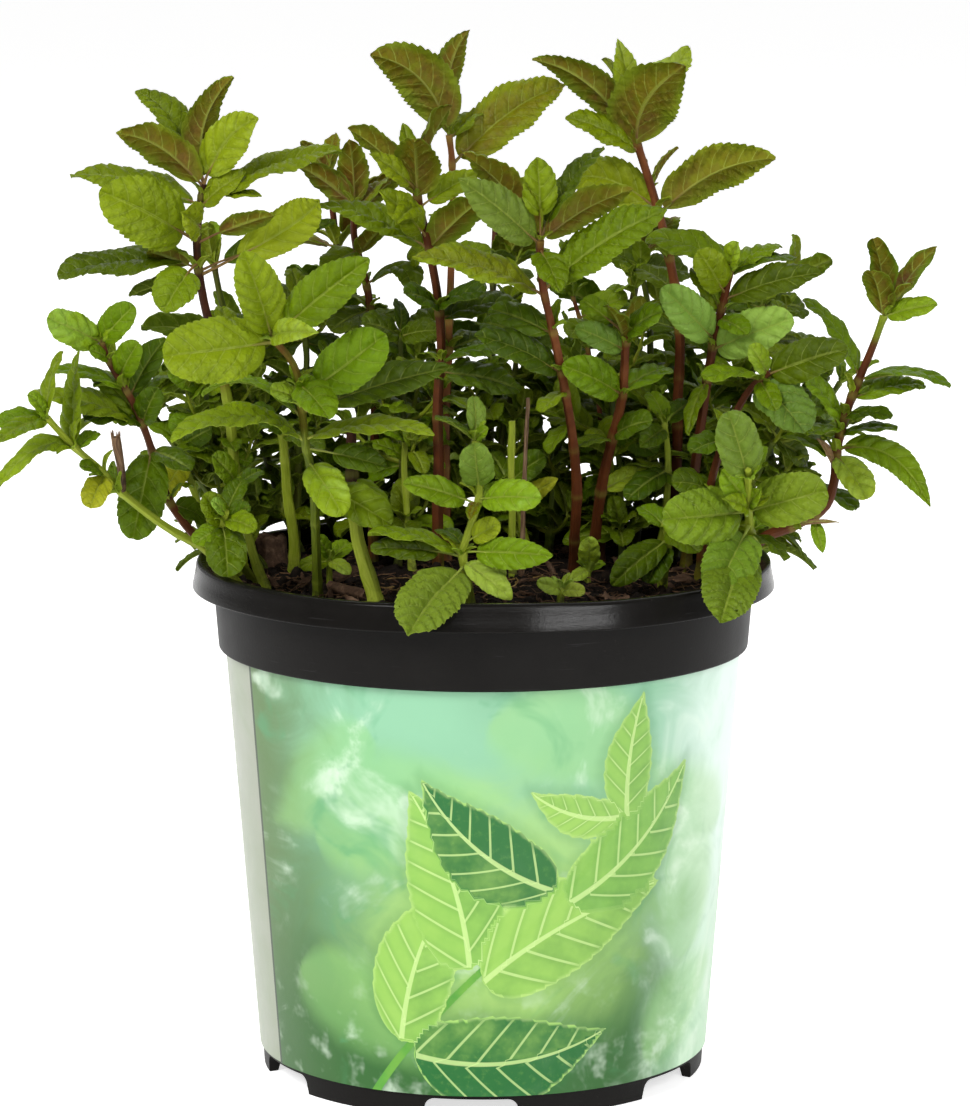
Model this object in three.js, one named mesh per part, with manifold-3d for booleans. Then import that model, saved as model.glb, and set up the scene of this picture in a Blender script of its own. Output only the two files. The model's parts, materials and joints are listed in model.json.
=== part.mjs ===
// A potted mint plant: a round black nursery pot with a paper sleeve, the root ball of dark soil,
// and the leafy shoots that grow from it. Millimetres, +Z up. The origin is the centre of the pot's
// foot, on the surface that the pot stands on. The best side of the plant faces -Y.
import * as THREE from 'three';
import { mergeVertices } from 'three/addons/utils/BufferGeometryUtils.js';
import Module from 'manifold-3d';

// ---- driving dimensions (mm)
const POT_SEGMENTS = 36;
const POT_HEIGHT = 115.0;
const LIP_RADIUS = 65.0; // widest point, the lower edge of the lip
const LIP_LOWER_EDGE_Z = 109.05;
const COLLAR_TOP_RADIUS = 60.2;
const COLLAR_BOTTOM_RADIUS = 59.12;
const COLLAR_BOTTOM_Z = 95.7;
const WALL_TOP_RADIUS = 56.95; // just under the collar
const WALL_BOTTOM_RADIUS = 49.9;
const FOOT_RADIUS = 49.6;
const FOOT_INNER_RADIUS = 47.2;
const FLOOR_UNDERSIDE_Z = 4.4;
const FLOOR_TOP_Z = 5.6;
const WALL = 1.05;
const NOTCH_COUNT = 6;
const NOTCH_WIDTH = 21.0;
const NOTCH_HEIGHT = 4.2;
const NOTCH_START_DEG = -93;
const DRAIN_HOLE_RADIUS = 4.0;
const DRAIN_HOLE_CIRCLE = 36.0;
const SLEEVE_THICKNESS = 0.4;
const SLEEVE_GAP = 0.25;
const SLEEVE_BOTTOM_Z = 5.05;
const SLEEVE_TOP_Z = 95.35;
const SOIL_LEVEL = 110.3;
const SOIL_GAP = 0.3;
const ROOT_DEPTH = 6.0; // how far each stem goes into the soil
const SOCKET_GAP = 0.3;
const STEM_SIDES = 4; // the stems are square
const STEM_CORNER = 1.16; // corner radius over mean radius
const NODE_SPAN = 2.6; // leaves closer than this up the stem share a node
const SMALL_LEAF = 15; // shorter leaves have one section fewer
const FACING = 0.3; // how squarely a side of the stem must face a leaf that grows from it

// ---- the shoots
// Each shoot is a stem with its leaves, grown in one piece.
//   r       stem radius at the top and at the foot
//   stem    points of the stem's centre line, from the top down to the soil
//   leaves  one row a leaf: the three points of its curved midrib (stem end, bend, tip), the
//           direction its upper face looks, its width, the share of the midrib that is leaf stalk,
//           and how far the blade folds up
const SHOOTS = [
  { name: 'shoot_right_tall', r: [0.85, 1.3], leafColor: 0x5f8a2c, stem: [[33.82,18,207.86],[35.19,18.16,204.05],[38.64,18.62,193.25],[41.66,19.11,181.5],[44.51,19.83,163.77],[44.2,20.46,147.76],[43.68,21.19,129.33],[40.88,22,110.8]],
    leaves: [[34.91,18.13,204.85,31.75,11.92,216.6,44.8,5.72,224.32,0.049,0.853,0.519,15.55,0.06,0.12],
      [34.32,18.06,206.47,25.27,16.56,223.27,10.69,15.06,225.17,0.274,0.834,0.48,10,0.06,0.12],
      [33.82,18,207.86,33.3,17.43,219.58,30.28,23,229.47,0.362,-0.894,0.266,6.03,0.15,0.12],
      [33.82,18,207.86,38.36,18.4,219.6,46.5,24,227.41,-0.481,-0.7,0.527,6.54,0.15,0.12],
      [35.27,18.17,203.82,28.46,13.94,210.45,18.27,13.17,212.41,0.502,-0.514,0.695,9.52,0.07,0.12],
      [39.44,18.75,190.11,50.88,15.75,202.9,65.56,12.75,203.09,-0.019,0.892,0.451,12.1,0.06,0.3],
      [39.23,18.72,190.96,27.04,20.72,202.2,17.36,22.72,196.75,-0.075,-0.93,0.359,10.85,0.06,0.12],
      [41.8,19.14,180.61,45.58,21.28,183.92,49.14,25.42,184.09,0.062,-0.538,0.841,6.48,0.06,0.12],
      [43.04,19.46,172.92,39,22.12,176.88,34.73,26.67,177.16,0.057,-0.456,0.888,7.45,0.06,0.12],
      [44.51,19.83,163.77,39.64,22.45,166.08,35.71,26.8,164.83,-0.234,-0.428,0.873,7.21,0.06,0.12],
      [44.5,19.84,163.31,50.75,22.77,161.84,53.56,27.84,157.85,0.718,-0.451,0.53,7.59,0.06,0.12],
      [33.82,18,207.86,33.75,22.99,217.79,27.27,29.41,224.58,0.882,-0.148,0.447,12.05,0.06,0.12]] },
  { name: 'shoot_centre_back_tall', r: [0.75, 1.2], leafColor: 0x5f8a2c, stem: [[-7.59,14,208.13],[-6.93,14.28,201.42],[-6.72,14.84,187.95],[-7.42,15.55,171.02],[-7.66,16.01,159.66],[-8.36,16.67,143.68],[-8.19,18,110.8]],
    leaves: [[-7.59,14,208.13,-11.58,12,224.14,-25.26,10,226.31,0.039,0.967,0.251,12.67,0.06,0.12],
      [-7.59,14,208.13,-10.36,15.5,224.27,-2.9,17,231.51,-0.51,0.86,-0.008,7.33,0.14,0.12],
      [-6.93,14.28,201.41,7.13,17.28,216.72,18.6,20.28,219.11,-0.131,-0.866,0.483,13.01,0.06,0.3],
      [-7.46,14.05,206.87,-4.45,16.89,212.04,0.22,21.28,213.69,-0.399,-0.369,0.84,7.47,0.11,0.12],
      [-6.77,14.89,186.83,-2.05,18.98,192.39,3.84,24.89,192.74,-0.211,-0.322,0.923,9.8,0.06,0.12],
      [-6.81,14.94,185.69,-13.62,17.2,183.64,-16.94,21.97,178.97,-0.692,-0.5,0.52,8.47,0.06,0.12],
      [-7.51,15.73,166.48,-14.33,18.81,166.72,-18.38,24.08,163.3,-0.542,-0.431,0.722,8.63,0.06,0.12],
      [-7.66,16.01,159.66,-2.47,18.75,162.59,2.04,23.39,161.55,0.152,-0.428,0.891,7.77,0.06,0.12]] },
  { name: 'shoot_centre_tall', r: [0.8, 1.25], leafColor: 0x5f8a2c, stem: [[-14.74,-2,197.12],[-13,-1.45,189.37],[-11.26,-0.82,180.47],[-9.95,-0.27,172.66],[-9.31,0.51,161.45],[-10.01,1.28,150.18],[-10.04,2.36,134.31],[-10.1,4,110.8]],
    leaves: [[-14.27,-1.85,195.02,-14.22,-4.48,204,-14.78,-12.22,209.23,0.1,0.802,0.589,10.72,0.06,0.12],
      [-14.74,-2,197.12,-20.29,1.21,205.77,-29.72,1,210.97,0.623,0.553,0.554,10.71,0.21,0.12],
      [-14.74,-2,197.12,-15.3,-1.05,205.13,-17.64,3,211.72,0.459,-0.809,0.368,4.64,0.34,0.12],
      [-14.74,-2,197.12,-13.92,3.83,207.11,-7.31,8.63,215.34,-0.943,0.168,0.287,10.98,0.28,0.12],
      [-14.74,-2,197.12,-18.18,-8.09,202.24,-24.67,-11.64,205.89,0.78,-0.572,0.255,5.82,0.17,0.12],
      [-12.44,-1.24,186.5,-15.54,-7.4,192.29,-22.49,-9.24,197.7,0.669,-0.74,0.071,7.58,0.13,0.12],
      [-11.95,-1.06,183.98,-23.25,-1.17,192.76,-36.94,2.94,193.42,0.252,-0.449,0.857,10.95,0.06,0.12],
      [-11.97,-1.07,184.11,-6.39,-1.49,191.57,-0.22,-7.07,195.77,-0.099,0.841,0.532,9.28,0.06,0.12],
      [-13.88,-1.73,193.29,-7.71,-2.69,198.38,-0.66,0.27,200.91,-0.182,-0.826,0.533,6.7,0.15,0.12],
      [-11.45,-0.88,181.41,-4.19,0.51,183.68,2,5.12,183.24,0.247,-0.744,0.621,5.67,0.2,0.12],
      [-9.85,-0.14,170.83,-12.08,-4.75,174.49,-17.33,-8.14,175.24,0.691,-0.278,0.668,6.98,0.06,0.12],
      [-9.85,-0.14,170.83,-6.06,-5,175.08,0.66,-8.26,175.69,-0.59,-0.321,0.741,8.39,0.06,0.12],
      [-9.48,0.69,158.75,-1.31,-3.57,163.53,8.14,-7.31,161.46,-0.186,-0.077,0.98,7.89,0.06,0.12],
      [-9.62,0.85,156.51,0.61,0.56,156.55,8.7,4.85,151.98,0.313,-0.667,0.677,8.18,0.06,0.12],
      [-9.7,0.04,168.15,-0.97,2.06,172.97,8.24,6.04,171.33,-0.072,-0.292,0.954,9.89,0.06,0.12],
      [-13.99,-1.76,193.77,-16,-9.62,194.22,-18.97,-16.37,190.92,0.599,-0.345,0.722,5.08,0.06,0.12]] },
  { name: 'shoot_left_tall', r: [0.75, 1.25], leafColor: 0x5f8a2c, stem: [[-61.36,-2,198.44],[-62.32,-1.67,192.69],[-63.1,-1.16,183.82],[-61.92,-0.53,172.68],[-57.92,0.38,157],[-55.89,1.27,141.21],[-55.17,2.09,126.45],[-53.8,3,110.8]],
    leaves: [[-61.36,-2,198.44,-65.41,0,212.68,-54.99,2,222.1,-0.68,0.73,0.06,9.9,0.06,0.12],
      [-61.36,-2,198.44,-68.16,1,217.44,-76.96,4,218.48,0.571,-0.55,0.609,10.41,0.06,0.12],
      [-61.48,-1.96,197.73,-70.06,-5.96,210.17,-80.13,-9.96,210.16,-0.029,0.86,0.509,9.79,0.06,0.12],
      [-61.36,-2,198.44,-57.31,-5,210.74,-49.07,-8,213.3,-0.439,-0.898,0,10.44,0.08,0.12],
      [-62.18,-1.72,193.49,-75.92,-1.48,201.76,-91.41,2.28,200.1,0.165,-0.331,0.929,11.84,0.06,0.12],
      [-62.93,-1.27,185.71,-71.12,-10.84,191.87,-83.51,-13.11,198,0.499,-0.867,0,14.88,0.16,0.12],
      [-62.24,-1.69,193.13,-48.35,-2.05,204.17,-30.82,0.31,205.75,-0.346,-0.26,0.902,14.44,0.16,0.12],
      [-62.18,-1.72,193.49,-58.31,-5.18,198.46,-51.72,-5.04,201.31,-0.546,-0.722,0.424,6.99,0.06,0.12],
      [-62.69,-1.43,188.47,-60.74,-9.24,190.08,-65.14,-15.43,193.19,0.945,-0.24,-0.222,8.76,0.32,0.12],
      [-62.97,-1.25,185.28,-53.42,-3.9,190.61,-45.14,-11.25,192.62,0.219,0.8,0.559,5.67,0.32,0.12],
      [-62.5,-0.84,178.16,-37.75,-3.84,190.66,-36.13,-6.84,195.32,-0.274,-0.958,0.087,9.98,0.4,0.12],
      [-62.6,-0.9,179.13,-47.8,-1.87,186.3,-32.28,2.1,190.17,-0.118,-0.827,0.549,7.22,0.5,0.12],
      [-62.85,-1.03,181.48,-81.55,-3.03,182.62,-93.92,-5.03,178.67,-0.054,-0.259,0.964,13.71,0.09,0.12],
      [-62.62,-0.91,179.28,-68.34,-1.98,183.04,-73.76,-6.14,184.28,-0.079,0.772,0.631,7,0.21,0.12],
      [-62.43,-0.81,177.52,-71.01,-1.13,177.72,-78.21,-4.15,174.17,-0.284,0.559,0.779,7.15,0.19,0.12],
      [-62.8,-1.01,181.04,-65.91,-9.66,179.16,-69.91,-13.01,171.35,0.109,-0.663,0.741,9.98,0.27,0.12],
      [-61.94,-1.8,194.97,-55.44,-4.49,197.04,-48.4,-6.46,196.38,-0.185,-0.251,0.95,4.82,0.49,0.12]] },
  { name: 'shoot_centre_red', r: [1, 1.5], leafColor: 0x5f8a2c, stem: [[12.28,-24,188.09],[12.32,-21.94,182.5],[13.45,-19.04,174.6],[15.93,-15.23,164.35],[18.22,-11.2,153.3],[20.11,-6.46,140.02],[20.87,-3.16,130.61],[20.33,0.96,118.71],[20.19,4,110.8]],
    leaves: [[12.28,-24,188.09,6.18,-23.54,200.64,-4.49,-29,207.8,0.497,0.64,0.586,12.04,0.06,0.12],
      [12.28,-24,188.09,12.71,-28.18,196.99,11.57,-28.2,206.31,0.345,-0.917,-0.198,7.89,0.3,0.12],
      [12.28,-24,188.09,16.57,-23.17,200.28,26.12,-19,207.96,-0.681,-0.44,0.585,10.47,0.16,0.3],
      [12.28,-24,188.09,20.81,-18.82,195.42,32.61,-20,198.98,-0.404,0.787,0.466,9.39,0.06,0.12],
      [13.17,-19.77,176.59,23.43,-26.31,189.05,39.74,-25.77,195.14,-0.535,-0.63,0.562,13.01,0.06,0.12],
      [12.29,-23.59,186.97,5.58,-31.74,194.8,-5.33,-32.59,202.1,0.495,-0.867,0.061,9.63,0.08,0.12],
      [13.33,-19.36,175.49,0.97,-25.45,184.54,-15.48,-26.36,185.07,0.38,-0.48,0.791,10.7,0.06,0.12],
      [17.31,-12.8,157.69,9.66,-19.06,164.43,-1.95,-19.8,167.27,0.504,-0.707,0.497,8.73,0.06,0.12],
      [15.36,-16.1,166.71,8,-15.28,171.21,1.1,-10.1,171.92,-0.079,-0.754,0.652,7.11,0.06,0.12],
      [18.17,-11.28,153.52,14.82,-14.46,153.09,12.45,-16.71,149.81,-0.311,-0.291,0.905,5.62,0.06,0.12],
      [12.29,-23.18,185.85,14.35,-30.63,184.13,16.43,-35.18,177.99,0,-0.548,0.837,7.43,0.07,0.12],
      [12.28,-24,188.09,11.49,-21.32,193.79,8.02,-17.1,197.02,0.679,-0.388,0.623,7.13,0.14,0.12]] },
  { name: 'shoot_left_bright', r: [0.9, 1.35], leafColor: 0x86ab3d, stem: [[-44.01,-58,170.69],[-40.42,-54.83,166.12],[-38.89,-52.08,161.15],[-38.08,-47.34,152.05],[-37.6,-44.38,146.31],[-36.53,-40.2,138.2],[-35.96,-34.3,126.47],[-35.89,-27,110.8]],
    leaves: [[-43.35,-57.42,169.85,-53.43,-65.74,169.46,-66.38,-66.42,167.89,0.35,-0.926,0.14,13.89,0.1,0.12],
      [-44.01,-58,170.69,-45.31,-66.21,178.94,-49.36,-68,189.79,0.369,-0.862,-0.348,9.83,0.08,0.12],
      [-43.99,-57.98,170.66,-35.08,-65.95,179.29,-23.3,-65.98,188.16,-0.339,-0.94,-0.029,9.77,0.18,0.12],
      [-44.01,-58,170.69,-43.04,-71.66,173.91,-33.52,-82,174.6,-0.898,-0.349,0.269,5.82,0.06,0.12],
      [-44.01,-58,170.69,-44.32,-60.74,174.61,-43.8,-61,179.37,-0.302,-0.903,-0.305,3.58,0.18,0.12],
      [-37.65,-44.69,146.93,-48.46,-51.69,158.82,-65.89,-58.69,149.32,0.184,-0.208,0.961,12.53,0.06,0.12],
      [-38.09,-47.37,152.11,-49.58,-45.37,165.74,-60.07,-43.37,156.88,0.199,-0.07,0.977,8.76,0.06,0.12],
      [-37.72,-45.08,147.68,-24.55,-50.9,153.9,-9.87,-55.08,150.31,-0.149,-0.159,0.976,10.04,0.06,0.12],
      [-38.8,-51.58,160.2,-36.04,-59.98,160.17,-31.74,-65.58,154.86,-0.248,-0.452,0.857,8.26,0.07,0.12],
      [-38.39,-49.12,155.47,-37.73,-53.35,158.07,-35.82,-55.12,162.36,-0.389,-0.762,-0.518,4.79,0.36,0.12],
      [-38.52,-49.89,156.95,-30.59,-58.27,163.73,-20.17,-60.53,171.81,-0.372,-0.908,-0.191,11.04,0.37,0.12],
      [-38.24,-48.24,153.79,-23.07,-52.44,160.94,-6.09,-52.24,164.13,-0.294,-0.71,0.64,9.17,0.51,0.12],
      [-37.09,-42.37,142.41,-33.65,-49.61,139.32,-29.56,-52.37,132.27,-0.109,-0.747,0.656,8.25,0.08,0.12],
      [-36.53,-40.2,138.2,-28.41,-46.67,135.43,-19.31,-48.2,129.92,-0.169,-0.861,0.48,8.33,0.31,0.12],
      [-37.5,-43.98,145.55,-29.2,-47.42,144.77,-20.54,-48,142.32,-0.109,-0.86,0.499,5.91,0.53,0.12],
      [-38.51,-49.83,156.84,-40.88,-52.74,158.56,-44.7,-53.83,159.67,0.603,-0.758,0.248,4.12,0.21,0.12]] },
  { name: 'shoot_front_rosette', r: [0.7, 1.15], leafColor: 0x86ab3d, stem: [[-1.68,-54,148.69],[-1.05,-52.67,142.55],[-0.85,-51.25,135.95],[-3.61,-49.17,126.64],[-4.25,-48.4,123.08],[-3.19,-47.06,116.82],[-2.35,-46,110.8]],
    leaves: [[-3.86,-47.91,120.79,-13.82,-63.34,117.69,-16.33,-79.97,110.61,0.231,-0.375,0.898,12.33,0.08,0.12],
      [-4.25,-48.4,123.08,-13.37,-50.76,129.26,-24.51,-52.4,128.65,0.282,-0.1,0.954,8.75,0.08,0.12],
      [-4.2,-48.35,122.82,-13.44,-52.06,126.1,-23.89,-52.35,125.43,0.227,-0.637,0.737,7.21,0.28,0.12],
      [-1.28,-50.92,134.48,-7.52,-57.01,138.58,-16.75,-58.92,140.48,0.538,-0.748,0.389,6.55,0.18,0.12],
      [-0.91,-51.72,138.16,-1.24,-57.22,142.15,-1.88,-58.9,148.72,0.07,-0.828,-0.557,7.42,0.06,0.12],
      [-0.95,-51.17,135.59,3.78,-58.26,138.07,12.13,-61.17,137.21,-0.559,-0.647,0.518,7.48,0.1,0.12],
      [-4.08,-48.6,123.98,3.84,-56.26,125.66,14.7,-58.6,124.73,-0.443,-0.802,0.401,7.01,0.16,0.12],
      [-3.96,-48.03,121.35,0.03,-51.32,120.88,4.87,-52.03,119.16,-0.286,-0.862,0.419,5.18,0.2,0.12],
      [-3.71,-49.04,126.05,-0.95,-52.82,128.55,3.58,-54,131.03,-0.565,-0.825,0.006,5.12,0.24,0.12],
      [-1.68,-54,148.69,-1.31,-54.27,153.51,-1.89,-52,157.75,0.339,-0.917,0.21,4.5,0.19,0.12],
      [-1.68,-54,148.69,-4.95,-55.24,152.72,-10.06,-56.29,153.86,0.535,-0.052,0.844,5.59,0.08,0.12],
      [-1.1,-51.06,135.08,-2.16,-55.49,135.23,-2.73,-59.06,132.45,-0.159,-0.279,0.947,3.24,0.06,0.12],
      [-1.68,-53.99,148.66,-0.94,-55.9,150.19,1.05,-56.68,151.58,-0.741,-0.667,0.078,2.78,0.06,0.12],
      [-3.89,-48.83,125.08,-6.2,-45.16,128.13,-9.2,-40.83,127.49,0.181,-0.172,0.968,5.76,0.1,0.12],
      [-4.07,-48.17,122.02,0.92,-53.8,119.96,6.13,-55.82,115.02,-0.111,-0.748,0.655,5.88,0.06,0.12]] },
  { name: 'shoot_front_right_rosette', r: [0.7, 1.1], leafColor: 0x86ab3d, stem: [[56.37,-44,140.89],[56.96,-35.05,133.11],[58,-26.08,125.19],[59.28,-20,119.81],[54.78,-9.49,110.8]],
    leaves: [[57.34,-31.74,130.18,49.63,-40.72,130.8,38.16,-43.65,130.08,0.517,-0.835,0.189,12.31,0.13,0.12],
      [57.34,-31.78,130.22,64.22,-38.39,133.18,73.84,-38.78,135.83,-0.402,-0.915,0.04,11.25,0.06,0.12],
      [56.57,-41.02,138.3,54.96,-46.87,145.25,51.84,-47.02,153.93,0.25,-0.927,-0.28,9.57,0.07,0.12],
      [57.13,-33.6,131.83,55.44,-39.96,135.38,50.91,-42.6,140.7,0.572,-0.741,-0.351,6.18,0.06,0.12],
      [57.24,-32.67,131.01,57.07,-36.38,133.04,59.29,-38.67,135.81,-0.831,-0.492,-0.26,3.62,0.06,0.12],
      [57.41,-31.18,129.69,56.53,-39.82,133.06,50.93,-46.86,135.18,0.927,-0.308,0.215,4.52,0.06,0.12],
      [57.8,-27.79,126.69,54.47,-41.46,123.68,48.43,-49.79,113.62,0.292,-0.577,0.763,11.73,0.18,0.25],
      [58.74,-22.57,122.09,52.66,-53.38,118.49,50.22,-56.58,110.01,0.3,-0.385,0.873,12.46,0.42,0.12],
      [58.21,-25.09,124.31,62.62,-28.73,123.54,65.5,-31.67,119.49,0.418,-0.188,0.889,6.8,0.12,0.12],
      [56.57,-41.02,138.3,57.4,-38.94,142.78,59.85,-35.09,144.83,-0.471,-0.522,0.711,6.15,0.06,0.12],
      [58.02,-25.97,125.08,62.48,-23.18,128.09,67.12,-19.36,127.24,-0.041,-0.259,0.965,6.83,0.06,0.12]] },
  { name: 'shoot_far_right', r: [0.75, 1.2], leafColor: 0x5f8a2c, stem: [[89.5,8,168.22],[86.87,7.31,160.66],[83.12,6.51,152.22],[80.26,5.75,143.98],[78.95,5.16,137.3],[78.54,4.68,131.72],[76.78,4.17,126.14],[72.75,3.75,123.26],[67.37,3.24,120.84],[62.22,2.75,118.43],[55.57,1.92,110.8]],
    leaves: [[89.5,8,168.22,89.95,8.4,177.78,86.76,5,186.14,0.669,0.709,0.221,7.65,0.19,0.12],
      [89.5,8,168.22,94.05,11.81,176.63,101.38,11,183.82,-0.499,0.838,0.219,5.88,0.24,0.12],
      [89.41,7.98,167.96,88.64,6.28,175.02,85.85,0.98,179.19,0.402,0.714,0.573,7.28,0.06,0.12],
      [89.46,7.99,168.1,94.21,3.88,170.88,101,2.99,171.43,-0.462,-0.732,0.501,5.72,0.07,0.12],
      [84.05,6.7,154.32,80.62,7.27,165.46,71.57,10.7,171.97,0.717,-0.369,0.591,9.61,0.06,0.12],
      [80.05,5.66,142.91,78.21,2.58,150.28,71.79,1.66,155.28,0.819,-0.39,0.421,8.84,0.06,0.12],
      [83.89,6.67,153.95,93.99,4.67,158.53,104.38,2.67,153.14,0.022,-0.09,0.996,9.27,0.06,0.12],
      [82.29,6.29,149.84,90.65,7.18,153.97,99.35,10.29,152.43,-0.057,-0.36,0.931,8.1,0.06,0.12],
      [80.81,5.9,145.58,85.29,2.11,148.14,90.81,-0.74,146.63,-0.243,-0.216,0.946,7.74,0.06,0.12],
      [79.8,5.54,141.63,85.71,3.59,144.77,92.49,2.54,143.51,-0.19,-0.2,0.961,6.57,0.06,0.12],
      [79.18,5.26,138.45,92,1.76,143.13,99.7,-1.74,126.35,0.09,-0.788,0.609,7.26,0.06,0.12],
      [78.97,5.17,137.38,82.54,-0.5,134.67,85.55,-2.83,128.54,0.119,-0.69,0.714,7.78,0.06,0.12],
      [80.03,5.65,142.83,76.08,2.39,144.58,71.79,-0.35,142.77,0.096,-0.142,0.985,5.96,0.06,0.12],
      [89.5,8,168.22,91.61,6.3,173.29,95.15,2.93,176.33,-0.477,0.557,0.68,5.24,0.31,0.12],
      [69.02,3.4,121.59,73.58,-0.07,123.52,79.58,-0.6,123.02,-0.353,-0.718,0.599,1.29,0.06,0.12],
      [73.8,3.86,124.01,74.75,-0.36,121.08,75.75,-2.14,116.27,-0.01,-0.792,0.611,3.19,0.19,0.12],
      [78.71,4.87,133.97,77.97,2.58,138.25,74.41,1.87,141.57,0.833,-0.474,0.284,3.34,0.06,0.12]] },
  { name: 'shoot_right_upper', r: [0.8, 1.25], leafColor: 0x5f8a2c, stem: [[54.79,-4,182.32],[53.62,-2.33,175.09],[51.2,0.31,163.7],[49.25,3.43,149.91],[47.35,7.57,131.3],[45.9,12,110.8]],
    leaves: [[54.43,-3.48,180.06,45.96,-1.33,186.55,35.87,2.71,186.13,0.221,-0.26,0.94,13.02,0.06,0.12],
      [53.42,-2.11,174.14,51.41,-7.89,178.67,47.02,-9.75,184.62,0.489,-0.82,-0.299,7.9,0.13,0.12],
      [54.17,-3.1,178.44,59.12,1.05,183.93,65.58,6.55,184,-0.261,-0.231,0.937,9.98,0.06,0.12],
      [54.34,-3.36,179.54,53.89,-6.71,182.51,55.83,-8.32,186.24,-0.788,-0.565,-0.243,5.13,0.06,0.12],
      [54.17,-3.1,178.44,61.5,-0.99,182.94,69.36,2.9,181.67,-0.166,-0.108,0.98,9.49,0.06,0.12],
      [53.14,-1.81,172.83,62.66,-7.05,178.3,74.72,-5.81,179.41,-0.308,-0.79,0.53,8.24,0.06,0.12],
      [51.23,0.29,163.8,46.83,-7.34,169.39,39.24,-8.71,176.39,0.448,-0.872,-0.197,9.03,0.06,0.12],
      [50.89,0.82,161.46,57.69,-6.89,166.02,68.29,-8.18,169.51,-0.506,-0.851,0.142,10.06,0.06,0.12],
      [52.57,-1.18,170.14,50.32,-0.73,176.05,46.33,2.82,179.46,0.403,-0.712,0.575,6.99,0.06,0.12],
      [52.28,-0.86,168.75,54.63,-5.79,168.87,58.18,-8.86,166.06,-0.327,-0.509,0.796,5.58,0.06,0.12],
      [49.88,2.42,154.38,45.89,-2.81,150.25,45.32,-5.58,143.03,-0.652,-0.471,0.594,5.58,0.06,0.12]] },
  { name: 'shoot_right_middle', r: [0.75, 1.1], leafColor: 0x5f8a2c, stem: [[62.77,-14,158.28],[58.13,-11.8,153.6],[53.17,-7.82,142.44],[49.98,-3.22,128.37],[48.58,2,110.8]],
    leaves: [[61.98,-13.63,157.48,69.37,-19.16,161.92,79.38,-18.63,164.08,-0.374,-0.868,0.328,9.27,0.06,0.12],
      [61.21,-13.26,156.71,54.87,-16.93,159.83,47.83,-19.99,157.68,0.127,-0.111,0.986,9.08,0.06,0.12],
      [60.25,-12.8,155.73,64.94,-20.34,153.23,70.09,-23.68,146.33,-0.072,-0.688,0.722,11.24,0.06,0.12],
      [59.15,-12.28,154.62,67.99,-9.58,151.96,72.74,-5.3,144.77,0.649,-0.25,0.719,10.33,0.06,0.12],
      [60.79,-13.06,156.29,61.88,-18.68,154.91,63.7,-22.27,150.81,-0.227,-0.55,0.804,5.35,0.06,0.12],
      [62.3,-13.78,157.81,61.21,-17.17,161.11,58.08,-18.2,164.69,0.65,-0.755,-0.086,5.09,0.06,0.12],
      [53.17,-7.82,142.44,50.03,-12.9,143.19,45.32,-15.82,140.87,0.387,-0.528,0.756,6.2,0.06,0.12],
      [53.42,-8.02,143,56.49,-12.19,141.74,59.01,-14.37,137.57,0.157,-0.558,0.815,6.57,0.06,0.12],
      [50.53,-4.01,130.79,47.33,-8.53,133.45,41.63,-10.82,133.51,0.589,-0.525,0.614,7.04,0.06,0.12]] },
  { name: 'shoot_right_inner', r: [0.9, 1.25], leafColor: 0x5f8a2c, stem: [[31.36,-10,165.96],[30.71,-4.99,152.08],[28.65,-1.14,141.53],[26.79,2.27,132.06],[25.38,6.48,120.11],[24.6,10,110.8]],
    leaves: [[30.71,-5.01,152.14,26.05,-13.09,156.62,17.27,-16.17,160.04,0.676,-0.727,0.122,8.52,0.06,0.12],
      [31.2,-8.73,162.45,26.58,-12.73,165.64,20.11,-12.73,168.02,0.413,-0.893,0.18,5.96,0.06,0.12],
      [31.36,-10,165.96,33.5,-14.42,170.05,38.94,-17,172.21,-0.777,-0.44,0.45,7.24,0.06,0.12],
      [31.25,-9.16,163.63,30.84,-11.7,169.61,27.43,-16.1,172.99,0.685,0.423,0.593,7.17,0.06,0.12],
      [31.29,-9.43,164.38,31.54,-4.94,169.01,35.78,-1.91,172.83,-0.922,0.339,0.188,7.77,0.06,0.12],
      [31.36,-10,165.96,26.6,-10.03,170.42,21.75,-7,173.58,0.021,-0.921,0.389,5.04,0.42,0.12],
      [28.89,-1.59,142.75,31.45,-6.66,146,37.19,-9.59,147.12,-0.725,-0.487,0.487,6.99,0.06,0.12],
      [28.65,-1.14,141.53,24.48,-3.4,142.95,20.31,-4.85,140.61,-0.039,-0.157,0.987,6.55,0.06,0.12],
      [26.5,3.13,129.62,32.2,3.25,132.87,37.45,7.13,133.63,0.101,-0.829,0.55,5.25,0.06,0.12],
      [30.76,-5.43,153.29,35.91,-2.46,157.37,41.14,2.48,157.19,-0.021,-0.42,0.907,8.17,0.06,0.12]] },
  { name: 'shoot_left_outer', r: [0.75, 1.15], leafColor: 0x5f8a2c, stem: [[-82.94,-20,165.55],[-80.73,-18.71,159.72],[-76.4,-16.88,152.03],[-73.96,-15.48,145.68],[-71.96,-14.03,138.85],[-67.86,-11.56,127.38],[-55.08,-7.62,110.8]],
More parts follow.
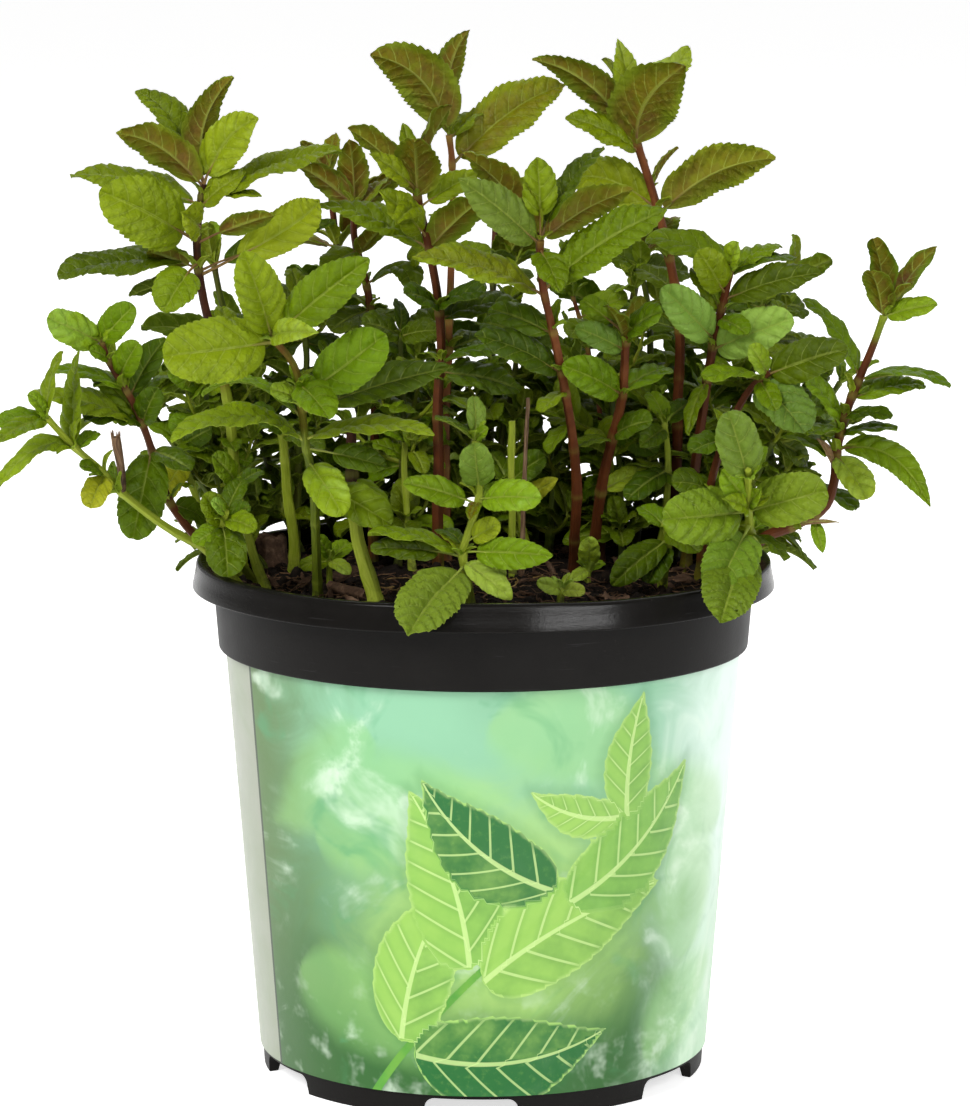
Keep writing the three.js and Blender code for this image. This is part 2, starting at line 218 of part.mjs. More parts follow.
    leaves: [[-82.94,-20,165.55,-87.24,-25.04,168.8,-93.99,-26,171.65,0.512,-0.854,0.087,8.01,0.07,0.12],
      [-82.94,-20,165.55,-80.02,-24.01,169.66,-75.34,-24.29,174.06,-0.43,-0.9,-0.07,6.8,0.06,0.12],
      [-81.51,-19.16,161.78,-82.23,-22.14,163.48,-84.98,-24.16,164.28,0.84,-0.398,0.369,3.66,0.06,0.12],
      [-79.31,-18.11,157.19,-77.82,-22.74,160.97,-74.58,-24.16,166.02,-0.449,-0.831,-0.329,6.25,0.11,0.12],
      [-82.91,-19.98,165.47,-82.61,-21.56,168.08,-81.18,-21.24,171,-0.494,-0.869,-0.044,3.54,0.06,0.12],
      [-77.98,-17.54,154.83,-85.23,-19.97,160.17,-94.39,-21.54,159.4,0.295,-0.13,0.946,7.75,0.06,0.12],
      [-75.01,-16.08,148.42,-79.68,-15.98,155.18,-86.11,-12.08,158.49,0.328,-0.697,0.638,6.44,0.07,0.12],
      [-74.5,-15.79,147.08,-79.63,-20.56,150.36,-86.53,-23.79,148.97,0.34,-0.301,0.891,8.8,0.06,0.12],
      [-74.5,-15.79,147.08,-73.55,-20.41,150.73,-70.55,-21.79,155.71,-0.5,-0.802,-0.329,6.08,0.06,0.12],
      [-76.16,-16.74,151.4,-73.69,-14.28,155.75,-69.57,-10.74,157,-0.447,-0.297,0.844,6.48,0.06,0.12],
      [-77.08,-17.16,153.24,-73.99,-17.34,160.73,-69.3,-13.16,165.88,-0.307,-0.837,0.454,6.59,0.07,0.12],
      [-72.62,-14.51,141.1,-74.38,-21.35,133.24,-76.48,-20.95,122.14,0.019,-0.948,0.318,10.61,0.06,0.12],
      [-74.2,-15.62,146.31,-84.37,-21.79,154.7,-98.41,-25.62,154.44,0.397,-0.239,0.886,10.82,0.06,0.12],
      [-72.62,-14.51,141.1,-68.04,-18.23,140.91,-63.49,-19.69,137.44,0.007,-0.569,0.822,6.9,0.06,0.12],
      [-68.3,-11.83,128.61,-63.5,-9.69,127.3,-61.42,-5.72,124.26,0.733,-0.491,0.471,6.34,0.06,0.12]] },
  { name: 'shoot_far_left', r: [0.6, 1], leafColor: 0x86ab3d, stem: [[-93.16,-38,151.26],[-87.63,-34.01,144.25],[-82.61,-30.77,139.01],[-78.18,-27.67,133.54],[-70.37,-22.96,126.24],[-64.1,-19.56,121.74],[-60.52,-17.64,119.21],[-53.95,-13.44,110.8]],
    leaves: [[-93.16,-38,151.26,-93.7,-36.88,159.2,-90.2,-33,165.3,-0.771,-0.531,0.352,5.59,0.07,0.12],
      [-87.92,-34.22,144.61,-88.76,-30.22,153.74,-87.61,-26.22,164.52,-0.81,-0.54,0.23,8.29,0.06,0.12],
      [-93.16,-38,151.26,-97.43,-42.19,152.58,-102.99,-44,150.76,0.31,-0.571,0.761,6.17,0.06,0.12],
      [-92.96,-37.86,151.01,-97.94,-46.37,152.09,-102.84,-53.83,147.7,0.188,-0.309,0.932,6.02,0.06,0.12],
      [-87.55,-33.95,144.16,-95.17,-36.95,149.65,-104.98,-39.95,135.14,-0.303,-0.411,0.86,8.03,0.06,0.12],
      [-82.02,-30.36,138.29,-83.19,-33.75,140.38,-86.4,-36.36,140.68,0.725,-0.278,0.631,4.15,0.06,0.12],
      [-81.63,-30.08,137.8,-82.92,-35.22,136.33,-84.23,-38.08,131.83,0.001,-0.598,0.801,6.31,0.06,0.12],
      [-87.32,-33.81,143.92,-85.41,-32.08,146.63,-83.06,-29.21,147.07,-0.168,-0.447,0.879,4.75,0.06,0.12],
      [-78.29,-27.75,133.68,-77.67,-30.69,139.6,-78.93,-29.75,146.06,0.432,-0.894,-0.122,1.62,0.06,0.12],
      [-93.06,-37.93,151.15,-93.76,-40.27,154.39,-96.79,-41.39,156.85,0.847,-0.45,0.281,4.68,0.06,0.12]] },
  { name: 'shoot_left_back', r: [0.7, 1.15], leafColor: 0x5f8a2c, stem: [[-28.91,24,192.81],[-29.17,23.81,184.91],[-26.71,23.55,174.73],[-25.61,23.38,167.93],[-24.54,22.88,147.45],[-25.12,22,110.8]],
    leaves: [[-28.94,23.97,191.7,-29.16,25.72,199.69,-29.91,21.97,206.92,0.1,0.986,0.136,7.4,0.06,0.12],
      [-28.95,23.97,191.66,-34,27.36,197.27,-41.89,26,200.87,0.42,0.809,0.412,8.37,0.06,0.12],
      [-29.02,23.92,189.5,-26.26,26.37,194.99,-21.58,30.44,197.29,-0.471,-0.401,0.786,7.33,0.19,0.12],
      [-28.09,23.69,180.44,-25.66,21.46,185.64,-22,16.89,187.55,-0.299,0.549,0.781,7.03,0.06,0.12],
      [-26.53,23.52,173.59,-16.17,19.53,182.48,-15.95,15.54,172.82,-0.058,-0.172,0.983,8.25,0.06,0.12],
      [-28.34,23.72,181.5,-32.07,18.59,181.24,-36.16,15.72,177.31,0.082,-0.524,0.847,7.48,0.06,0.12],
      [-25.61,23.38,167.97,-29.73,18.21,167.97,-34.42,15.38,164.26,0.129,-0.53,0.838,7.77,0.06,0.12],
      [-25.37,23.27,163.38,-21.23,18.44,163.14,-16.89,15.89,159.23,-0.047,-0.531,0.846,7.63,0.06,0.12],
      [-24.78,23,152.01,-29.71,25.49,154.3,-33.82,29.66,153.04,-0.21,-0.421,0.882,6.88,0.06,0.12]] },
  { name: 'thick_stem_front', r: [1, 1.75], leafColor: 0x5f8a2c, stem: [[-28.36,-33,148.44],[-28.13,-35.26,138.57],[-27.03,-37.92,127.03],[-25.52,-39.41,120.75],[-22.5,-42,110.8]],
    leaves: [[-28.07,-35.41,137.94,-23.76,-40.03,135.43,-20.3,-41.41,129.74,0.189,-0.699,0.69,5.47,0.06,0.12]] },
  { name: 'thick_stem_left', r: [1.1, 1.45], leafColor: 0x5f8a2c, stem: [[-44.1,-8,145.13],[-43.55,-2.6,130.52],[-42.43,0.91,120.98],[-42.45,5,110.8]],
    leaves: [[-44.06,-7.65,144.18,-46.06,-11.71,147.72,-51.04,-13.65,149.86,0.759,-0.541,0.361,6.37,0.06,0.12],
      [-44.03,-7.3,143.24,-39.52,-11.28,143.89,-35.31,-14.16,140.64,0.072,-0.272,0.96,7.09,0.06,0.12]] },
  { name: 'forked_stem_left', r: [0.9, 1.3], leafColor: 0x5f8a2c, stem: [[-54,-22,136.01],[-52.03,-19.44,126.36],[-50.05,-16.99,117.11],[-48,-15,110.8]],
    leaves: [[-53.8,-21.74,135.04,-54.7,-25.77,138.41,-58.4,-27.5,141.83,0.775,-0.632,-0.011,6.06,0.06,0.12],
      [-51.84,-19.19,125.44,-54.35,-22.24,126.59,-57.16,-23.54,125.04,0.218,-0.351,0.91,5.35,0.06,0.12],
      [-53.61,-21.5,134.12,-51.13,-19.71,136.77,-48.36,-16.77,137.02,-0.109,-0.428,0.897,4.89,0.06,0.12]] },
  { name: 'shoot_left_low', r: [0.8, 1], leafColor: 0x5f8a2c, stem: [[-55.56,-30,129.74],[-56.74,-25.21,125.05],[-54.18,-17.54,118.08],[-50.78,-8,110.8]],
    leaves: [[-56.4,-26.62,126.43,-55.46,-32.82,123.03,-54.95,-35.36,116.38,0.089,-0.745,0.661,9.03,0.06,0.12],
      [-56.53,-26.06,125.88,-58.97,-30.04,125.5,-62.42,-32.06,123.06,0.338,-0.651,0.679,5.2,0.09,0.12],
      [-56.38,-26.67,126.48,-57.21,-30.83,129.76,-60.13,-32.3,134.01,0.592,-0.759,-0.273,5.81,0.06,0.12],
      [-56.35,-26.79,126.59,-54.28,-29.95,129.23,-50.3,-31.14,131.22,-0.678,-0.698,0.23,4.52,0.2,0.12],
      [-55.78,-29.1,128.85,-54.18,-28.5,133.51,-52.09,-25.1,136.46,-0.152,-0.843,0.517,5.08,0.06,0.12],
      [-55.69,-29.49,129.24,-56.2,-31.62,131.17,-58.4,-32.71,132.76,0.838,-0.519,0.17,3.33,0.06,0.12],
      [-56.06,-27.97,127.75,-52.79,-32.62,128.8,-48.9,-36.32,126.85,-0.502,-0.506,0.701,5.23,0.06,0.12]] },
  { name: 'shoot_right_low', r: [0.7, 0.95], leafColor: 0x5f8a2c, stem: [[39.64,-18,125.26],[40.63,-15.96,120.28],[39.53,-12,110.8]],
    leaves: [[40.38,-16.46,121.51,34.42,-23.05,119.06,27.95,-24.83,112.74,0.084,-0.778,0.623,7.31,0.06,0.12],
      [40.6,-15.86,120.04,37.93,-20.63,117.96,35.93,-22.83,112.93,-0.168,-0.647,0.744,7.22,0.06,0.12],
      [39.91,-17.44,123.88,43.39,-21.65,123.33,47.3,-23.44,119.92,-0.116,-0.643,0.757,6.59,0.06,0.12],
      [39.73,-17.81,124.8,37.04,-16.15,127.76,34.55,-12.67,128.44,-0.069,-0.622,0.78,5.31,0.06,0.12],
      [39.73,-17.81,124.8,41.93,-16,128.1,44.67,-12.69,128.89,-0.182,-0.501,0.846,5.29,0.06,0.12]] },
  { name: 'shoot_thin_red', r: [0.55, 0.85], leafColor: 0x5f8a2c, stem: [[18.87,28,176.57],[22.06,26.56,164.85],[23.88,25.79,158.54],[26.63,24.11,144.55],[27.35,20,110.8]],
    leaves: [[19.18,27.86,175.41,23.41,30.41,179.78,27.68,35.39,180.44,-0.01,-0.548,0.837,7.8,0.06,0.12],
      [21.83,26.67,165.69,26.21,22.92,169.4,32.82,22.67,171.19,-0.488,-0.766,0.418,7.42,0.06,0.12],
      [20.39,27.32,170.98,16.82,29.69,174.47,13.03,33.73,174.64,0.06,-0.442,0.895,6.62,0.06,0.12],
      [23.98,25.73,158.02,19.31,28.02,156.25,17.63,31.93,152.77,-0.786,-0.427,0.447,6.41,0.06,0.12],
      [18.98,27.95,176.15,19.79,30.11,180.22,18.04,33.51,182.91,0.81,-0.393,0.436,5.74,0.06,0.12]] },
  { name: 'shoot_left_short', r: [0.7, 1], leafColor: 0x5f8a2c, stem: [[-67.93,8,140.3],[-65.78,8,131.24],[-62.28,8,122.15],[-55.08,7.61,110.8]],
    leaves: [[-66.87,8,135.82,-69.24,1.42,133.66,-71.84,-2,127.74,0.048,-0.642,0.765,6.71,0.06,0.12],
      [-65.15,8,129.59,-68.21,4.48,132.05,-72.51,1.58,131.04,0.33,-0.169,0.929,6.64,0.06,0.12],
      [-67.6,8,138.91,-61.82,4.93,138.97,-56.54,4,135.2,0.115,-0.486,0.867,6.31,0.06,0.12],
      [-67.73,8,139.44,-71.16,10.33,142.93,-75.07,14.09,143.11,0.131,-0.391,0.911,6.3,0.06,0.12],
      [-67.6,8,138.91,-65.23,3.64,141.5,-60.37,2.09,143.79,-0.662,-0.746,0.078,6.11,0.06,0.12],
      [-67.81,8,139.82,-68,9.56,143.83,-69.11,13.14,145.96,0.32,-0.692,0.647,5.31,0.06,0.12]] },
  { name: 'shoot_right_short', r: [0.7, 1], leafColor: 0x5f8a2c, stem: [[40.38,4,145.79],[41.41,5.63,136.1],[40.69,7.96,122.16],[39.05,10,110.8]],
    leaves: [[40.62,4.39,143.5,38.8,-1.67,143.61,34.72,-5.61,140.8,0.529,-0.498,0.688,5.22,0.06,0.12],
      [40.53,4.23,144.42,43.52,6.08,147.86,46.43,9.96,148.63,0.024,-0.608,0.794,5.92,0.06,0.12],
      [41.29,6.02,133.79,36.7,0.49,132.91,31.81,-1.98,128.18,0.061,-0.62,0.782,6.75,0.06,0.12],
      [41.26,6.1,133.32,45.18,1.35,132.9,49.19,-1.2,128.97,-0.021,-0.528,0.849,7.54,0.06,0.12],
      [40.43,4.08,145.33,39.47,5.86,149.24,37.43,9.35,150.97,0.359,-0.579,0.732,5.45,0.06,0.12]] },
  { name: 'shoot_centre_short', r: [0.65, 0.9], leafColor: 0x5f8a2c, stem: [[5.17,10,131.4],[8.34,10.88,121.71],[10.63,12,110.8]],
    leaves: [[5.63,10.13,130.02,8.51,6.58,134.07,13.88,6.13,136.94,-0.602,-0.746,0.286,6.78,0.06,0.12],
      [5.76,10.16,129.6,4.35,12.05,134.33,1.58,15.99,136.48,0.379,-0.579,0.721,6.49,0.06,0.12],
      [6.08,10.25,128.63,2.86,6.85,129.82,-1.12,4.74,128.09,0.231,-0.39,0.891,5.7,0.06,0.12],
      [7.44,10.63,124.48,10.81,6.21,128.61,16.8,5.63,132.03,-0.557,-0.817,0.15,4.81,0.06,0.12]] },
  { name: 'stem_centre_short', r: [0.75, 1], leafColor: 0x5f8a2c, stem: [[-17.23,6,141.47],[-17.7,6.49,133.72],[-17.07,7.21,122.05],[-16,8,110.8]],
    leaves: [[-17.28,6.06,140.56,-19.13,3.22,143.26,-22.92,1.23,143.91,0.659,-0.287,0.695,4.99,0.06,0.12],
      [-17.25,6.03,141.02,-15.25,8,143.96,-12.36,10.82,144.45,-0.327,-0.307,0.894,4.95,0.06,0.12]] },
  { name: 'cut_stem_green', r: [0.85, 0.95], leafColor: 0x5f8a2c, stem: [[6.41,-6,146.42],[6.2,-5.09,135.36],[6.45,-3.86,120.37],[6.69,-3,110.8]],
    leaves: [] },
  { name: 'dry_stub_centre', r: [0.5, 0.65], leafColor: 0x5f8a2c, stem: [[10.01,2,150.54],[9.36,2,138.86],[8.72,2,119.91],[8.51,2,110.8]],
    leaves: [] },
  { name: 'shoot_inner_1', r: [0.7, 1.1], leafColor: 0x5f8a2c, stem: [[-41.56,26,169.93],[-40.25,25.08,156.34],[-41.68,23.87,138.15],[-42.7,22,110.8]],
    leaves: [[-41.45,25.92,168.81,-46.34,28.31,171.9,-50.52,32.95,171.51,-0.17,-0.537,0.826,7.26,0.06,0.12],
      [-41.45,25.92,168.79,-36.54,28.03,171.86,-32.68,32.84,171.98,0.258,-0.654,0.711,7.42,0.06,0.12],
      [-41.52,25.97,169.49,-41.84,27.31,174.07,-43.54,30.88,176.75,0.421,-0.693,0.586,5.83,0.06,0.12],
      [-40.68,25.39,160.87,-47.64,27.97,160.47,-51.57,33.38,157.21,-0.602,-0.559,0.57,8.38,0.06,0.12],
      [-40.64,25.36,160.42,-34.23,26.69,159.28,-30.41,30.77,155.67,0.575,-0.607,0.548,7.78,0.06,0.12],
      [-40.69,24.7,150.65,-47.14,27.3,150.13,-50.68,32.26,146.73,-0.617,-0.499,0.609,7.81,0.06,0.12],
      [-40.75,24.66,149.96,-35.82,26.98,153.26,-31.36,31.5,152.82,0.105,-0.503,0.858,7.78,0.06,0.12],
      [-41.68,23.87,138.15,-47.44,26.21,137.89,-50.69,30.61,134.92,-0.594,-0.488,0.639,6.97,0.06,0.12],
      [-41.68,23.87,138.15,-35.64,26.56,136.78,-32.83,31.37,132.97,0.706,-0.465,0.534,7.77,0.06,0.12]] },
  { name: 'shoot_inner_2', r: [0.7, 1.1], leafColor: 0x5f8a2c, stem: [[35.89,34,177.82],[38.21,32.83,164.63],[37.8,31.24,146.4],[36.01,29.63,128.11],[35.14,28,110.8]],
    leaves: [[36.21,33.84,175.98,31.49,35.66,179.97,26.89,40.16,180.46,-0.032,-0.609,0.792,7.85,0.06,0.12],
      [36.21,33.84,175.98,42.89,35.43,176.91,47.62,40.09,174.94,0.419,-0.662,0.621,7.9,0.06,0.12],
      [36.04,33.92,176.94,36.36,32.73,180.89,35.7,29.41,183.27,0.35,0.754,0.556,4.66,0.06,0.12],
      [38.2,32.84,164.71,33.34,27.53,164.81,27.94,24.78,160.94,0.117,-0.539,0.834,8.33,0.06,0.12],
      [38.2,32.83,164.67,44.11,35.64,167.14,48.64,40.75,165.63,0.288,-0.48,0.828,8.18,0.06,0.12],
      [37.95,31.83,153.23,33.2,34.23,156.1,29.26,38.8,155.65,-0.202,-0.537,0.819,7.23,0.06,0.12],
      [37.94,31.79,152.78,44.64,34.53,151.24,47.81,39.84,147.17,0.7,-0.51,0.5,8.32,0.06,0.12],
      [37.13,30.64,139.56,31.72,33.1,139.24,28.85,37.43,136.32,-0.624,-0.46,0.631,7.02,0.06,0.12],
      [37.13,30.64,139.56,43.74,33.02,139.49,47.79,37.78,136.27,0.544,-0.502,0.673,7.82,0.06,0.12]] },
  { name: 'shoot_inner_3', r: [0.7, 1.1], leafColor: 0x5f8a2c, stem: [[-58.32,32,162.43],[-58.81,30.15,146.53],[-58.85,28.29,130.62],[-50.53,23.21,110.8]],
    leaves: [[-58.39,31.74,160.16,-64.52,34.05,159.87,-67.97,38.87,157.04,-0.602,-0.559,0.57,7.37,0.06,0.12],
      [-58.37,31.79,160.61,-54.47,34.13,164.16,-50.85,38.61,164.47,0.071,-0.55,0.832,7.05,0.06,0.12],
      [-58.36,31.84,161.07,-58.48,33.53,165.2,-59.94,37.13,167.4,0.441,-0.632,0.638,5.47,0.06,0.12],
      [-58.74,30.41,148.81,-63.92,33.11,151.95,-68.43,37.9,151.13,-0.149,-0.463,0.874,7.74,0.06,0.12],
      [-58.74,30.41,148.81,-52.81,33.08,147.44,-50.05,37.83,143.71,0.709,-0.468,0.528,7.67,0.06,0.12],
      [-58.84,29.09,137.44,-63.62,31.38,139.6,-67.48,35.45,138.44,-0.241,-0.462,0.854,6.58,0.06,0.12],
      [-58.84,29.09,137.44,-54.68,31.56,140.54,-50.9,35.88,140.24,0.102,-0.479,0.872,7.03,0.06,0.12],
      [-58.72,28.15,129.45,-64.18,30.38,128.03,-66.65,34.71,124.58,-0.714,-0.5,0.49,6.77,0.06,0.12]] },
  { name: 'shoot_inner_4', r: [0.65, 1], leafColor: 0x5f8a2c, stem: [[8.48,34,162.21],[6.65,32.43,148.56],[3.9,30.85,134.89],[2.53,28,110.8]],
    leaves: [[8.32,33.87,161.06,3.63,36.2,163.82,-0.23,40.67,163.32,-0.211,-0.537,0.817,7.03,0.06,0.12],
      [8.32,33.87,161.06,12.29,36.08,164.26,15.9,40.3,164.29,0.091,-0.531,0.843,6.65,0.06,0.12],
      [8.41,33.94,161.7,8.04,35.48,165.61,6.67,38.91,167.67,0.349,-0.668,0.658,5.13,0.06,0.12],
      [7.11,32.83,151.97,1.59,35.3,153.01,-2.08,39.76,150.9,-0.445,-0.473,0.76,7.16,0.06,0.12],
      [7.11,32.83,151.97,13.06,35.33,150.73,15.94,40.04,147.15,0.691,-0.491,0.531,7.45,0.06,0.12],
      [5.27,31.64,141.72,0.17,33.89,142.22,-3,37.91,139.98,-0.509,-0.471,0.721,6.47,0.06,0.12],
      [5.27,31.64,141.72,11.19,34.14,140.6,14.1,38.77,137.07,0.681,-0.487,0.547,7.37,0.06,0.12]] },
  { name: 'shoot_inner_5', r: [0.7, 1.1], leafColor: 0x5f8a2c, stem: [[63.82,26,169.93],[62.09,25.62,158.56],[59.47,25.08,142.58],[54.58,24.45,124.25],[50.23,23.85,110.8]],
    leaves: [[63.54,25.94,168.12,58.4,28.42,170.27,54.66,33.12,169.2,-0.339,-0.535,0.774,7.43,0.06,0.12],
      [63.61,25.95,168.57,69.86,28.39,169.51,73.91,33.36,167.33,0.48,-0.552,0.682,7.65,0.06,0.12],
      [63.67,25.97,169.01,64.84,27.57,172.79,66.81,30.97,174.46,-0.281,-0.621,0.732,5.17,0.06,0.12],
      [62.26,25.65,159.71,56.44,28.18,159.24,53.38,32.95,156.34,-0.642,-0.522,0.562,7.54,0.06,0.12],
      [62.26,25.65,159.71,68.46,28.39,161.78,73.08,33.44,159.97,0.328,-0.483,0.812,8.05,0.06,0.12],
      [60.6,25.31,149.46,54.58,28.12,149.59,51.17,33,146.64,-0.576,-0.458,0.677,7.95,0.06,0.12],
      [60.6,25.31,149.46,68,26.87,148.58,72.65,31.34,144.54,0.539,-0.57,0.62,8.43,0.06,0.12],
      [58.27,24.92,138.09,64.48,27.33,136.04,67.33,32.17,131.93,0.724,-0.526,0.446,7.49,0.06,0.12],
      [58.27,24.92,138.09,53.66,27.21,139.02,50.7,31.11,137.17,-0.459,-0.448,0.767,6.39,0.06,0.12]] },
  { name: 'seedling_front', r: [0.6, 0.75], leafColor: 0x86ab3d, stem: [[16.98,-38,114.43],[16.77,-38,112.68],[16.56,-38,110.8]],
    leaves: [[16.93,-38,113.97,15.06,-40.9,115.52,11.56,-42,116.4,0.651,-0.71,0.27,3.66,0.06,0.12],
      [16.93,-38,113.97,18.8,-40.67,114.85,21.84,-42,114.23,-0.5,-0.571,0.651,3.47,0.06,0.12],
      [16.88,-38,113.57,17.93,-37.02,115.44,18.97,-35,116.1,0.011,-0.649,0.761,2.77,0.06,0.12]] },
  { name: 'seedling_right', r: [0.55, 0.7], leafColor: 0x86ab3d, stem: [[23.34,-14,115.28],[22.91,-14,112.15],[23.14,-14,110.8]],
    leaves: [[23.34,-14,115.28,23.52,-17.79,118.02,23.2,-19,122.53,0.16,-0.814,-0.558,4.92,0.06,0.12],
      [23.22,-14,114.37,21.69,-17.01,114.65,19.51,-19,112.99,0.283,-0.445,0.85,3.22,0.06,0.12],
      [23.22,-14,114.37,25.05,-12.93,115.79,26.73,-11,115.68,0.092,-0.487,0.869,3.06,0.06,0.12]] },
  { name: 'seedling_left', r: [0.6, 0.75], leafColor: 0x86ab3d, stem: [[-33.61,-16,117.84],[-33.85,-16,114.27],[-33.65,-16,110.8]],
    leaves: [[-33.69,-16,116.73,-36.9,-17.43,117.02,-40.18,-17,115.77,0.024,-0.768,0.64,4.06,0.06,0.12],
      [-33.67,-16,116.95,-31.42,-14.26,119.62,-29.35,-11,120.16,0.07,-0.581,0.811,4.58,0.06,0.12],
      [-33.69,-16,116.73,-31.72,-19.65,116.97,-29.06,-22,114.82,-0.249,-0.463,0.851,3.56,0.06,0.12],
      [-33.64,-16,117.39,-34.35,-17.97,120.07,-36.58,-18.2,122.63,0.658,-0.751,0.054,3.81,0.06,0.12]] },
  { name: 'shoot_inner_6', r: [0.65, 1.05], leafColor: 0x5f8a2c, stem: [[-62.58,14,151.97],[-61.06,12.68,137.39],[-57.07,11.23,121.66],[-49.88,10,110.8]],
    leaves: [[-62.46,13.9,150.84,-65.07,9.59,153.9,-70.44,7.9,155.65,0.686,-0.648,0.33,6.8,0.06,0.12],
      [-62.46,13.9,150.84,-59.82,9.29,153.99,-54.32,7.53,156.14,-0.691,-0.682,0.241,6.8,0.06,0.12],
      [-61.76,13.29,144.14,-65.23,8.91,144.72,-70.07,6.88,142.71,0.366,-0.628,0.686,6.8,0.06,0.12],
      [-61.76,13.29,144.12,-56.35,15.9,143.09,-53.77,20.14,139.57,0.687,-0.398,0.607,7.08,0.06,0.12],
      [-60.77,12.58,136.23,-64.22,13.57,135.27,-66,16.29,133.48,-0.655,-0.679,0.33,5.33,0.06,0.12],
      [-60.77,12.58,136.23,-56.87,8.8,137.04,-51.8,7.49,135.39,-0.318,-0.671,0.67,6.27,0.06,0.12],
      [-62.5,13.94,151.28,-61.96,9.77,154.23,-63.58,7.82,158.73,0.558,-0.679,-0.477,5.63,0.06,0.12]] },
  { name: 'shoot_inner_7', r: [0.65, 1.05], leafColor: 0x5f8a2c, stem: [[26.34,16,164.19],[29.09,15.4,148.4],[30.96,14.81,132.54],[31.49,14,110.8]],
    leaves: [[26.58,15.95,162.8,23.44,11.7,165.22,18.11,9.39,164.92,0.548,-0.489,0.678,6.77,0.06,0.12],
      [26.66,15.93,162.33,32.54,17.35,161.27,36.02,21.62,158.56,0.588,-0.702,0.401,6.82,0.06,0.12],
      [28.3,15.57,152.93,24.4,11.33,154.09,19.49,8.96,151.92,0.258,-0.473,0.842,6.83,0.06,0.12],
      [28.39,15.55,152.42,34.36,16.59,151.98,38.3,20.53,149.57,0.5,-0.72,0.48,6.82,0.06,0.12],
      [29.89,15.15,141.58,24.79,17.13,139.93,22.5,21.54,137.09,-0.722,-0.623,0.302,6.61,0.06,0.12],
      [29.9,15.15,141.53,34.29,10.42,141.1,38.81,8.05,137.12,-0.033,-0.557,0.83,7.7,0.06,0.12],
      [31.01,14.72,130.26,25.46,17.17,129.67,22.54,21.5,126.53,-0.639,-0.458,0.618,7,0.06,0.12],
      [31.02,14.71,129.8,34.76,10.32,131.57,40.19,8.02,130.33,-0.423,-0.52,0.742,7.11,0.06,0.12],
      [26.42,15.98,163.72,26.84,11.73,166.85,25.26,9.98,171.6,0.558,-0.698,-0.449,5.7,0.06,0.12]] },
  { name: 'shoot_inner_8', r: [0.65, 1.05], leafColor: 0x5f8a2c, stem: [[-18.65,14,164.41],[-17.79,14,148.57],[-18.29,14,132.65],[-19.26,14,110.8]],
    leaves: [[-18.57,14,163.05,-21.36,9.46,166.22,-26.98,6.96,166.98,0.668,-0.48,0.569,7.28,0.06,0.12],
      [-18.57,14,163.05,-14.98,10.32,164.93,-9.61,9.24,164.94,-0.485,-0.71,0.511,6.28,0.06,0.12],
      [-18.13,14,154.9,-21.79,9.54,155.8,-26.6,7.16,153.49,0.289,-0.523,0.802,7.07,0.06,0.12],
      [-18.13,14,154.89,-13.94,9.83,155.29,-9.62,7.3,152.12,-0.037,-0.421,0.906,6.92,0.06,0.12],
      [-17.93,14,144.03,-23.3,16.2,144.46,-26.54,20.5,142.27,-0.534,-0.528,0.66,6.71,0.06,0.12],
      [-17.93,14,144.03,-13.61,9.56,143.76,-9.15,7.15,139.63,-0.109,-0.633,0.767,7.54,0.06,0.12],
      [-18.25,14,133.79,-23.43,16.28,133.09,-26.13,20.19,129.94,-0.643,-0.42,0.641,6.39,0.06,0.12],
      [-18.25,14,133.79,-14.78,10.05,133.81,-10.56,8.37,131.18,-0.211,-0.634,0.744,6.28,0.06,0.12],
      [-18.62,14,163.96,-17.73,15.98,167.99,-19.18,19.45,170.61,0.751,-0.478,0.455,5.63,0.06,0.12]] },
  { name: 'shoot_inner_9', r: [0.65, 1.05], leafColor: 0x5f8a2c, stem: [[71.15,12,157.87],[68.19,12.93,146.44],[62.55,14.11,132.64],[53.33,15.73,110.8]],
    leaves: [[70.8,12.11,156.54,68.52,8.07,159.42,63.57,6.19,160.79,0.71,-0.58,0.4,6.12,0.06,0.12],
      [70.8,12.11,156.54,73.87,8.36,157.26,77.93,6.35,155.39,-0.301,-0.531,0.792,5.95,0.06,0.12],
      [69.05,12.66,149.76,66.01,8.58,150.64,61.48,6.66,149.05,0.413,-0.602,0.683,6.06,0.06,0.12],
      [68.98,12.68,149.49,74.98,14.83,148.37,78.16,19.46,145.14,0.656,-0.576,0.487,7,0.06,0.12],
      [65.47,13.5,139.79,61.22,15.57,140.46,58.72,19.28,138.77,-0.523,-0.487,0.699,5.97,0.06,0.12],
      [65.47,13.5,139.79,71.18,15.54,137.44,73.8,20.1,133.62,0.726,-0.595,0.344,6.82,0.06,0.12],
      [61.76,14.29,130.46,57.28,16.57,130.56,54.78,20.16,128.1,-0.567,-0.381,0.73,6.07,0.06,0.12],
      [61.76,14.29,130.46,67.01,16.2,128.35,69.38,20.42,124.85,0.73,-0.585,0.353,6.34,0.06,0.12]] },
  { name: 'shoot_inner_10', r: [0.65, 1.05], leafColor: 0x5f8a2c, stem: [[49.61,28,139.9],[47.34,25.95,124.02],[44.62,24,110.8]],
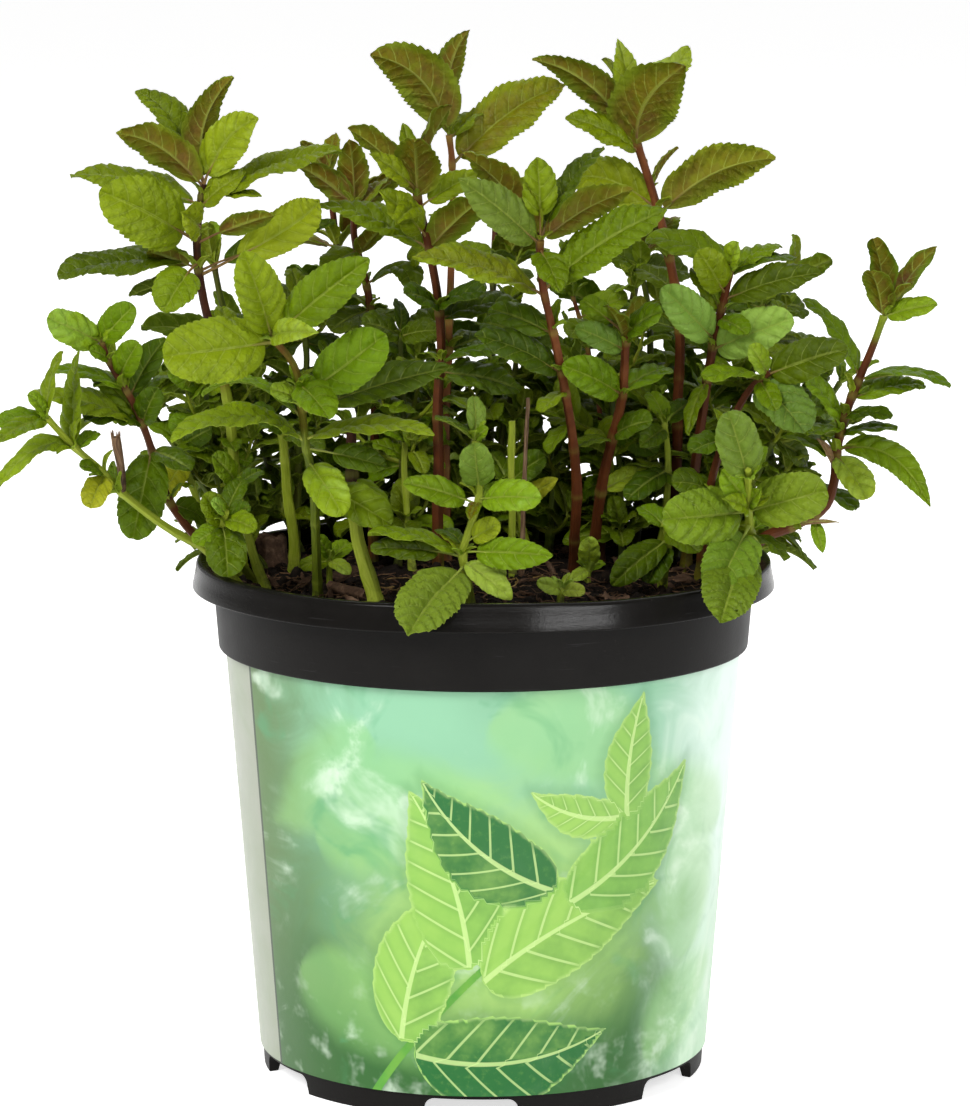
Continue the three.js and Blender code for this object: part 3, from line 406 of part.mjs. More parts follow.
    leaves: [[49.41,27.82,138.53,44.91,29.45,140.76,41.5,32.72,140.48,-0.195,-0.618,0.762,5.97,0.06,0.12],
      [48.31,26.83,130.82,43.08,28.85,130.33,40.28,33.18,128.07,-0.641,-0.608,0.469,6.56,0.06,0.12],
      [48.32,26.83,130.85,53.75,28.97,129.57,56.41,33.14,126.21,0.691,-0.506,0.517,6.53,0.06,0.12],
      [47.02,25.71,122.23,42.12,28.09,122.16,39.36,31.89,119.42,-0.574,-0.382,0.724,6.38,0.06,0.12],
      [47.02,25.71,122.23,50.04,21.77,122.3,53.92,19.86,119.87,-0.26,-0.609,0.749,6.04,0.06,0.12]] },
  { name: 'shoot_back_1', r: [0.7, 1.1], leafColor: 0x5f8a2c, stem: [[-62,44,176],[-60.12,42.49,168.04],[-57.92,40.82,159.59],[-55.39,38.98,150.65],[-52.53,36.98,141.22],[-49.35,34.82,131.3],[-45.84,32.49,120.89],[-42,30,110.8]],
    leaves: [[-45.2,32.08,119.08,-37.92,39.51,125.58,-27.59,45.01,126.04,-0.498,0.227,0.837,11.18,0.11,0.14],
      [-45.2,32.08,119.08,-57.04,31.29,117.58,-65.09,31.05,111.69,-0.351,0.081,0.933,10.6,0.13,0.14],
      [-52,36.62,139.55,-57.85,50,140.68,-64.09,61.29,133.71,0.048,0.252,0.966,12.76,0.13,0.14],
      [-57.48,40.5,158.03,-51.59,46.59,166.19,-41.44,51.89,168.89,-0.61,0.112,0.784,10.9,0.12,0.14],
      [-57.48,40.5,158.03,-68.02,38.97,163.58,-78.19,33.6,163.59,0.016,0.597,0.802,11.57,0.11,0.14],
      [-61.92,43.94,175.66,-63.62,46.92,181.77,-63.85,52.8,185.58,-0.369,-0.728,0.578,6.72,0.15,0.14],
      [-61.92,43.94,175.66,-63.69,44.11,181.11,-63.54,41.57,186.24,-0.58,0.809,0.092,5.45,0.12,0.14],
      [-61.92,43.94,175.66,-64.37,44.13,178.16,-65.94,44.59,181.26,0.802,0.24,0.548,2.91,0.05,0.25],
      [-61.92,43.94,175.66,-60.81,44.82,178.87,-60.78,45.6,182.28,-0.976,-0.099,0.193,2.91,0.05,0.25]] },
  { name: 'shoot_back_2', r: [0.75, 1.2], leafColor: 0x5f8a2c, stem: [[-36,62,196],[-34.78,60.12,185.33],[-33.39,57.92,174.17],[-31.84,55.39,162.52],[-30.12,52.53,150.38],[-28.24,49.35,137.75],[-26.2,45.84,124.63],[-24,42,110.8]],
    leaves: [[-25.9,45.31,122.76,-22.68,59.03,123.73,-20.02,71.17,116.77,-0.02,0.23,0.973,12.08,0.12,0.14],
      [-25.9,45.31,122.76,-31.5,35.48,128.96,-35.65,23.2,128.14,-0.375,0.372,0.849,10.93,0.13,0.14],
      [-29.03,50.67,143.01,-43.18,50.99,145.45,-56.52,48.33,139.91,-0.133,0.309,0.942,13.81,0.11,0.14],
      [-29.03,50.67,143.01,-15.51,50.13,146.42,-2.63,46.58,142.42,0.078,0.372,0.925,12.32,0.13,0.14],
      [-31.65,55.08,161.2,-27.76,66.5,163.64,-22.41,76.63,159.15,-0.202,0.178,0.963,11.32,0.11,0.14],
      [-31.65,55.08,161.2,-36.66,47.82,172.29,-41.7,35.32,176.68,0,0.617,0.787,14.11,0.12,0.14],
      [-33.96,58.83,178.77,-43.37,63.05,181.84,-52.84,67.07,178.7,0.009,0.03,0.999,9.7,0.13,0.14],
      [-33.96,58.83,178.77,-28.59,59.01,190.1,-19.12,54.82,197.18,-0.561,0.591,0.581,12.3,0.14,0.14],
      [-35.95,61.92,195.57,-36.29,63.94,201.26,-34.84,68.34,205.16,-0.512,-0.685,0.518,5.31,0.13,0.14],
      [-35.95,61.92,195.57,-38.39,59.93,201.18,-42.37,55.85,204.18,0.417,0.567,0.711,5.84,0.14,0.14],
      [-35.95,61.92,195.57,-37.95,63.18,198.16,-39.08,64.09,201.35,0.788,-0.299,0.539,2.91,0.05,0.25],
      [-35.95,61.92,195.57,-34.62,61.7,198.8,-34.26,61.95,202.28,-0.871,0.44,0.217,2.91,0.05,0.25]] },
  { name: 'shoot_back_3', r: [0.75, 1.2], leafColor: 0x5f8a2c, stem: [[3,68,186],[2.71,65.2,176.74],[2.43,62.24,166.98],[2.14,59.12,156.74],[1.86,55.84,146.01],[1.57,52.39,134.78],[1.29,48.78,123.07],[1,45,110.8]],
    leaves: [[1.25,48.25,121.38,9.18,59.72,122.01,17.87,67.95,116.03,-0.301,0.478,0.825,12.3,0.1,0.14],
      [1.25,48.25,121.38,-6.98,42.65,127.81,-16.12,36.38,126.55,0.156,0.194,0.969,12.34,0.14,0.14],
      [1.69,53.81,139.42,-6.87,68.1,133.43,-13.2,77.09,119.56,-0.231,0.542,0.808,16.47,0.14,0.14],
      [1.69,53.81,139.42,11.56,48.11,146.55,23.15,43.33,144.23,-0.196,0.048,0.979,16.16,0.15,0.14],
      [2.11,58.75,155.52,10.13,69.28,157.27,19.73,77.01,152.13,-0.208,0.369,0.906,12.45,0.14,0.14],
      [2.11,58.75,155.52,-8.97,51.25,162.03,-19.09,40.44,160.55,-0.11,0.379,0.919,13.48,0.12,0.14],
      [2.55,63.45,170.96,-1.79,70.75,176.84,-8.32,78.74,177.14,0.36,-0.118,0.925,10.19,0.13,0.14],
      [2.55,63.45,170.96,7.95,61.68,181.14,13.74,54.09,187.84,-0.057,0.856,0.513,10.97,0.15,0.14],
      [2.99,67.89,185.62,3.94,70.47,191.14,8.04,73.11,194.94,-0.877,-0.009,0.48,5.88,0.12,0.14],
      [2.99,67.89,185.62,0.91,68.32,191.05,-3.84,68.95,194.35,0.783,-0.06,0.62,5.34,0.1,0.14],
      [2.99,67.89,185.62,2.09,70.25,188.05,1.74,71.91,191.12,0.508,-0.636,0.581,2.91,0.05,0.25],
      [2.99,67.89,185.62,4.07,67.24,188.89,4.61,67.55,192.34,-0.481,0.862,0.16,2.91,0.05,0.25]] },
  { name: 'shoot_back_4', r: [0.75, 1.2], leafColor: 0x5f8a2c, stem: [[39,62,192],[37.49,59.98,181.85],[35.82,57.63,171.21],[33.98,54.96,160.08],[31.98,51.96,148.46],[29.82,48.63,136.36],[27.49,44.98,123.76],[25,41,110.8]],
    leaves: [[27.14,44.41,121.9,33.32,43.09,119.89,37.7,40.06,114.98,0.605,0.291,0.741,6.09,0.13,0.14],
      [27.14,44.41,121.9,14.22,38.14,126.46,-0.37,35.56,122.43,0.232,-0.678,0.697,15.14,0.1,0.14],
      [30.69,49.98,141.27,28.84,61.79,141.34,26.19,71.51,134.92,0.109,0.302,0.947,11.75,0.12,0.14],
      [30.69,49.98,141.27,36.62,41.52,148.31,40.01,31.61,147.67,0.225,0.42,0.879,12.61,0.11,0.14],
      [33.74,54.59,158.67,47.3,59.62,159.34,59.52,62.69,152.21,0.164,0.241,0.957,13.56,0.15,0.14],
      [33.74,54.59,158.67,25.38,56.22,168.79,13.16,53.8,173.2,0.482,0.511,0.711,13.18,0.11,0.14],
      [36.49,58.58,175.5,36.77,66.75,184.02,35.79,78.22,186.72,0.19,-0.482,0.855,10.23,0.15,0.14],
      [36.49,58.58,175.5,39.28,51.46,184.21,43.28,41.01,187.2,-0.179,0.497,0.849,9.95,0.14,0.14],
      [38.94,61.92,191.59,40.64,62.88,197.92,45.64,63.22,202.27,-0.845,0.16,0.511,6.21,0.11,0.14],
      [38.94,61.92,191.59,38.46,63.57,198.85,34,64.98,204.67,0.938,0.06,0.34,6.72,0.15,0.14]] },
  { name: 'shoot_back_5', r: [0.7, 1.1], leafColor: 0x5f8a2c, stem: [[70,42,172],[66.98,40.49,164.63],[63.63,38.82,156.77],[59.96,36.98,148.42],[55.96,34.98,139.59],[51.63,32.82,130.26],[46.98,30.49,120.44],[42,28,110.8]],
    leaves: [[46.13,30.06,118.67,58.17,35.19,116.73,66.36,40.6,109.6,0.386,0.052,0.921,11.4,0.14,0.14],
      [55.17,34.58,137.88,50.3,42.82,148.85,38.57,48.55,155.27,0.798,0.289,0.529,12.72,0.14,0.14],
      [55.17,34.58,137.88,63.61,30.87,141.67,71.29,24.18,140.53,0.072,0.35,0.934,10,0.11,0.14],
      [62.94,38.47,155.19,70.84,43.35,159.57,79.57,48.5,157.98,-0.137,-0.048,0.989,9.78,0.11,0.14],
      [62.94,38.47,155.19,63.05,36.47,166.75,61.69,29.48,174.64,0.243,0.874,0.42,9.92,0.1,0.14],
      [69.87,41.94,171.68,72.62,43.41,177.46,72.03,46.56,183.19,0.893,-0.45,0.013,6.19,0.14,0.14],
      [69.87,41.94,171.68,74.63,41.56,176.33,80.09,38.35,178.42,-0.179,0.729,0.66,6.44,0.12,0.14],
      [69.87,41.94,171.68,70.05,41.07,174.93,70.88,41.05,178.19,0.599,0.8,0.016,2.79,0.05,0.25],
      [69.87,41.94,171.68,71.89,44.03,173.47,73.59,45.45,175.94,-0.27,-0.614,0.741,2.79,0.05,0.25]] },
  { name: 'shoot_back_6', r: [0.65, 1.05], leafColor: 0x5f8a2c, stem: [[-84,26.13,156],[-80.12,24.45,150.91],[-75.92,22.75,145.34],[-71.39,21.03,139.27],[-66.53,19.29,132.72],[-61.35,17.5,125.67],[-55.84,15.6,118.14],[-50,13.19,110.8]],
    leaves: [[-54.72,15.22,116.61,-50.15,22.33,123.77,-41.1,27.33,126.19,-0.693,0.242,0.679,10.83,0.13,0.14],
      [-65.32,18.87,131.07,-71.32,27.23,129.53,-73.99,34.96,123.12,-0.562,0.102,0.821,8.76,0.12,0.14],
      [-65.32,18.87,131.07,-65.82,17.06,141,-63.37,13.18,146.5,-0.443,0.822,0.359,9.61,0.13,0.14],
      [-74.82,22.32,143.87,-75.28,29.93,151.78,-70.06,38.2,156.79,-0.888,-0.099,0.449,10.04,0.14,0.14],
      [-74.82,22.32,143.87,-82.96,19.01,148.94,-90.14,11.87,149.61,-0.161,0.646,0.747,9.5,0.13,0.14],
      [-83.83,26.05,155.77,-87.63,27.59,160.28,-91.38,31.83,162.54,-0.012,-0.767,0.641,5.57,0.13,0.14],
      [-83.83,26.05,155.77,-86.5,25.33,160.75,-88.2,21.58,164.68,-0.291,0.905,0.311,5.22,0.11,0.14],
      [-83.83,26.05,155.77,-86.37,25.7,157.21,-88.53,26.01,159.19,0.417,0.699,0.581,2.44,0.05,0.25],
      [-83.83,26.05,155.77,-84.21,27.72,158.17,-85.39,28.93,160.57,-0.869,-0.495,0.015,2.44,0.05,0.25]] },
  { name: 'shoot_back_7', r: [0.65, 1.05], leafColor: 0x5f8a2c, stem: [[82,34.7,150],[78.41,32.4,145.19],[74.49,30.09,140.06],[70.24,27.78,134.6],[65.67,25.4,128.82],[60.78,22.87,122.7],[55.55,20.08,116.27],[50,16.37,110.8]],
    leaves: [[54.63,19.58,115.15,57.94,16.98,117.47,58.64,14.22,118.47,0.806,0.592,-0.019,4.73,0.1,0.14],
      [64.86,24.99,127.8,61.89,29.21,134.53,55.9,33.09,137.69,0.739,-0.005,0.674,8.22,0.11,0.14],
      [64.86,24.99,127.8,75.58,19.68,129.23,84.68,13.89,123.86,0.232,0.069,0.97,12.15,0.11,0.14],
      [73.76,29.69,139.12,79.31,36.62,142.67,82.74,45.47,141.49,0.381,-0.345,0.858,8.85,0.13,0.14],
      [73.76,29.69,139.12,76.77,28.38,148.37,76.03,23.07,156.07,0.653,0.731,0.198,9.24,0.11,0.14],
      [81.85,34.6,149.8,82.84,38.04,154.4,81.23,42.8,157.36,0.78,-0.391,0.488,5.12,0.14,0.14],
      [81.85,34.6,149.8,85.72,35.33,153.7,91.01,34.5,155.14,-0.438,0.48,0.76,4.94,0.11,0.14]] },
  { name: 'shoot_back_8', r: [0.7, 1.1], leafColor: 0x5f8a2c, stem: [[-12,42,158],[-12,40.63,152.11],[-12,39.1,145.89],[-12,37.41,139.35],[-12,35.55,132.48],[-12,33.53,125.28],[-12,31.35,117.76],[-12,29,110.8]],
    leaves: [[-12,31,116.59,-2.11,33.48,119.86,7.77,35.52,117.27,-0.078,0.192,0.978,9.92,0.15,0.14],
      [-12,31,116.59,-20.34,32.25,122.52,-30.6,31.35,123.08,0.314,0.351,0.882,9.93,0.14,0.14],
      [-12,35.3,131.58,-14.76,46.71,132.68,-17.59,56.26,126.48,0.003,0.237,0.971,11.87,0.13,0.14],
      [-12,35.3,131.58,-12.69,26.02,139.93,-12.87,13.54,141.56,-0.161,0.417,0.895,12.18,0.12,0.14],
      [-12,38.88,145.03,-4.49,40.47,152.95,5.76,41.22,155.35,-0.51,0.121,0.851,10.16,0.12,0.14],
      [-12,38.88,145.03,-20.13,40.24,150.51,-30.02,39.87,150.62,0.298,0.29,0.91,9.71,0.1,0.14],
      [-12,41.94,157.76,-12,43.74,159.94,-12.01,46.62,159.91,0,-0.417,0.909,3.77,0.1,0.14],
      [-12,41.94,157.76,-12.26,42.34,163.4,-11.94,38.83,169.53,-0.181,0.95,0.252,5.45,0.15,0.14],
      [-12,41.94,157.76,-13.58,41.07,160.39,-14.29,40.25,163.35,0.86,0.269,0.434,2.56,0.05,0.25],
      [-12,41.94,157.76,-10.34,42.55,160.3,-9.5,42.89,163.3,-0.897,-0.12,0.425,2.56,0.05,0.25]] },
  { name: 'shoot_back_9', r: [0.7, 1.1], leafColor: 0x5f8a2c, stem: [[20,42,154],[19.29,40.78,148.7],[18.57,39.39,143.08],[17.86,37.84,137.13],[17.14,36.12,130.85],[16.43,34.24,124.25],[15.71,32.2,117.32],[15,30,110.8]],
    leaves: [[15.6,31.86,116.18,20.65,43.15,117.48,24.54,52.86,113.34,-0.347,0.269,0.898,9.31,0.12,0.14],
      [15.6,31.86,116.18,8.43,26.19,121.22,1.55,18.37,120.46,-0.05,0.349,0.936,10,0.12,0.14],
      [17.04,35.85,129.88,5.13,42.73,132.11,-7.18,47.8,126.71,-0.086,0.088,0.992,11.79,0.15,0.14],
      [17.04,35.85,129.88,26.43,29.85,135.77,37.79,24.29,134.56,-0.209,0.02,0.978,11.22,0.12,0.14],
      [18.46,39.15,142.16,24.12,43.35,147.02,30.18,48.91,146.84,0.163,-0.578,0.799,8.2,0.13,0.14],
      [18.46,39.15,142.16,15.54,35.15,151.07,9.26,28.54,155.8,0.778,0.12,0.617,8.8,0.14,0.14],
      [19.97,41.95,153.78,21.1,44.33,159.8,18.56,47.17,165.17,0.977,-0.121,0.176,6.04,0.14,0.14],
      [19.97,41.95,153.78,21.86,42.04,159.36,25.95,40.13,163.14,-0.631,0.58,0.516,5.58,0.1,0.14],
      [19.97,41.95,153.78,19.29,41.34,156.72,19.22,41.47,159.8,0.632,0.762,0.14,2.56,0.05,0.25],
      [19.97,41.95,153.78,21.34,43.73,155.89,22.19,44.93,158.6,-0.53,-0.59,0.609,2.56,0.05,0.25]] },
  { name: 'shoot_back_10', r: [0.65, 1.05], leafColor: 0x5f8a2c, stem: [[-62,64,150],[-57.12,59.88,146.36],[-52.49,56.08,142.07],[-48.1,52.61,137.12],[-43.96,49.47,131.52],[-40.06,46.65,125.27],[-36.41,44.16,118.36],[-33,42,110.8]],
    leaves: [[-36.03,43.93,117.53,-32.24,54.89,121.39,-26.49,65.27,118.4,-0.269,0.081,0.96,11.11,0.12,0.14],
      [-36.03,43.93,117.53,-45.67,41.28,119.27,-51.74,36.68,115.81,-0.193,0.189,0.963,10.67,0.11,0.14],
      [-43.97,49.48,131.54,-54.5,56.24,127.49,-60.61,62.16,117.47,-0.591,0.111,0.799,11.11,0.1,0.14],
      [-43.97,49.48,131.54,-43.38,47.16,140.85,-38.25,40.59,148.28,-0.659,0.548,0.516,9.24,0.12,0.14],
      [-52.57,56.15,142.14,-53.14,63.94,145.15,-49.41,71.4,145.96,-0.886,0.069,0.458,8.28,0.14,0.14],
      [-52.57,56.15,142.14,-62.25,50.97,144.77,-67.33,41.33,148.88,-0.715,0.699,-0.029,10.55,0.11,0.14],
      [-61.82,63.85,149.87,-65.57,66.53,151.91,-69.39,69.71,151.06,0.022,-0.172,0.985,4.8,0.11,0.14],
      [-61.82,63.85,149.87,-64.87,66.38,153.48,-64.92,69.19,158.04,-0.949,-0.091,-0.301,4.9,0.1,0.14],
      [-61.82,63.85,149.87,-64.77,63.83,151.27,-67.41,64.73,152.81,0.248,0.95,0.187,2.67,0.05,0.25],
      [-61.82,63.85,149.87,-62.57,66.71,151.14,-64.18,69.06,152.65,-0.83,-0.504,0.239,2.67,0.05,0.25]] },
  { name: 'shoot_back_11', r: [0.65, 1.05], leafColor: 0x5f8a2c, stem: [[60,66,148],[55.41,61.73,144.68],[51.06,57.8,140.71],[46.96,54.18,136.09],[43.1,50.9,130.81],[39.49,47.94,124.88],[36.12,45.31,118.29],[33,43,110.8]],
    leaves: [[43.14,50.93,130.85,40.53,61.11,136.52,32.95,70.31,137.24,0.701,0.138,0.699,11.59,0.12,0.14],
      [43.14,50.93,130.85,55.23,43.84,135.23,65.08,33.2,132.25,0.328,0.471,0.819,14.38,0.14,0.14],
      [51.17,57.9,140.81,62.14,61.12,137.48,70.82,60.15,129.39,0.341,0.619,0.708,10.64,0.13,0.14],
      [51.17,57.9,140.81,49.97,62.87,150.11,42.8,66.58,157.5,0.892,0.373,0.254,9.84,0.11,0.14],
      [59.83,65.84,147.88,62.32,70.55,150.55,62.58,76.49,150.8,0.631,-0.352,0.691,5.51,0.1,0.14],
      [59.83,65.84,147.88,63.44,68.6,150.37,67.86,68.53,153.09,-0.274,0.959,-0.073,4.65,0.15,0.14]] },
  { name: 'shoot_back_12', r: [0.65, 1], leafColor: 0x86ab3d, stem: [[22,74,142],[20.33,69.49,139.6],[18.73,65.39,136.46],[17.22,61.69,132.59],[15.8,58.41,127.98],[14.45,55.53,122.64],[13.18,53.06,116.56],[12,51,110.8]],
    leaves: [[12.97,52.69,115.34,1.45,54.16,117.6,-9.43,54.75,113,-0.091,0.13,0.987,12.12,0.1,0.14],
      [17.03,61.24,131.95,17.45,71.31,130.56,14.82,79.3,124.84,0.532,0.366,0.764,9.13,0.15,0.14],
      [17.03,61.24,131.95,20.4,57.91,140.53,24.22,49.75,145.45,0.143,0.79,0.596,9.47,0.14,0.14],
      [21.93,73.82,141.91,24.5,79.22,144.71,29.81,83.1,145.41,-0.725,0.406,0.556,6.36,0.14,0.14],
      [21.93,73.82,141.91,22.88,78.52,145.26,20.41,82.85,148.32,0.991,0.105,0.087,5.3,0.1,0.14],
      [21.93,73.82,141.91,21.4,76.78,142.58,21.73,79.64,143.69,0.881,-0.111,0.46,2.56,0.05,0.25],
      [21.93,73.82,141.91,24.1,75.25,143.57,25.63,77.42,145.14,-0.641,0.759,-0.111,2.56,0.05,0.25]] },
  { name: 'shoot_back_13', r: [0.65, 1], leafColor: 0x5f8a2c, stem: [[-22,74,142],[-20.47,69.49,139.55],[-19.02,65.39,136.37],[-17.65,61.69,132.45],[-16.37,58.41,127.8],[-15.16,55.53,122.42],[-14.04,53.06,116.3],[-13,51,110.8]],
    leaves: [[-13.85,52.69,115.05,-6.94,59.51,117.2,1.69,63.29,115.63,-0.163,0.187,0.969,7.54,0.13,0.14],
      [-13.85,52.69,115.05,-18.93,43.05,119.73,-23.75,32,117.58,0.109,0.069,0.992,10.7,0.12,0.14],
      [-17.47,61.22,131.78,-23.02,70.54,132.21,-28.9,77.9,126.8,0.051,0.317,0.947,9.68,0.13,0.14],
      [-17.47,61.22,131.78,-12.55,60.05,141.18,-6.68,53.53,147.25,-0.149,0.84,0.522,10.09,0.13,0.14],
      [-21.94,73.82,141.9,-21.76,78.61,142.71,-18.89,82.51,143.16,-0.941,0.311,0.13,4.91,0.11,0.14],
      [-21.94,73.82,141.9,-24.84,77.77,144.31,-29.43,79.06,146.97,0.534,0.842,-0.082,5.26,0.12,0.14],
      [-21.94,73.82,141.9,-23.63,76.42,141.78,-24.66,79.33,142.34,0.551,0.207,0.809,2.56,0.05,0.25],
      [-21.94,73.82,141.9,-21.52,75.82,144.21,-21.85,78.25,146.08,-0.774,0.443,-0.452,2.56,0.05,0.25]] },];

// ---- small things on the soil
const OLD_CROWN = { at: [-48.6, 18.5], radius: 3.9, top: 117.5, hollowRadius: 1.7, hollowDepth: 3.2 };
const FALLEN_TWIG = { from: [-33.5, -22, 112.1], to: [-24.5, -34, 112.0], radius: 1.25 };
const BARK_CHIP = { centre: [-30.8, -9.5, 112.9], size: [7.4, 5.2, 0.9], turn: [0.28, -0.16, 0.7] };

const wasm = await Module();
wasm.setup();

const V = (a) => new THREE.Vector3(a[0], a[1], a[2]);

// a closed mesh as a solid that can be joined and cut
function solid(geometry) {
  let g = geometry.clone();
  g.deleteAttribute('normal');
  g.deleteAttribute('uv');
  g = mergeVertices(g, 1e-4);
  const idx = g.index.array;
  const tri = [];
  for (let i = 0; i < idx.length; i += 3) {
    const [a, b, c] = [idx[i], idx[i + 1], idx[i + 2]];
    if (a !== b && b !== c && a !== c) tri.push(a, b, c);
  }
  return new wasm.Manifold(new wasm.Mesh({
    numProp: 3,
    vertProperties: new Float32Array(g.attributes.position.array),
    triVerts: new Uint32Array(tri),
  }));
}

function geometryOf(manifold) {
  const m = manifold.getMesh();
  const pos = new Float32Array(m.numVert * 3);
  for (let i = 0; i < m.numVert; i++) {
    for (let k = 0; k < 3; k++) pos[3 * i + k] = m.vertProperties[m.numProp * i + k];
  }
  const g = new THREE.BufferGeometry();
  g.setAttribute('position', new THREE.BufferAttribute(pos, 3));
  g.setIndex(new THREE.BufferAttribute(new Uint32Array(m.triVerts), 1));
  g.computeVertexNormals();
  return g;
}

// a skin over rings of points, each ring anticlockwise seen from the far end
function fromRings(rings, tip, tail) {
  const n = rings[0].length;
  const pos = [];
  const idx = [];
  for (const r of rings) for (const p of r) pos.push(p.x, p.y, p.z);
  for (let k = 0; k + 1 < rings.length; k++) {
    for (let i = 0; i < n; i++) {
      const j = (i + 1) % n;
      const [a, b, c, d] = [k * n + i, k * n + j, (k + 1) * n + j, (k + 1) * n + i];
      idx.push(a, b, c, a, c, d);
    }
  }
  const last = (rings.length - 1) * n;
  if (tip) {
    const t = pos.length / 3;
    pos.push(tip.x, tip.y, tip.z);
    for (let i = 0; i < n; i++) idx.push(last + i, last + (i + 1) % n, t);
  } else for (let i = 1; i + 1 < n; i++) idx.push(last, last + i, last + i + 1);
  if (tail) {
    const t = pos.length / 3;
    pos.push(tail.x, tail.y, tail.z);
    for (let i = 0; i < n; i++) idx.push((i + 1) % n, i, t);
  } else for (let i = 1; i + 1 < n; i++) idx.push(0, i + 1, i);
  const g = new THREE.BufferGeometry();
  g.setAttribute('position', new THREE.Float32BufferAttribute(pos, 3));
  g.setIndex(idx);
  return g;
}

// a tapering tube along a line of points
function tube(points, radii, sides) {
  const rings = [];
  let u = null;
  for (let i = 0; i < points.length; i++) {
    const a = points[Math.max(0, i - 1)];
    const b = points[Math.min(points.length - 1, i + 1)];
    const t = b.clone().sub(a).normalize();
    if (!u) u = new THREE.Vector3(1, 0, 0).addScaledVector(t, -t.x).normalize();
    else u = u.clone().addScaledVector(t, -t.dot(u)).normalize();
    const v = t.clone().cross(u);
    const ring = [];
    for (let k = 0; k < sides; k++) {
      const w = 2 * Math.PI * k / sides;
      ring.push(points[i].clone()
        .addScaledVector(u, radii[i] * Math.cos(w))
        .addScaledVector(v, radii[i] * Math.sin(w)));
    }
    rings.push(ring);
  }
  return fromRings(rings);
}

// a leaf: flat above, with a shallow keel under the midrib. Sections of three points and a tip
function leafRings(row) {
  const A = V(row.slice(0, 3));
  const C = V(row.slice(3, 6));
  const T = V(row.slice(6, 9));
  const up = V(row.slice(9, 12));
  const [width, stalk, fold] = row.slice(12);
  const at = (t) => A.clone().multiplyScalar((1 - t) ** 2)
    .addScaledVector(C, 2 * t * (1 - t)).addScaledVector(T, t * t);
  const along = (t) => C.clone().sub(A).multiplyScalar(2 * (1 - t))
    .addScaledVector(T.clone().sub(C), 2 * t).normalize();
  const ring = (t, half, above, below, lift) => {
    const P = at(t);
    const d = along(t);
    const s = up.clone().cross(d).normalize();
    const n = d.clone().cross(s).normalize();
    return [
      P.clone().addScaledVector(s, half).addScaledVector(n, above + lift * half),
      P.clone().addScaledVector(s, -half).addScaledVector(n, above + lift * half),
      P.clone().addScaledVector(n, -below),
    ];
  };
  const lift = fold * 0.5;
  const rings = [];
  if (stalk > 0.2) rings.push(ring(stalk, 0.6, 0.2, 0.45, 0));
  if (T.distanceTo(A) < SMALL_LEAF) rings.push(ring(stalk + (1 - stalk) * 0.4, width / 2, 0.15, 0.5, lift));
  else {
    rings.push(ring(stalk + (1 - stalk) * 0.26, width / 2 * 0.93, 0.15, 0.55, lift));
    rings.push(ring(stalk + (1 - stalk) * 0.64, width / 2 * 0.84, 0.15, 0.45, lift));
  }
  return { rings, tip: T, aim: at(Math.max(0.12, stalk)) };
}

// fewer points along a line that is nearly straight
function simplifyLine(pts, tolerance) {
  if (pts.length < 3) return pts;
  const a = pts[0];
  const b = pts[pts.length - 1];
  const ab = b.clone().sub(a);
  let worst = -1;
  let at = 0;
  for (let i = 1; i + 1 < pts.length; i++) {
    const t = Math.max(0, Math.min(1, pts[i].clone().sub(a).dot(ab) / ab.lengthSq()));
    const d = pts[i].distanceTo(a.clone().addScaledVector(ab, t));
    if (d > worst) { worst = d; at = i; }
  }
  if (worst < tolerance) return [a, b];
  return simplifyLine(pts.slice(0, at + 1), tolerance).slice(0, -1)
    .concat(simplifyLine(pts.slice(at), tolerance));
}

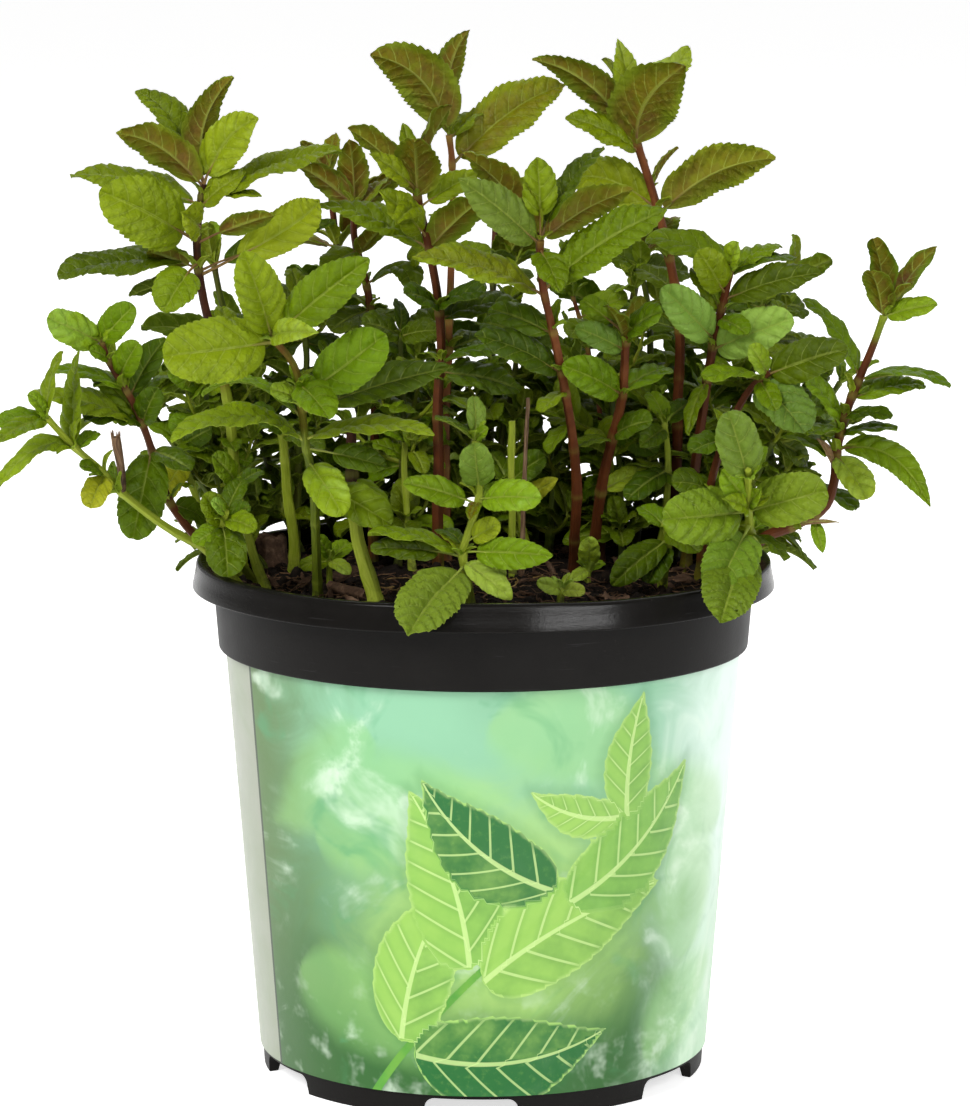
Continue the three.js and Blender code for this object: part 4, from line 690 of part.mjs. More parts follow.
// A shoot as one skin. The stem is a square tube with a short section at each place where leaves
// grow, and every leaf starts from one triangle of that section, so stem and leaves are one body.
function shootGeometry(shoot) {
  const line = simplifyLine(shoot.stem.map(V).reverse(), 0.45);
  const dist = [0];
  for (let i = 1; i < line.length; i++) dist.push(dist[i - 1] + line[i].distanceTo(line[i - 1]));
  const total = dist[dist.length - 1];
  const pointAt = (s) => {
    let i = 0;
    while (i + 2 < line.length && dist[i + 1] < s) i++;
    return line[i].clone().lerp(line[i + 1], (s - dist[i]) / (dist[i + 1] - dist[i]));
  };
  const nearest = (P) => {
    let best = [Infinity, 0];
    for (let i = 0; i + 1 < line.length; i++) {
      const ab = line[i + 1].clone().sub(line[i]);
      const t = Math.max(0, Math.min(1, P.clone().sub(line[i]).dot(ab) / ab.lengthSq()));
      const d = P.distanceTo(line[i].clone().addScaledVector(ab, t));
      if (d < best[0]) best = [d, dist[i] + t * (dist[i + 1] - dist[i])];
    }
    return best[1];
  };
  // leaves gathered by height, at most two on each side of the stem at one place
  const leaves = shoot.leaves.map((row) => ({ row, s: nearest(V(row.slice(0, 3))) })).sort((a, b) => a.s - b.s);
  const sideOf = (leaf, taken) => {
    const around = new THREE.Vector3(1, 0, 0).applyAxisAngle(new THREE.Vector3(0, 0, 1), shoot.stem.length);
    const up = pointAt(Math.min(total, leaf.s + 0.5)).sub(pointAt(Math.max(0, leaf.s - 0.5))).normalize();
    around.addScaledVector(up, -up.dot(around)).normalize();
    const out = leafRings(leaf.row).aim.sub(pointAt(leaf.s)).normalize();
    let best = [FACING, -1];
    for (let k = 0; k < STEM_SIDES; k++) {
      const agrees = out.dot(around.clone().applyAxisAngle(up, 2 * Math.PI * (k + 0.5) / STEM_SIDES));
      if (taken[k] < 2 && agrees > best[0]) best = [agrees, k];
    }
    return best[1];
  };
  const nodes = [];
  for (const leaf of leaves) {
    const last = nodes[nodes.length - 1];
    const side = last && leaf.s - last.leaves[0].s < NODE_SPAN ? sideOf(leaf, last.taken) : -1;
    if (side >= 0) {
      last.leaves.push(leaf);
      last.taken[side]++;
    } else {
      const taken = new Array(STEM_SIDES).fill(0);
      const first = sideOf(leaf, taken);
      if (first >= 0) taken[first]++;
      nodes.push({ leaves: [leaf], taken });
    }
  }
  for (const node of nodes) {
    const mean = node.leaves.reduce((a, l) => a + l.s, 0) / node.leaves.length;
    const half = node.leaves.length > 4 ? 1.3 : 0.95;
    node.lo = Math.max(0.6, Math.min(mean - half, total - 2 * half));
    node.hi = node.lo + 2 * half;
  }
  for (let i = 1; i < nodes.length; i++) {
    const a = nodes[i - 1];
    const b = nodes[i];
    if (b.lo < a.hi + 0.4) {
      const mid = (a.hi + b.lo) / 2;
      a.hi = Math.max(a.lo + 0.8, mid - 0.2);
      b.lo = a.hi + 0.4;
      b.hi = Math.max(b.hi, b.lo + 0.8);
    }
  }
  // sections up the stem
  const top = Math.max(total, nodes.length ? nodes[nodes.length - 1].hi : 0);
  const cuts = [{ s: -ROOT_DEPTH }, { s: 0 }];
  for (let i = 1; i + 1 < line.length; i++) {
    if (!nodes.some((n) => dist[i] > n.lo - 1 && dist[i] < n.hi + 1)) cuts.push({ s: dist[i] });
  }
  for (const node of nodes) cuts.push({ s: node.lo, node }, { s: node.hi });
  if (!nodes.length || top > nodes[nodes.length - 1].hi + 0.5) cuts.push({ s: top });
  cuts.sort((a, b) => a.s - b.s);
  for (let i = cuts.length - 2; i > 1; i--) {
    if (cuts[i + 1].s - cuts[i].s < 0.3 && !cuts[i].node) cuts.splice(i, 1);
  }
  const n = STEM_SIDES;
  const pos = [];
  const idx = [];
  let u = null;
  const centre = cuts.map(({ s }) => {
    if (s < 0) { const p = line[0].clone(); p.z += s; return p; }
    return s > total ? line[line.length - 1].clone().addScaledVector(line[line.length - 1].clone().sub(line[line.length - 2]).normalize(), s - total) : pointAt(s);
  });
  for (let k = 0; k < cuts.length; k++) {
    const t = centre[Math.min(k + 1, centre.length - 1)].clone().sub(centre[Math.max(k - 1, 0)]).normalize();
    if (!u) u = new THREE.Vector3(1, 0, 0).applyAxisAngle(new THREE.Vector3(0, 0, 1), shoot.stem.length);
    u = u.clone().addScaledVector(t, -t.dot(u)).normalize();
    const v = t.clone().cross(u);
    const share = Math.max(0, Math.min(1, cuts[k].s / total));
    const swell = cuts[k].node || (k && cuts[k - 1].node) ? 1.12 : 1;
    const r = (shoot.r[1] + (shoot.r[0] - shoot.r[1]) * share) * STEM_CORNER * swell;
    for (let i = 0; i < n; i++) {
      const w = 2 * Math.PI * i / n;
      const p = centre[k].clone().addScaledVector(u, r * Math.cos(w)).addScaledVector(v, r * Math.sin(w));
      pos.push(p.x, p.y, p.z);
    }
  }
  const P = (i) => new THREE.Vector3(pos[3 * i], pos[3 * i + 1], pos[3 * i + 2]);
  const normal = ([a, b, c]) => P(b).sub(P(a)).cross(P(c).sub(P(a))).normalize();
  for (let k = 0; k + 1 < cuts.length; k++) {
    const faces = [];
    for (let i = 0; i < n; i++) {
      const j = (i + 1) % n;
      const [a, b, c, d] = [k * n + i, k * n + j, (k + 1) * n + j, (k + 1) * n + i];
      faces.push([a, b, c], [a, c, d]);
    }
    const capHere = k + 2 === cuts.length;
    if (capHere) {
      const last = (k + 1) * n;
      for (let i = 1; i + 1 < n; i++) faces.push([last, last + i, last + i + 1]);
    }
    const grown = cuts[k].node ? cuts[k].node.leaves.map((l) => l.row) : [];
    // the leaf that agrees best with a face takes it first
    const wanted = [];
    for (const [li, row] of grown.entries()) {
      const leaf = leafRings(row);
      for (const [fi, f] of faces.entries()) {
        const centreF = P(f[0]).add(P(f[1])).add(P(f[2])).divideScalar(3);
        const dir = leaf.aim.clone().sub(centreF).normalize();
        wanted.push([normal(f).dot(dir), li, fi]);
      }
    }
    wanted.sort((a, b) => b[0] - a[0]);
    const takenLeaf = new Set();
    const takenFace = new Set();
    const pairs = [];
    for (const [, li, fi] of wanted) {
      if (takenLeaf.has(li) || takenFace.has(fi)) continue;
      takenLeaf.add(li); takenFace.add(fi); pairs.push([li, fi]);
    }
    faces.forEach((f, fi) => { if (!takenFace.has(fi)) idx.push(...f); });
    for (const [li, fi] of pairs) {
      const { rings, tip } = leafRings(grown[li]);
      let prev = faces[fi];
      for (const ring of rings) {
        const base = pos.length / 3;
        // turn the ring so that it joins the one before with the least twist
        let turn = 0;
        let least = Infinity;
        for (let o = 0; o < 3; o++) {
          let sum = 0;
          for (let i = 0; i < 3; i++) sum += P(prev[i]).distanceToSquared(ring[(i + o) % 3]);
          if (sum < least) { least = sum; turn = o; }
        }
        for (let i = 0; i < 3; i++) { const p = ring[(i + turn) % 3]; pos.push(p.x, p.y, p.z); }
        const next = [base, base + 1, base + 2];
        // each side is split along the diagonal that bulges outwards, so the skin never crosses itself
        for (let i = 0; i < 3; i++) {
          const j = (i + 1) % 3;
          const [a, b, c, d] = [prev[i], prev[j], next[j], next[i]];
          const out = normal([a, b, c]).dot(P(d).sub(P(a)));
          if (out <= 0) idx.push(a, b, c, a, c, d);
          else idx.push(a, b, d, b, c, d);
        }
        prev = next;
      }
      const t = pos.length / 3;
      pos.push(tip.x, tip.y, tip.z);
      for (let i = 0; i < 3; i++) idx.push(prev[i], prev[(i + 1) % 3], t);
    }
  }
  for (let i = 1; i + 1 < n; i++) idx.push(0, i + 1, i);
  const g = new THREE.BufferGeometry();
  g.setAttribute('position', new THREE.Float32BufferAttribute(pos, 3));
  g.setIndex(idx);
  g.computeVertexNormals();
  return g;
}

function lathe(profile, segments) {
  const g = new THREE.LatheGeometry(profile.map(([r, z]) => new THREE.Vector2(r, z)), segments);
  g.rotateX(Math.PI / 2);
  return g;
}

// ---- pot: a thin moulded wall, a collar, a turned-down lip, a raised floor and a notched foot
const POT_PROFILE = [
  [0, FLOOR_UNDERSIDE_Z], [FOOT_INNER_RADIUS, FLOOR_UNDERSIDE_Z], [FOOT_INNER_RADIUS + 0.2, 0],
  [FOOT_RADIUS, 0], [WALL_BOTTOM_RADIUS, 4.9], [WALL_TOP_RADIUS, COLLAR_BOTTOM_Z - 0.1],
  [COLLAR_BOTTOM_RADIUS, COLLAR_BOTTOM_Z], [COLLAR_TOP_RADIUS, LIP_LOWER_EDGE_Z],
  [60.5, 112.4], [63.2, 112.4], [63.9, LIP_LOWER_EDGE_Z], [LIP_RADIUS, LIP_LOWER_EDGE_Z],
  [64.35, 112.2], [64.0, 114.5], [63.2, POT_HEIGHT], [61.6, POT_HEIGHT - 0.1],
  [60.7, 114.0], [59.35, 110], [58.0, 96.4], [WALL_TOP_RADIUS - WALL, 94.9],
  [WALL_BOTTOM_RADIUS - WALL + 0.1, FLOOR_TOP_Z], [0, FLOOR_TOP_Z],
];
let pot = solid(lathe(POT_PROFILE, POT_SEGMENTS));
for (let k = 0; k < NOTCH_COUNT; k++) {
  const w = THREE.MathUtils.degToRad(NOTCH_START_DEG + 360 / NOTCH_COUNT * k);
  // an arch: flat below, rounded at its upper corners
  const s = new THREE.Shape();
  const h = NOTCH_WIDTH / 2;
  s.moveTo(-h, -1); s.lineTo(h, -1); s.lineTo(h - 0.8, NOTCH_HEIGHT - 1.6);
  s.lineTo(h - 2.6, NOTCH_HEIGHT); s.lineTo(-h + 2.6, NOTCH_HEIGHT); s.lineTo(-h + 0.8, NOTCH_HEIGHT - 1.6);
  s.closePath();
  const g = new THREE.ExtrudeGeometry(s, { depth: 9, bevelEnabled: false });
  g.rotateX(Math.PI / 2);
  g.rotateZ(Math.PI / 2 + w);
  g.translate(44 * Math.cos(w), 44 * Math.sin(w), 0);
  pot = pot.subtract(solid(g));
}
for (let k = 0; k < NOTCH_COUNT + 1; k++) {
  const w = THREE.MathUtils.degToRad(NOTCH_START_DEG + 30 + 360 / NOTCH_COUNT * k);
  const r = k === NOTCH_COUNT ? 0 : DRAIN_HOLE_CIRCLE;
  const g = new THREE.CylinderGeometry(DRAIN_HOLE_RADIUS, DRAIN_HOLE_RADIUS, 4, 12);
  g.rotateX(Math.PI / 2);
  g.translate(r * Math.cos(w), r * Math.sin(w), (FLOOR_UNDERSIDE_Z + FLOOR_TOP_Z) / 2);
  pot = pot.subtract(solid(g));
}

// ---- sleeve: a thin wrap round the tapering wall, between the foot and the collar
const wallRadius = (z) => WALL_BOTTOM_RADIUS
  + (WALL_TOP_RADIUS - WALL_BOTTOM_RADIUS) * (z - 4.9) / (COLLAR_BOTTOM_Z - 0.1 - 4.9);
const sleeveInner = (z) => wallRadius(z) + SLEEVE_GAP;
const sleeve = solid(lathe([
  [sleeveInner(SLEEVE_BOTTOM_Z), SLEEVE_BOTTOM_Z],
  [sleeveInner(SLEEVE_BOTTOM_Z) + SLEEVE_THICKNESS, SLEEVE_BOTTOM_Z],
  [sleeveInner(SLEEVE_TOP_Z) + SLEEVE_THICKNESS, SLEEVE_TOP_Z],
  [sleeveInner(SLEEVE_TOP_Z), SLEEVE_TOP_Z],
  [sleeveInner(SLEEVE_BOTTOM_Z), SLEEVE_BOTTOM_Z],
], POT_SEGMENTS));

// ---- soil: fills the pot to a few millimetres below the lip, a little lower at the wall
const innerWall = (z) => {
  if (z > 96.4) return 58.0 + (z - 96.4) * (59.35 - 58.0) / (110 - 96.4);
  if (z > 94.9) return 55.9 + (z - 94.9) * 1.4;
  return 48.95 + (z - FLOOR_TOP_Z) * (55.9 - 48.95) / (94.9 - FLOOR_TOP_Z);
};
const soilRing = (r, z) => {
  const ring = [];
  for (let k = 0; k < POT_SEGMENTS; k++) {
    const w = 2 * Math.PI * k / POT_SEGMENTS;
    ring.push(new THREE.Vector3(r * Math.sin(w), -r * Math.cos(w), z));
  }
  return ring;
};
const soilRings = [];
for (const z of [FLOOR_TOP_Z + SOIL_GAP, 94.6, 96.6, 109, 109.6]) {
  soilRings.push(soilRing(innerWall(z) - SOIL_GAP - (z === 94.6 ? 0.05 : 0), z));
}
soilRings.push(soilRing(53, SOIL_LEVEL));
let soil = solid(fromRings(soilRings, new THREE.Vector3(0, 0, SOIL_LEVEL), new THREE.Vector3(0, 0, FLOOR_TOP_Z + SOIL_GAP)));

// a straight-sided pocket in the soil for whatever is rooted or bedded there
function pocket(x, y, radius, bottom, sides = STEM_SIDES) {
  const g = new THREE.CylinderGeometry(radius, radius, 130 - bottom, sides);
  g.rotateX(Math.PI / 2);
  g.translate(x, y, (130 + bottom) / 2);
  soil = soil.subtract(solid(g));
}

const object = new THREE.Group();
object.name = 'potted_mint';
function addMesh(name, manifold, color, roughness) {
  const material = new THREE.MeshStandardMaterial({ color, roughness, metalness: 0 });
  const mesh = new THREE.Mesh(geometryOf(manifold), material);
  mesh.name = name;
  object.add(mesh);
}

// ---- shoots
for (const shoot of SHOOTS) {
  const material = new THREE.MeshStandardMaterial({ color: shoot.leafColor, roughness: 0.55, metalness: 0 });
  const mesh = new THREE.Mesh(shootGeometry(shoot), material);
  mesh.name = shoot.name;
  object.add(mesh);
  const foot = shoot.stem[shoot.stem.length - 1];
  pocket(foot[0], foot[1], (shoot.r[1] * STEM_CORNER + SOCKET_GAP) / Math.cos(Math.PI / STEM_SIDES) + 0.05, foot[2] - ROOT_DEPTH - SOCKET_GAP);
}

// ---- old crown: a woody stump with a hollow in its cut top
{
  const [x, y] = OLD_CROWN.at;
  const R = OLD_CROWN.radius;
  const bottom = SOIL_LEVEL - 4;
  const pts = [[0, bottom], [R * 1.05, bottom], [R, 113.5], [R * 0.86, OLD_CROWN.top], [OLD_CROWN.hollowRadius, OLD_CROWN.top - 0.6],
    [OLD_CROWN.hollowRadius * 0.6, OLD_CROWN.top - OLD_CROWN.hollowDepth], [0, OLD_CROWN.top - OLD_CROWN.hollowDepth - 0.4]];
  const g = lathe(pts, 10);
  g.translate(x, y, 0);
  pocket(x, y, (R * 1.05 + SOCKET_GAP) / Math.cos(Math.PI / 10) + 0.1, bottom - SOCKET_GAP, 10);
  addMesh('old_crown', solid(g), 0x6b4a33, 0.9);
}

// ---- a twig lying on the soil and a chip of bark, both bedded in it
{
  const a = V(FALLEN_TWIG.from);
  const b = V(FALLEN_TWIG.to);
  const mid = a.clone().lerp(b, 0.5);
  mid.z -= 0.2;
  const r = FALLEN_TWIG.radius;
  addMesh('fallen_twig', solid(tube([a, mid, b], [r, r * 0.9, r * 0.75], 6)), 0x7a5a3e, 0.85);
  const d = b.clone().sub(a).normalize();
  soil = soil.subtract(solid(tube([a.clone().addScaledVector(d, -1), mid, b.clone().addScaledVector(d, 1)],
    [r + 0.5, r * 0.9 + 0.5, r * 0.75 + 0.5], 6)));
  const chip = new THREE.BoxGeometry(...BARK_CHIP.size);
  const hollow = new THREE.BoxGeometry(...BARK_CHIP.size.map((s) => s + 0.8));
  for (const g of [chip, hollow]) {
    g.rotateX(BARK_CHIP.turn[0]); g.rotateY(BARK_CHIP.turn[1]); g.rotateZ(BARK_CHIP.turn[2]);
    g.translate(...BARK_CHIP.centre);
  }
  addMesh('bark_chip', solid(chip), 0xa07c4f, 0.85);
  soil = soil.subtract(solid(hollow));
}

addMesh('pot', pot, 0x1b1b1d, 0.45);
addMesh('label_sleeve', sleeve, 0xa6dba8, 0.35);
addMesh('soil', soil, 0x2a1c14, 0.95);

export default object;
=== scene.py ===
import json
import math

import bpy
import numpy as np
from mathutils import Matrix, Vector


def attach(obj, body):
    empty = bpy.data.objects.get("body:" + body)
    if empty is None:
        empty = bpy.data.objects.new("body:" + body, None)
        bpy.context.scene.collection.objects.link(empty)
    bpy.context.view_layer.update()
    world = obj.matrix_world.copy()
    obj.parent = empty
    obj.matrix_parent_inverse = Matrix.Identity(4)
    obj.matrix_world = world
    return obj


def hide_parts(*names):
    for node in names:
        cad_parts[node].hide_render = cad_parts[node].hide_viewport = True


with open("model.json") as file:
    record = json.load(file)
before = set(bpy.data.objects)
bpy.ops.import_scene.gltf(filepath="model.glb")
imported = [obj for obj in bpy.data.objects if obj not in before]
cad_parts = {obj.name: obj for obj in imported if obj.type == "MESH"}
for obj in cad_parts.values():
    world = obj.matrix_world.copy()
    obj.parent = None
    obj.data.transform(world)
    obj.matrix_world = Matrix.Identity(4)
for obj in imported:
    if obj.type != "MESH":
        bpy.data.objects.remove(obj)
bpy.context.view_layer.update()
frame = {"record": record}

MM = 0.001

# Each shoot: node, stem colour, stem radius at the top and foot, points of the stem from the top down,
# and its leaves. A leaf: stem end, bend and tip of its midrib, the way its upper face looks, width,
# share of the midrib that is stalk, fold, and its tint (brightness, purple, yellow).
# The brightness is partly the leaf's own green and partly painted light and shade: darker for leaves
# low down and inside the plant, lighter for leaves that catch the light. A yellow below zero is a painted bluish sheen.
SHOOTS = [
 ("shoot_right_tall", "red", (0.85,1.3), ((33.82,18,207.86),(35.19,18.16,204.05),(38.64,18.62,193.25),(41.66,19.11,181.5),(44.51,19.83,163.77),(44.2,20.46,147.76),(43.68,21.19,129.33),(40.88,22,110.8)), [(34.91,18.13,204.85,31.75,11.92,216.6,44.8,5.72,224.32,0.049,0.853,0.519,15.55,0.06,0.12,0.5,0.6,0),
  (34.32,18.06,206.47,25.27,16.56,223.27,10.69,15.06,225.17,0.274,0.834,0.48,10,0.06,0.12,0.5,0.6,0),
  (33.82,18,207.86,33.3,17.43,219.58,30.28,23,229.47,0.362,-0.894,0.266,6.03,0.15,0.12,0.75,0,0.1),
  (33.82,18,207.86,38.36,18.4,219.6,46.5,24,227.41,-0.481,-0.7,0.527,6.54,0.15,0.12,0.75,0,0.1),
  (35.27,18.17,203.82,28.46,13.94,210.45,18.27,13.17,212.41,0.502,-0.514,0.695,9.52,0.07,0.12,0.55,0,0),
  (39.44,18.75,190.11,50.88,15.75,202.9,65.56,12.75,203.09,-0.019,0.892,0.451,12.1,0.06,0.3,0.5,0.6,0),
  (39.23,18.72,190.96,27.04,20.72,202.2,17.36,22.72,196.75,-0.075,-0.93,0.359,10.85,0.06,0.12,0.55,0,0),
  (41.8,19.14,180.61,45.58,21.28,183.92,49.14,25.42,184.09,0.062,-0.538,0.841,6.48,0.06,0.12,0.22,0,0),
  (43.04,19.46,172.92,39,22.12,176.88,34.73,26.67,177.16,0.057,-0.456,0.888,7.45,0.06,0.12,0.22,0,0),
  (44.51,19.83,163.77,39.64,22.45,166.08,35.71,26.8,164.83,-0.234,-0.428,0.873,7.21,0.06,0.12,0.22,0,0),
  (44.5,19.84,163.31,50.75,22.77,161.84,53.56,27.84,157.85,0.718,-0.451,0.53,7.59,0.06,0.12,0.22,0,0),
  (33.82,18,207.86,33.75,22.99,217.79,27.27,29.41,224.58,0.882,-0.148,0.447,12.05,0.06,0.12,0.75,0,0.1)]),
 ("shoot_centre_back_tall", "pink", (0.75,1.2), ((-7.59,14,208.13),(-6.93,14.28,201.42),(-6.72,14.84,187.95),(-7.42,15.55,171.02),(-7.66,16.01,159.66),(-8.36,16.67,143.68),(-8.19,18,110.8)), [(-7.59,14,208.13,-11.58,12,224.14,-25.26,10,226.31,0.039,0.967,0.251,12.67,0.06,0.12,0.5,0.6,0),
  (-7.59,14,208.13,-10.36,15.5,224.27,-2.9,17,231.51,-0.51,0.86,-0.008,7.33,0.14,0.12,0.4,1,0),
  (-6.93,14.28,201.41,7.13,17.28,216.72,18.6,20.28,219.11,-0.131,-0.866,0.483,13.01,0.06,0.3,0.22,0,0),
  (-7.46,14.05,206.87,-4.45,16.89,212.04,0.22,21.28,213.69,-0.399,-0.369,0.84,7.47,0.11,0.12,0.55,0,0),
  (-6.77,14.89,186.83,-2.05,18.98,192.39,3.84,24.89,192.74,-0.211,-0.322,0.923,9.8,0.06,0.12,0.22,0,0),
  (-6.81,14.94,185.69,-13.62,17.2,183.64,-16.94,21.97,178.97,-0.692,-0.5,0.52,8.47,0.06,0.12,0.55,0,0),
  (-7.51,15.73,166.48,-14.33,18.81,166.72,-18.38,24.08,163.3,-0.542,-0.431,0.722,8.63,0.06,0.12,0.22,0,0),
  (-7.66,16.01,159.66,-2.47,18.75,162.59,2.04,23.39,161.55,0.152,-0.428,0.891,7.77,0.06,0.12,0.22,0,0)]),
 ("shoot_centre_tall", "purple", (0.8,1.25), ((-14.74,-2,197.12),(-13,-1.45,189.37),(-11.26,-0.82,180.47),(-9.95,-0.27,172.66),(-9.31,0.51,161.45),(-10.01,1.28,150.18),(-10.04,2.36,134.31),(-10.1,4,110.8)), [(-14.27,-1.85,195.02,-14.22,-4.48,204,-14.78,-12.22,209.23,0.1,0.802,0.589,10.72,0.06,0.12,0.5,0.6,0),
  (-14.74,-2,197.12,-20.29,1.21,205.77,-29.72,1,210.97,0.623,0.553,0.554,10.71,0.21,0.12,0.5,0.6,0),
  (-14.74,-2,197.12,-15.3,-1.05,205.13,-17.64,3,211.72,0.459,-0.809,0.368,4.64,0.34,0.12,0.55,0,0),
  (-14.74,-2,197.12,-13.92,3.83,207.11,-7.31,8.63,215.34,-0.943,0.168,0.287,10.98,0.28,0.12,0.5,0.6,0),
  (-14.74,-2,197.12,-18.18,-8.09,202.24,-24.67,-11.64,205.89,0.78,-0.572,0.255,5.82,0.17,0.12,0.75,0,0.1),
  (-12.44,-1.24,186.5,-15.54,-7.4,192.29,-22.49,-9.24,197.7,0.669,-0.74,0.071,7.58,0.13,0.12,0.55,0,0),
  (-11.95,-1.06,183.98,-23.25,-1.17,192.76,-36.94,2.94,193.42,0.252,-0.449,0.857,10.95,0.06,0.12,0.55,0,0),
  (-11.97,-1.07,184.11,-6.39,-1.49,191.57,-0.22,-7.07,195.77,-0.099,0.841,0.532,9.28,0.06,0.12,0.5,0.6,0),
  (-13.88,-1.73,193.29,-7.71,-2.69,198.38,-0.66,0.27,200.91,-0.182,-0.826,0.533,6.7,0.15,0.12,0.55,0,0),
  (-11.45,-0.88,181.41,-4.19,0.51,183.68,2,5.12,183.24,0.247,-0.744,0.621,5.67,0.2,0.12,0.75,0,0.1),
  (-9.85,-0.14,170.83,-12.08,-4.75,174.49,-17.33,-8.14,175.24,0.691,-0.278,0.668,6.98,0.06,0.12,0.22,0,0),
  (-9.85,-0.14,170.83,-6.06,-5,175.08,0.66,-8.26,175.69,-0.59,-0.321,0.741,8.39,0.06,0.12,0.22,0,0),
  (-9.48,0.69,158.75,-1.31,-3.57,163.53,8.14,-7.31,161.46,-0.186,-0.077,0.98,7.89,0.06,0.12,0.22,0,0),
  (-9.62,0.85,156.51,0.61,0.56,156.55,8.7,4.85,151.98,0.313,-0.667,0.677,8.18,0.06,0.12,0.22,0,0),
  (-9.7,0.04,168.15,-0.97,2.06,172.97,8.24,6.04,171.33,-0.072,-0.292,0.954,9.89,0.06,0.12,0.22,0,0),
  (-13.99,-1.76,193.77,-16,-9.62,194.22,-18.97,-16.37,190.92,0.599,-0.345,0.722,5.08,0.06,0.12,0.55,0,0)]),
 ("shoot_left_tall", "purple_top", (0.75,1.25), ((-61.36,-2,198.44),(-62.32,-1.67,192.69),(-63.1,-1.16,183.82),(-61.92,-0.53,172.68),(-57.92,0.38,157),(-55.89,1.27,141.21),(-55.17,2.09,126.45),(-53.8,3,110.8)), [(-61.36,-2,198.44,-65.41,0,212.68,-54.99,2,222.1,-0.68,0.73,0.06,9.9,0.06,0.12,0.5,0.6,0),
  (-61.36,-2,198.44,-68.16,1,217.44,-76.96,4,218.48,0.571,-0.55,0.609,10.41,0.06,0.12,0.55,0,0),
  (-61.48,-1.96,197.73,-70.06,-5.96,210.17,-80.13,-9.96,210.16,-0.029,0.86,0.509,9.79,0.06,0.12,0.5,0.6,0),
  (-61.36,-2,198.44,-57.31,-5,210.74,-49.07,-8,213.3,-0.439,-0.898,0,10.44,0.08,0.12,0.85,0,0),
  (-62.18,-1.72,193.49,-75.92,-1.48,201.76,-91.41,2.28,200.1,0.165,-0.331,0.929,11.84,0.06,0.12,0.55,0,0),
  (-62.93,-1.27,185.71,-71.12,-10.84,191.87,-83.51,-13.11,198,0.499,-0.867,0,14.88,0.16,0.12,0.85,0,0),
  (-62.24,-1.69,193.13,-48.35,-2.05,204.17,-30.82,0.31,205.75,-0.346,-0.26,0.902,14.44,0.16,0.12,0.55,0,0),
  (-62.18,-1.72,193.49,-58.31,-5.18,198.46,-51.72,-5.04,201.31,-0.546,-0.722,0.424,6.99,0.06,0.12,0.55,0,0),
  (-62.69,-1.43,188.47,-60.74,-9.24,190.08,-65.14,-15.43,193.19,0.945,-0.24,-0.222,8.76,0.32,0.12,0.75,0,0.1),
  (-62.97,-1.25,185.28,-53.42,-3.9,190.61,-45.14,-11.25,192.62,0.219,0.8,0.559,5.67,0.32,0.12,0.5,0.6,0),
  (-62.5,-0.84,178.16,-37.75,-3.84,190.66,-36.13,-6.84,195.32,-0.274,-0.958,0.087,9.98,0.4,0.12,0.75,0,0.1),
  (-62.6,-0.9,179.13,-47.8,-1.87,186.3,-32.28,2.1,190.17,-0.118,-0.827,0.549,7.22,0.5,0.12,0.22,0,0),
  (-62.85,-1.03,181.48,-81.55,-3.03,182.62,-93.92,-5.03,178.67,-0.054,-0.259,0.964,13.71,0.09,0.12,0.22,0,0),
  (-62.62,-0.91,179.28,-68.34,-1.98,183.04,-73.76,-6.14,184.28,-0.079,0.772,0.631,7,0.21,0.12,0.5,0.6,0),
  (-62.43,-0.81,177.52,-71.01,-1.13,177.72,-78.21,-4.15,174.17,-0.284,0.559,0.779,7.15,0.19,0.12,0.22,0,0),
  (-62.8,-1.01,181.04,-65.91,-9.66,179.16,-69.91,-13.01,171.35,0.109,-0.663,0.741,9.98,0.27,0.12,0.55,0,0),
  (-61.94,-1.8,194.97,-55.44,-4.49,197.04,-48.4,-6.46,196.38,-0.185,-0.251,0.95,4.82,0.49,0.12,0.55,0,0)]),
 ("shoot_centre_red", "red", (1,1.5), ((12.28,-24,188.09),(12.32,-21.94,182.5),(13.45,-19.04,174.6),(15.93,-15.23,164.35),(18.22,-11.2,153.3),(20.11,-6.46,140.02),(20.87,-3.16,130.61),(20.33,0.96,118.71),(20.19,4,110.8)), [(12.28,-24,188.09,6.18,-23.54,200.64,-4.49,-29,207.8,0.497,0.64,0.586,12.04,0.06,0.12,0.5,0.6,0),
  (12.28,-24,188.09,12.71,-28.18,196.99,11.57,-28.2,206.31,0.345,-0.917,-0.198,7.89,0.3,0.12,0.55,0,0),
  (12.28,-24,188.09,16.57,-23.17,200.28,26.12,-19,207.96,-0.681,-0.44,0.585,10.47,0.16,0.3,0.22,0,0),
  (12.28,-24,188.09,20.81,-18.82,195.42,32.61,-20,198.98,-0.404,0.787,0.466,9.39,0.06,0.12,0.5,0.6,0),
  (13.17,-19.77,176.59,23.43,-26.31,189.05,39.74,-25.77,195.14,-0.535,-0.63,0.562,13.01,0.06,0.12,0.55,0,0),
  (12.29,-23.59,186.97,5.58,-31.74,194.8,-5.33,-32.59,202.1,0.495,-0.867,0.061,9.63,0.08,0.12,0.5,0,-0.5),
  (13.33,-19.36,175.49,0.97,-25.45,184.54,-15.48,-26.36,185.07,0.38,-0.48,0.791,10.7,0.06,0.12,0.75,0,0.1),
  (17.31,-12.8,157.69,9.66,-19.06,164.43,-1.95,-19.8,167.27,0.504,-0.707,0.497,8.73,0.06,0.12,0.22,0,0),
  (15.36,-16.1,166.71,8,-15.28,171.21,1.1,-10.1,171.92,-0.079,-0.754,0.652,7.11,0.06,0.12,0.22,0,0),
  (18.17,-11.28,153.52,14.82,-14.46,153.09,12.45,-16.71,149.81,-0.311,-0.291,0.905,5.62,0.06,0.12,0.55,0,0),
  (12.29,-23.18,185.85,14.35,-30.63,184.13,16.43,-35.18,177.99,0,-0.548,0.837,7.43,0.07,0.12,0.55,0,0),
